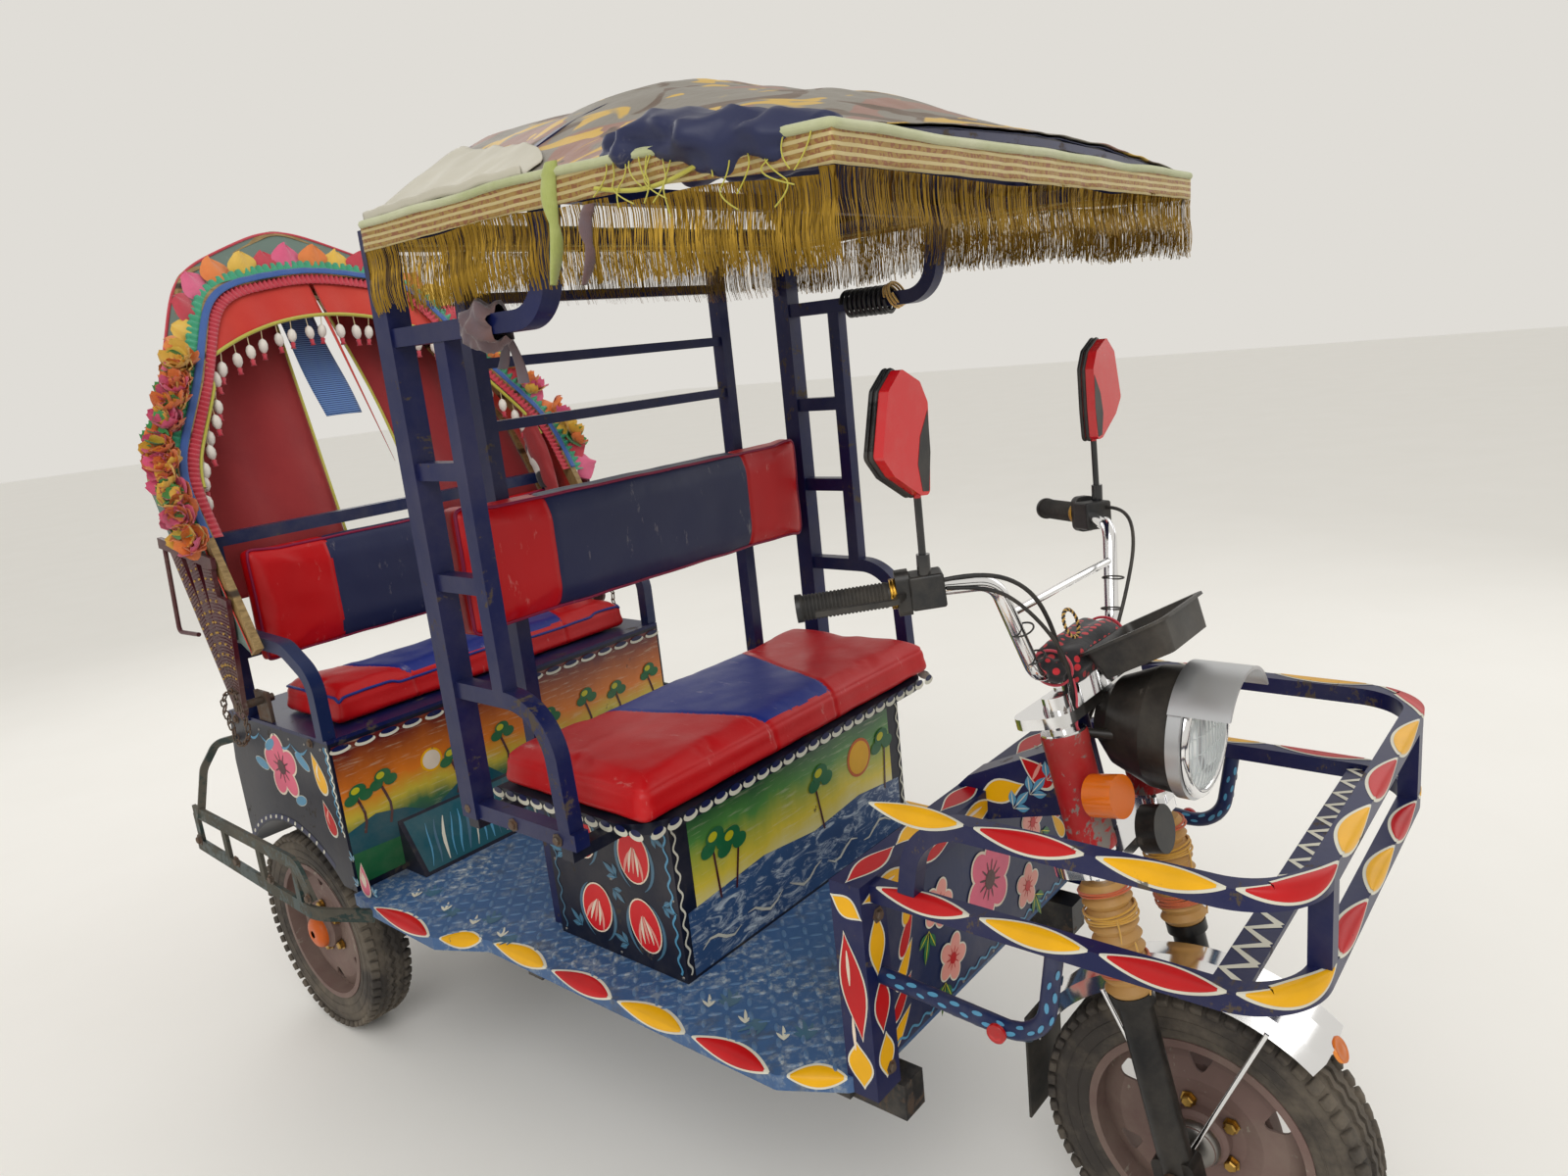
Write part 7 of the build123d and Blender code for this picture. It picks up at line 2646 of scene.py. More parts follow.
        covers = [self.cover("hood_cover_sheet", self.middle, self.last, "hood_cover"),
                  self.cover("hood_front_sheet", self.first, self.middle, "hood_front_cover")]
        ribbons = [keep(self.frill(*row)) for row in (
            ("hood_ruffle", -0.030, -0.002, 0.011, 0.0035, 0.014, Finish.RED_RIBBON, 0.0, (0.112, 0.888)),
            ("hood_blue_strip", -0.005, 0.011, 0.0185, 0.0006, 0.06, Finish.BLUE_RIBBON, 0.0, (0.112, 0.888)),
            ("hood_green_ribbon", 0.004, 0.036, 0.013, 0.0038, 0.019, Finish.GREEN_RIBBON, 0.15, (0.108, 0.892)))]
        trim = [keep(self.petals()), keep(self.flowers())]
        valance = keep(self.valance(), "hood_valance")
        edging = keep(Shop.tube("hood_valance_piping", self.lower_edge(), 0.0045, Finish.CORD_GOLD, sides=2))
        tassels = keep(self.tassels())
        flaps = [keep(self.curtain(SIDES[0]), "hood_curtain"), keep(self.curtain(SIDES[1]))]
        piping = keep(Shop.join("hood_curtain_piping", [self.curtain_piping(side) for side in SIDES]))
        strap = keep(self.strap())
        keep(self.side_cloth("hood_red_cloth", 0.52, 0.20, Finish.CURTAIN, 0.012))
        keep(self.side_cloth("hood_striped_cloth", 0.42, 0.24, Finish.STRIPES, 0.026))
        edge = [self.middle.edge(u, self.skin)[0] for u in np.linspace(0.02, 0.98, 90)]
        rim = keep(Shop.tube("hood_edging", edge, 0.004, Finish.RED_RIBBON, sides=2), slot="hood_cover")
        for made in (self.studs(), self.ribs(), self.chain()):
            keep(made, slot="slat_paint")
        for cover, extra in zip(covers, ([rim], trim)):
            Soft.measure(cover, "stretched", ["hood_bows", "hood_front_bow"], extra, self.cut_length)
        for ribbon in ribbons:
            Soft.measure(ribbon, "gathered", ["hood_front_bow"], (), self.gathered_length)
        Soft.measure(valance, "hung", ["hood_front_bow"], [edging, tassels])
        Soft.measure(flaps[0], "hung", ["hood_bows"], [piping])
        Soft.measure(flaps[1], "hung", ["hood_bows"])
        Soft.measure(strap, "hung", ["hood_bows"])


@dataclass
class Pads:
    """Seat cushions and backrests in coloured vinyl, puffed by a short cloth simulation."""

    pressure: float = 4.0
    shrink: float = 0.004

    def blank(self, name: str, low: Point, high: Point, corner: float, voxel: float) -> bpy.types.Object:
        """A block with rounded plan corners, dense enough to puff.

        Args:
            name: The pad's name.
            low: Lowest corner.
            high: Highest corner.
            corner: Radius of the edges.
            voxel: Size of its cells.

        Returns:
            The blank.
        """
        low, high = [v + self.shrink for v in low], [v - self.shrink for v in high]
        made = Shop.block(name, low, high, Finish.RED_VINYL, corner)
        return Shop.modified(made, ("REMESH", {"mode": "VOXEL", "voxel_size": voxel}))

    def puff(self, made: bpy.types.Object, cap: float, keep_flat: Callable[[Vector], float]) -> bpy.types.Object:
        """Swell a blank like stuffed vinyl.

        Args:
            made: The blank.
            cap: Largest move of a point.
            keep_flat: How freely a point may move, from 0 to 1.

        Returns:
            The swollen pad.
        """
        start = [v.co.copy() for v in made.data.vertices]
        step = made.modifiers.new("Cloth", "CLOTH")
        step.settings.use_pressure = True
        step.settings.uniform_pressure_force = self.pressure
        step.settings.effector_weights.gravity = 0
        step.settings.tension_stiffness = step.settings.compression_stiffness = 12
        for number in range(1, 21):
            bpy.context.scene.frame_set(number)
        seen = made.evaluated_get(bpy.context.evaluated_depsgraph_get())
        moved = [v.co.copy() for v in seen.data.vertices]
        made.modifiers.clear()
        bpy.context.scene.frame_set(1)
        for vertex, before, after in zip(made.data.vertices, start, moved):
            step_by = after - before
            reach = min(step_by.length, cap) * keep_flat(before)
            vertex.co = before + step_by.normalized() * reach if step_by.length > 1e-7 else before
        return Shop.modified(made, ("SUBSURF", {"levels": 1, "render_levels": 1}))

    @staticmethod
    def crease(made: bpy.types.Object, depth: Callable[[Vector, Vector], float]) -> None:
        """Press seams and tufts into a pad along its normals.

        Args:
            made: The pad.
            depth: Depth at a point with a normal.
        """
        made.data.update()
        normals = [v.normal.copy() for v in made.data.vertices]
        for vertex, normal in zip(made.data.vertices, normals):
            vertex.co -= normal * depth(vertex.co, normal)
        made.data.update()

    @staticmethod
    def paint(made: bpy.types.Object, finishes: Sequence[Finish], choose: Callable[[Vector, Vector], int]) -> None:
        """Give each face one of several finishes.

        Args:
            made: The pad.
            finishes: The finishes.
            choose: Index of the finish for a face.
        """
        made.data.materials.clear()
        for finish in finishes:
            made.data.materials.append(finish.material)
        made.data.polygons.foreach_set("material_index", [choose(p.center, p.normal) for p in made.data.polygons])
        Shop.shade(made, True).data.update()

    @staticmethod
    def groove(value: float, middle: float, half: float, depth: float) -> float:
        """Depth of a sewn groove at a distance from its line."""
        return depth * math.exp(-((value - middle) / half) ** 2)

    def cushion(self, name: str, node: str, low: Point, high: Point, blue: float, corner: float, slant: float,
                voxel: float) -> bpy.types.Object:
        """A bench cushion with a blue middle between red ends.

        Args:
            name: The piece's name.
            node: The solid that it stands for.
            low: Lowest corner, measured from the posts.
            high: Highest corner.
            blue: Half the width of the blue middle.
            corner: Radius of the edges.
            slant: How far the colour seams lean from rear to front.
            voxel: Size of its cells before it is smoothed.

        Returns:
            The cushion.
        """
        floor, top = low[2], high[2]
        made = self.blank(name, tuple(at(*low)), tuple(at(*high)), corner, voxel)
        made = self.puff(made, 0.013, lambda p: min(1.0, max(0.0, (p.z - floor - 0.004) / 0.03)))
        front = low[1] + SHIFT

        def pressed(p: Vector, n: Vector) -> float:
            """Seams across the top, a welt round the edge and a soft hollow at each seat.

            Args:
                p: A point of the pad.
                n: The normal there.

            Returns:
                The depth.
            """
            seam = self.groove(abs(p.x), blue + slant * (p.y - front), 0.004, 0.003)
            seam = seam if n.z > 0.3 or n.y < -0.5 else 0.0
            hollow = 0.006 * math.exp(-((abs(p.x) - 0.2) / 0.13) ** 2) * max(0.0, n.z)
            welt = self.groove(p.z, top - 0.016, 0.003, 0.0018) if abs(n.z) < 0.75 else 0.0
            ripple = 0.0016 * noise.noise(Vector((p.x * 16, p.y * 22, 2.0)))
            return seam + hollow * 0.6 + welt - ripple

        def middle(p: Vector, n: Vector) -> int:
            """Whether a face is in the blue middle."""
            return int(abs(p.x) < blue + slant * (p.y - front) and n.y > -0.55 and p.z > top - 0.03)

        self.crease(made, pressed)
        self.paint(made, (Finish.RED_VINYL, Finish.BLUE_VINYL), middle)
        Shop.keep(made, "chassis", "seat_vinyl", node)
        return made

    def backrest(self, name: str, node: str, low: Point, high: Point, navy: Pair, corner: float,
                 voxel: float) -> bpy.types.Object:
        """An upright pad with a navy middle, tufted along its seams.

        Args:
            name: The piece's name.
            node: The solid that it stands in for.
            low: The pad's low corner.
            high: Its high corner.
            navy: Both edges of the navy middle.
            corner: Radius of its corners.
            voxel: Size of the cells.

        Returns:
            The backrest.
        """
        made = self.blank(name, tuple(at(*low)), tuple(at(*high)), corner, voxel)
        rear = high[1] + SHIFT
        made = self.puff(made, 0.010, lambda p: min(1.0, max(0.0, (rear - p.y - 0.004) / 0.02)))

        def pressed(p: Vector, n: Vector) -> float:
            """Colour seams and the welt round the face.

            Args:
                p: A point of the pad.
                n: The normal there.

            Returns:
                The depth.
            """
            seam = self.groove(p.x, navy[0], 0.004, 0.003) + self.groove(p.x, navy[1], 0.004, 0.003)
            seam = seam if n.y < -0.3 or n.z > 0.4 else 0.0
            edge = min(abs(p.x - low[0] - 0.012), abs(high[0] - 0.012 - p.x),
                       abs(p.z - low[2] - 0.012), abs(high[2] - 0.012 - p.z))
            welt = 0.0016 * math.exp(-(edge / 0.003) ** 2) if n.y < -0.4 else 0.0
            return seam + welt - 0.0018 * noise.noise(Vector((p.x * 13, p.z * 19, 7.0)))

        self.crease(made, pressed)
        self.paint(made, (Finish.RED_VINYL, Finish.NAVY_VINYL), lambda p, n: int(navy[0] < p.x < navy[1]))
        Shop.keep(made, "chassis", "seat_vinyl", node)
        return made

    @staticmethod
    def loop(low: Point, high: Point, axis: int, level: float, corner: float) -> list[Vector]:
        """Rounded rectangle round a pad at one level of an axis.

        Args:
            low: The pad's low corner.
            high: Its high corner.
            axis: Axis across the loop's plane.
            level: Place on that axis.
            corner: Radius of the corners.

        Returns:
            The loop's points.
        """
        u, v = [k for k in range(3) if k != axis]
        out = []
        for cu, cv, start in ((1, 1, 0), (-1, 1, 1), (-1, -1, 2), (1, -1, 3)):
            for t in range(6):
                angle = (start + t / 5) * math.pi / 2
                point = [0.0, 0.0, 0.0]
                point[u] = (high[u] - corner if cu > 0 else low[u] + corner) + corner * math.cos(angle)
                point[v] = (high[v] - corner if cv > 0 else low[v] + corner) + corner * math.sin(angle)
                point[axis] = level
                out.append(at(*point))
        return out

    @staticmethod
    def hug(pad: bpy.types.Object, line: Sequence[Vector], lift: float) -> list[Vector]:
        """Lay a closed line on a pad's surface.

        Args:
            pad: The pad.
            line: Corner points of the line, near the surface.
            lift: Distance of the laid line from the surface.

        Returns:
            Points of the laid line.
        """
        tree = BVHTree.FromPolygons([v.co for v in pad.data.vertices], [p.vertices for p in pad.data.polygons])
        laid = []
        for point, _ in along_line([*line, line[0]], 0.014)[:-1]:
            spot, normal, _, _ = tree.find_nearest(point)
            laid.append(spot + normal * lift)
        return laid

    def build(self) -> None:
        """Make both benches."""
        self.cushion("driver_cushion_pad", "driver_cushion", (-0.430, -0.385, 0.7555), (0.430, 0.008, 0.825), 0.085,
                     0.020, 0.32, 0.0074)
        rear = self.cushion("rear_cushion_pad", "rear_cushion", (-0.424, 0.572, 0.7685), (0.424, 0.835, 0.840), 0.21,
                            0.018, 0.35, 0.0088)
        rests = (self.backrest("driver_back_pad", "driver_backrest", (-0.460, -0.048, 1.033), (0.460, 0.012, 1.267),
                               (-0.262, 0.262), 0.016, 0.0078),
                 self.backrest("rear_back_pad", "rear_backrest", (-0.434, 0.830, 0.880), (0.434, 0.875, 1.150),
                               (-0.235, 0.235), 0.014, 0.0088))
        pipes = (("rear_cushion", rear, (-0.424, 0.572, 0), (0.424, 0.835, 0), 2, 0.834, 0.02, Finish.BLUE_VINYL),
                 ("driver_back", rests[0], (-0.460, 0, 1.033), (0.460, 0, 1.267), 1, -0.0445, 0.018,
                  Finish.MAGENTA_VINYL),
                 ("rear_back", rests[1], (-0.434, 0, 0.880), (0.434, 0, 1.150), 1, 0.8335, 0.018,
                  Finish.MAGENTA_VINYL))
        for name, pad, low, high, axis, level, corner, finish in pipes:
            line = self.hug(pad, self.loop(low, high, axis, level, corner), 0.0012)
            pipe = Shop.tube(name + "_piping", line, 0.0032, finish, closed=True, sides=2)
            Shop.keep(pipe, "chassis", "seat_vinyl")


@dataclass
class Steering:
    """Everything small that turns with the handlebar."""

    rake: float = math.radians(13)
    axle_y: float = -1.083
    axle_z: float = 0.242
    fork_x: float = 0.110
    lamp: Point = (0.0, -1.0675, 0.887)
    mirror_wedge: tuple[Pair, ...] = ((-53, -28), (-44, -77), (-29, -75), (-22, -40), (-31, -6), (-53, 26))
    mirror: tuple[Pair, ...] = ((54, -21), (31, 57), (0, 81), (-40, 62), (-55, 35), (-52, -32), (-46, -82),
                                (-26, -80), (31, -47))

    def on_fork(self, x: float, s: float) -> Vector:
        """Place on the fork's line, s up from the axle."""
        return at(x, self.axle_y + s * math.sin(self.rake), self.axle_z + s * math.cos(self.rake))

    @property
    def axis(self) -> Vector:
        """Upward direction of the fork."""
        return Vector((0, math.sin(self.rake), math.cos(self.rake)))

    def wraps(self) -> None:
        """Twine wound over the fork gaiters, and loose ends of it."""
        rng = random.Random(9)
        bands = ((0.318, 0.342, Finish.ORANGE_TWINE, 0.0042), (0.398, 0.416, Finish.TWINE, 0.0042),
                 (0.440, 0.452, Finish.ORANGE_TWINE, 0.0045))
        for side, tag in zip(SIDES, ("left", "right")):
            parts = []
            for start, end, finish, pitch in bands:
                line = []
                for k in range(int((end - start) / pitch) * 14 + 1):
                    angle = 2 * math.pi * k / 14
                    centre = self.on_fork(side * self.fork_x, start + pitch * k / 14 + 0.0012 * math.sin(2.2 * angle))
                    line.append(centre + self.ring(angle) * (0.0372 + 0.0012 * math.sin(0.7 * k)))
                parts.append(Shop.tube("wrap", line, 0.0019, finish, sides=1))
            for k in range(3):
                base = self.on_fork(side * self.fork_x, 0.33 + 0.04 * k) + self.ring(rng.uniform(3.5, 5.5)) * 0.038
                line = [base, base + Vector((0, -0.006, -0.018)), base + Vector((0.004, -0.005, -0.045))]
                parts.append(Shop.tube("end", line, 0.0015, Finish.TWINE, sides=1))
            Shop.keep(Shop.join(f"fork_twine_{tag}", parts), "steering", "gaiter_wrap")

    def ring(self, angle: float) -> Vector:
        """Direction round the fork at an angle."""
        across = Vector((1, 0, 0))
        return across * math.cos(angle) + self.axis.cross(across) * math.sin(angle)

    def sleeves(self) -> None:
        """Red painted sleeves with worn lips over the upper legs."""
        for side, tag in zip(SIDES, ("left", "right")):
            frame_at = frame_of(self.on_fork(side * self.fork_x, 0.0), self.axis)
            profile = ((0.0322, 0.505), (0.0336, 0.507), (0.0336, 0.520), (0.0326, 0.524), (0.0326, 0.655),
                       (0.0336, 0.659), (0.0336, 0.674), (0.0322, 0.677))
            Shop.keep(Shop.lathe(f"fork_sleeve_{tag}", profile, Finish.SCUFFED_RED, frame_at, 40), "steering",
                      "sleeve_paint")
            cap = ((0.0, 0.722), (0.012, 0.721), (0.019, 0.717), (0.0205, 0.710), (0.0205, 0.7085))
            Shop.keep(Shop.lathe(f"fork_cap_{tag}", cap, Finish.STEEL, frame_at, 6), "steering", "chrome")

    @staticmethod
    def dome(radius: float) -> float:
        """Height of the lamp's glass at a distance from its middle."""
        return 0.0362 - 0.0105 * (radius / 0.078) ** 2.3

    def headlamp(self) -> None:
        """The ribbed glass and the bead round it."""
        facing = frame_of(at(*self.lamp), (0, -1, 0), (1, 0, 0))
        profile = [(r, self.dome(r)) for r in (0.0, 0.02, 0.04, 0.06, 0.072, 0.078)] + [(0.080, 0.022)]
        parts = [Shop.lathe("pane", profile, Finish.LENS, facing)]
        for upright, places, lift, thick in ((True, [k * 0.0115 for k in range(-6, 7)], 0.0003, 0.0014),
                                             (False, (-0.04, -0.013, 0.013, 0.04), 0.0001, 0.0010)):
            for place in places:
                half = math.sqrt(0.0765 ** 2 - place ** 2)
                spots = [(place, half * t / 6) if upright else (half * t / 6, place) for t in range(-6, 7)]
                line = [facing @ Vector((x, y, self.dome(math.hypot(x, y)) + lift)) for x, y in spots]
                parts.append(Shop.tube("rib", line, thick, Finish.LENS, sides=1))
        Shop.keep(Shop.join("lamp_glass", parts), "steering", "lamp_silver")
        bead = ((0.079, 0.023), (0.081, 0.0285), (0.086, 0.0290), (0.0905, 0.0265), (0.092, 0.0215))
        Shop.keep(Shop.lathe("lamp_bead", bead, Finish.CHROME, facing), "steering", "lamp_silver")

    def cables(self) -> None:
        """Control cables from the grips to the lamp's bracket."""
        routes = (
            ("throttle_cable", 0.0062, (
                (-0.262, -0.846, 1.152), (-0.235, -0.890, 1.160), (-0.185, -0.928, 1.130),
                (-0.130, -0.932, 1.060), (-0.085, -0.925, 0.975), (-0.060, -0.915, 0.905), (-0.045, -0.900, 0.850))),
            ("brake_cable", 0.0056, (
                (-0.252, -0.843, 1.138), (-0.222, -0.888, 1.138), (-0.178, -0.918, 1.100),
                (-0.130, -0.945, 1.030), (-0.095, -0.942, 0.955), (-0.072, -0.930, 0.895), (-0.050, -0.905, 0.845))),
            ("far_cable", 0.0058, (
                (0.262, -0.846, 1.152), (0.232, -0.890, 1.158), (0.180, -0.926, 1.120), (0.128, -0.930, 1.045),
                (0.082, -0.922, 0.965), (0.058, -0.912, 0.900), (0.042, -0.895, 0.850))))
        for name, thick, route in routes:
            line = Shop.line(name, [at(*p) for p in route])
            line.data.bevel_depth = thick / 2
            line.data.bevel_resolution = 3
            line.data.materials.append(Finish.WIRE.material)
            Shop.keep(line, "steering", "black_plastic")
            length = sum(s.calc_length() for s in line.data.splines)
            LOG.info("cord %s is %.3f m", name, length)
            tuple(at(*route[0]))

    def glass(self) -> None:
        """Mirror glass, a dark moulded rim and a dark wedge on both mirror heads."""
        for side in SIDES:
            corners = [(u * side / 1000, v / 1000) for u, v in (*self.mirror, *self.mirror[:2])]
            face = rounded_line(corners, (0.008,) * len(self.mirror), 0.004)[1:-2]
            centre = at(side * 0.308, -0.821, 1.346)
            pane = [centre + Vector((p.x * 0.86, 0.0104, p.y * 0.88)) for p in face]
            wedge = [centre + Vector((u * side / 1000, -0.0134, v / 1000)) for u, v in self.mirror_wedge]
            rims = [Shop.tube("rim", [centre + Vector((p.x, y, p.y)) for p in face], 0.0034, Finish.ABS, closed=True,
                              sides=2, smooth=False) for y in (0.0118, 0.0045)]
            order = [range(len(wedge))[::1 if side > 0 else -1]]
            glass = Shop.mesh("mirror_glass", pane, [range(len(pane))], [Finish.MIRROR], smooth=False)
            for kind, made in (("glass", glass), ("rim", Shop.join("mirror_rim", rims)),
                               ("wedge", Shop.mesh("mirror_wedge", wedge, order, [Finish.ABS], smooth=False))):
                made.name = f"mirror_{kind}_{side_name(side)}"
                Shop.keep(made, "steering", "mirror_shell")

    def grips(self) -> None:
        """Ribbed rubber grips with a gold ring inside each."""
        rib = ((0.0174, 0.0), (0.0174, 0.0026), (0.0162, 0.0032), (0.0162, 0.0048))
        ribs = [(radius, 0.044 + 0.0050 * k + z) for k in range(22) for radius, z in rib]
        profile = [(0.0160, 0.041), *ribs, (0.0188, 0.1555), (0.0190, 0.1590), (0.014, 0.1600), (0.0, 0.1602)]
        ring = ((0.0192, 0.0300), (0.0204, 0.0312), (0.0204, 0.0336), (0.0196, 0.0340), (0.0196, 0.0346),
                (0.0204, 0.0350), (0.0204, 0.0372), (0.0192, 0.0382))
        for side in SIDES:
            line = frame_of(at(side * 0.270, -0.8116, 1.1379), (side * 0.611, 0.789, -0.067), (0, 0, 1))
            for kind, shape, finish, segments, slot in (("grip", profile, Finish.RUBBER, 24, "black_plastic"),
                                                        ("grip_ring", ring, Finish.GOLD, 28, "chrome")):
                Shop.keep(Shop.lathe(f"{kind}_{side_name(side)}", shape, finish, line, segments), "steering", slot)

    def build(self) -> None:
        """Make the steering's fittings."""
        self.wraps()
        self.sleeves()
        self.headlamp()
        self.cables()
        self.glass()
        self.grips()


@dataclass
class Cage:
    """Painted lenses on the basket and dabs on the tubes under it."""

    ring: tuple[Pair, ...] = ((-0.345, -0.76), (-0.345, -1.300), (0.345, -1.300), (0.345, -0.76))
    corner: float = 0.088
    tube: float = 0.0132
    support: tuple[Pair, ...] = ((-0.760, 0.588), (-1.000, 0.572), (-1.020, 0.700))
    support_x: float = 0.345
    support_radius: float = 0.012

    def outward(self, point: Vector) -> Vector:
        """Direction out of the basket at a point of its ring.

        Args:
            point: A point of the ring.

        Returns:
            The direction.
        """
        if abs(point.x) > 0.34:
            return Vector((math.copysign(1, point.x), 0, 0))
        if abs(point.x) < 0.258:
            return Vector((0, -1, 0))
        return Vector((point.x - math.copysign(0.257, point.x), point.y - at(0, -1.212, 0).y, 0)).normalized()

    def basket(self) -> None:
        """Lenses along the upper outer edges of the ring and the hoop."""
        parts = []
        for height, first in ((0.722, 0), (0.848, 1)):
            middle = [at(p.x, p.y, height) for p in rounded_line(self.ring, (self.corner, self.corner), 0.008)]
            line = tuple(p + self.outward(p) * self.tube + Vector((0, 0, self.tube)) for p in middle)
            parts.append(EdgeLenses(line, self.outward, 0.145, 0.0215, 0.0215, first).build("lenses"))
        Shop.keep(Shop.join("basket_lenses", parts), "chassis", "frame_paint")

    def tube_spots(self) -> None:
        """Sky blue dabs round the bent tubes under the basket."""
        dab = Shop.mesh("dab", [(x, y, 0) for x, y in round_points(0.0075, 0.0028, 10)], [range(10)], [Finish.SKY])
        spots = []
        for side in SIDES:
            line = [at(side * self.support_x, p.x, p.y) for p in rounded_line(self.support, (0.060,), 0.006)]
            for number, (point, way) in enumerate(along_line(line, 0.017, 0.012)):
                for turn in (0.4, 2.5, 4.6):
                    out = Matrix.Rotation(turn + 0.7 * (number % 2), 3, way) @ way.orthogonal().normalized()
                    spots.append(frame_of(point + out * (self.support_radius + 0.0004), out, way))
        Shop.keep(NodeKit.repeat("support_spots", dab, spots, Finish.SKY, 0.2, 0.2, 5), "chassis", "frame_paint")

    def build(self) -> None:
        """Paint and dress the frames."""
        self.basket()
        self.tube_spots()


@dataclass
class Fittings:
    """Small things fastened to the frames: knots, tape, reflectors, bolts and the tray's wire."""

    clamp: Pair = (-0.909, 0.987)
    lace_x: float = 0.092
    cage_x: float = 0.485

    def knot(self, name: str, centre: Vector, along: Vector, radius: float, finish: Finish, body: str,
             slot: str) -> None:
        """A rag tied round a bar with two hanging ends.

        Args:
            name: The piece's name.
            centre: Where the bar is gripped.
            along: Direction of the bar.
            radius: Radius of the winding.
            finish: Finish of the cloth.
            body: Body that carries it.
            slot: The record's slot.
        """
        way = along.normalized()
        side = way.cross(Vector((0, 0, 1))).normalized()
        up = side.cross(way)

        def wind(u: float, v: float) -> Vector:
            """Point of the winding's skin.

            Args:
                u: Share of the way round or across.
                v: Share of the way along.

            Returns:
                The point.
            """
            angle = 2 * math.pi * u
            c, s = math.cos(angle), math.sin(angle)
            bump = noise.noise(Vector((c * 2, s * 2, v * 6)))
            fat = radius * (1 + 0.18 * math.sin(5 * angle + 9 * v) + 0.25 * bump)
            return centre + way * 0.07 * (v - 0.5) + (side * c + up * s) * fat * (0.75 + 0.35 * math.sin(math.pi * v))

        parts = [Shop.grid("wind", wind, 28, 22, finish, wrap=True)]
        for lean, length in ((-0.4, 0.085), (0.5, 0.062)):
            start = centre + side * radius * 0.8

            def tail(u: float, v: float) -> Vector:
                """Point of a loose end.

                Args:
                    u: Share of the way round or across.
                    v: Share of the way along.

                Returns:
                    The point.
                """
                angle = 2 * math.pi * u
                wide = 0.010 * (0.7 + 0.7 * v)
                drop = start + way * lean * 0.05 * v + side * 0.012 * math.sin(2.2 * v) - Vector((0, 0, length * v))
                return drop + way * math.cos(angle) * wide + side * math.sin(angle) * 0.0022

            parts.append(Shop.grid("tail", tail, 14, 14, finish, wrap=True))
        Shop.keep(Shop.join(name, parts), body, slot)

    def tape(self, name: str, a: Vector, b: Vector, radius: float, turns: int, finish: Finish, body: str,
             slot: str) -> None:
        """Tape wound along a bar.

        Args:
            name: The piece's name.
            a: Start of the bar's taped part.
            b: Its end.
            radius: Radius of the winding.
            turns: How many turns.
            finish: Finish of the tape.
            body: Body that carries it.
            slot: The record's slot.
        """
        way = (b - a).normalized()
        side = way.cross(Vector((0, 0.3, 1))).normalized()
        up = side.cross(way)
        line = []
        for k in range(turns * 12 + 1):
            out = side * math.cos(k * math.pi / 6) + up * math.sin(k * math.pi / 6)
            line.append(a.lerp(b, k / (turns * 12)) + out * radius)
        Shop.keep(Shop.tube(name, line, (b - a).length / turns * 0.36, finish, sides=1), body, slot)

    def reflector(self, name: str, place: Matrix, radius: float, finish: Finish, body: str, slot: str) -> None:
        """Round reflector with a stepped face in a thin rim.

        Args:
            name: The piece's name.
            place: Its frame, with the face along its z.
            radius: Radius of the face.
            finish: Finish of the lens.
            body: Body that carries it.
            slot: The record's slot.
        """
        profile = [(radius * 1.12, 0.0), (radius * 1.12, 0.005), (radius, 0.006), (radius * 0.9, 0.0052),
                   (radius * 0.45, 0.0066), (0.0, 0.0070)]
        Shop.keep(Shop.lathe(name, profile, finish, place, 24), body, slot)

    def bolts(self) -> None:
        """Hexagon bolts and washers on the armrests' feet, the guards and the ladders."""
        outline = ((0.0, 0.0062), (0.0065, 0.0062), (0.0078, 0.005), (0.0078, 0.0012), (0.0125, 0.0012),
                   (0.0125, -0.001))
        head = Shop.lathe("head", outline, Finish.RUSTY, segments=6, smooth=False)
        spots = []
        for side in SIDES:
            spots += [frame_of(at(side * 0.500, y, z), (side, 0, 0), (0, 0, 1))
                      for y, z in ((-0.255, 0.747), (-0.140, 0.747), (-0.02, 0.752))]
            spots += [frame_of(at(side * 0.5825, y, z), (side, 0, 0), (0, 0, 1))
                      for y, z in ((0.505, 0.472), (0.667, 0.472), (0.830, 0.472), (1.025, 0.478))]
            spots += [frame_of(at(side * 0.343, -0.752, z), (0, -1, 0), (1, 0, 0)) for z in (0.436, 0.682)]
            spots += [frame_of(at(side * 0.4722, y, 0.752), (side, 0, 0), (0, 0, 1)) for y in (0.60, 0.95)]
        Shop.keep(NodeKit.repeat("frame_bolts", head, spots, Finish.RUSTY, 0.5, 0.1, 8), "chassis", "axle_steel")

    def rivets(self) -> None:
        """Pop rivets along the edges of the sheet panels."""
        item = Shop.lathe("rivet", ((0.0, 0.0016), (0.0022, 0.0013), (0.0036, 0.0002), (0.0036, -0.0005)),
                          Finish.STEEL, segments=10)
        spots = [frame_of(at(x, -0.732, z), (0, -1, 0)) for x in np.linspace(-0.30, 0.30, 7) for z in (0.430, 0.686)]
        for side in SIDES:
            spots += [frame_of(at(side * 0.3412, y, z), (side, 0, 0), (0, 0, 1)) for y in (-0.325, -0.168, -0.012)
                      for z in (0.434, 0.580, 0.728)]
            spots += [frame_of(at(side * 0.4722, y, 0.744), (side, 0, 0), (0, 0, 1))
                      for y in np.linspace(0.56, 0.98, 7)]
        Shop.keep(NodeKit.repeat("panel_rivets", item, spots, Finish.STEEL, 0.4, 0.15, 12), "chassis", "frame_paint")

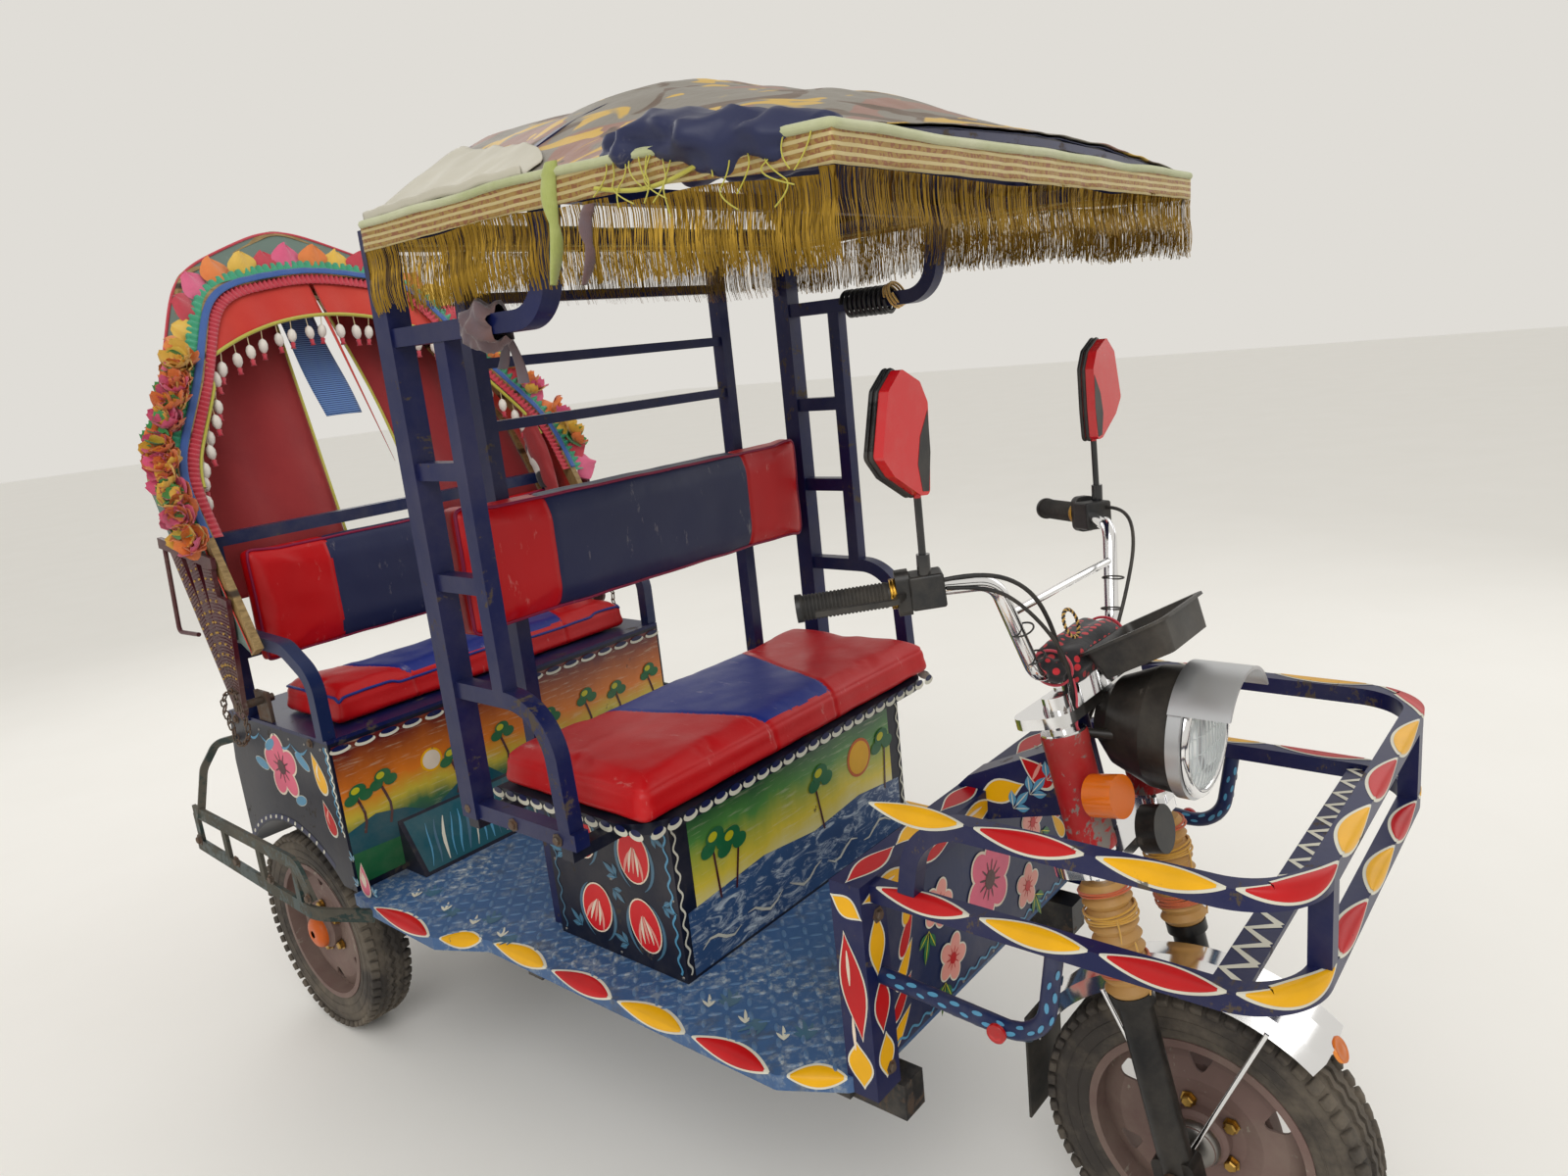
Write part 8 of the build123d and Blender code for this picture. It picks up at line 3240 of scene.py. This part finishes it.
    def tray_wire(self) -> None:
        """Yellow and black wire twisted into a ring behind the tray."""
        centre = at(-0.060, -0.925, 1.046)
        parts = []
        for phase, finish in ((0.0, Finish.TWINE), (math.pi, Finish.WIRE)):
            line = []
            for k in range(97):
                angle = 2 * math.pi * k / 96
                out = Vector((math.cos(angle), 0.35 * math.sin(angle), math.sin(angle)))
                reach = 0.019 + 0.0016 * math.cos(14 * angle + phase)
                line.append(centre + out * reach + Vector((0, 0.0016 * math.sin(14 * angle + phase), 0)))
            parts.append(Shop.tube("strand", line, 0.0014, finish, closed=True, sides=1))
        Shop.keep(Shop.join("tray_wire_ring", parts), "steering", "black_plastic")

    def bar_cloth(self) -> None:
        """Dotted cloth bunched over the clamp and tied at both ends."""
        def place(u: float, v: float) -> Vector:
            """Point of the bundle's skin.

            Args:
                u: Share of the way round or across.
                v: Share of the way along.

            Returns:
                The point.
            """
            angle = 2 * math.pi * u
            x = -0.117 + 0.234 * v
            pinch = 1 - 0.30 * math.exp(-((abs(x) - self.lace_x) / 0.010) ** 2)
            end = max(0.05, 1 - (abs(x) / 0.118) ** 8)
            c, s = math.cos(angle), math.sin(angle)
            fold = 1 + 0.07 * math.sin(7 * angle + 20 * x) + 0.16 * noise.noise(Vector((c * 1.5, s * 1.5, x * 16)))
            square = 1 / max(abs(c), abs(s)) ** 0.45
            return at(x, self.clamp[0] + 0.036 * c * square * pinch * fold * end,
                      self.clamp[1] + 0.029 * s * square * pinch * fold * end)

        made = Shop.grid("clamp_wrap", place, 60, 90, Finish.DOTS, wrap=True)
        Shop.keep(made, "steering", "dotted_cloth", "clamp_cloth")
        laces = []
        for side in SIDES:
            ring = [at(side * self.lace_x, self.clamp[0] + y, self.clamp[1] + z)
                    for y, z in round_points(0.0305, 0.0260, 20)]
            laces.append(Shop.tube("lace", ring, 0.0022, Finish.RED_RIBBON, closed=True, sides=1))
            tail = [at(side * x, y, z) for x, y, z in ((self.lace_x, -0.940, 0.975), (0.098, -0.948, 0.955),
                                                       (0.094, -0.944, 0.930), (0.103, -0.948, 0.905))]
            laces.append(Shop.tube("lace", tail, 0.0018, Finish.RED_RIBBON, sides=1))
        Shop.keep(Shop.join("clamp_laces", laces), "steering", "dotted_cloth")

    def ties(self) -> None:
        """Zip ties that hold the cables to the bar."""
        parts = []
        for side in SIDES:
            for place in ((side * 0.155, -0.898, 1.060), (side * 0.135, -0.903, 1.015)):
                base = frame_of(at(*place), (side * 0.06, 0.02, 0.151))
                ring = [base @ Vector((x, y, 0)) for x, y in round_points(0.0165, 0.0165, 16)]
                parts.append(Shop.tube("tie", ring, 0.0014, Finish.ABS, closed=True, sides=1))
        Shop.keep(Shop.join("cable_ties", parts), "steering", "black_plastic")

    def build(self) -> None:
        """Fasten everything."""
        bar = self.cage_x
        self.knot("cage_rag", at(-bar, -0.262, 1.537), Vector((0, 1, 0)), 0.030, Finish.RAG, "chassis",
                  "frame_paint")
        self.tape("cage_tape", at(bar, -0.190, 1.537), at(bar, -0.300, 1.537), 0.0265, 9, Finish.BLACK_TAPE,
                  "chassis", "frame_paint")
        self.tape("cage_yellow_tie", at(bar, -0.302, 1.540), at(bar, -0.322, 1.548), 0.0265, 3, Finish.TWINE,
                  "chassis", "frame_paint")
        self.reflector("guard_reflector", frame_of(at(0, -1.2655, 0.448), (0, -0.85, 0.5)), 0.016, Finish.AMBER,
                       "steering", "amber")
        for side, tag in zip(SIDES, ("right", "left")):
            for kind, place, out, radius in (("brace", (side * 0.3575, -0.94, 0.574), (side, 0, 0), 0.012),
                                             ("rear", (side * 0.250, 0.9855, 0.600), (0, 1, 0), 0.026)):
                self.reflector(f"{kind}_reflector_{tag}", frame_of(at(*place), out, (0, 0, 1)), radius,
                               Finish.RED_LENS, "chassis", "amber")
        self.bolts()
        self.rivets()
        self.tray_wire()
        self.bar_cloth()
        self.ties()


def main() -> None:
    """Build every piece in order and report each."""
    logging.basicConfig(level=logging.INFO, format="%(message)s")
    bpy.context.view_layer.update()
    Studio().build()
    Wardrobe.dress(frame["nodes"])
    for piece in (Steering(), Canopy(), Hood(), Pads(), Wheels(), Deck(), PaintedPanels(), Cage(), Fittings()):
        piece.build()
        LOG.info("built %s", type(piece).__name__)
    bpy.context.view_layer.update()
    LOG.info("%d pieces registered", Shop.count)


if __name__ == "__main__":
    main()
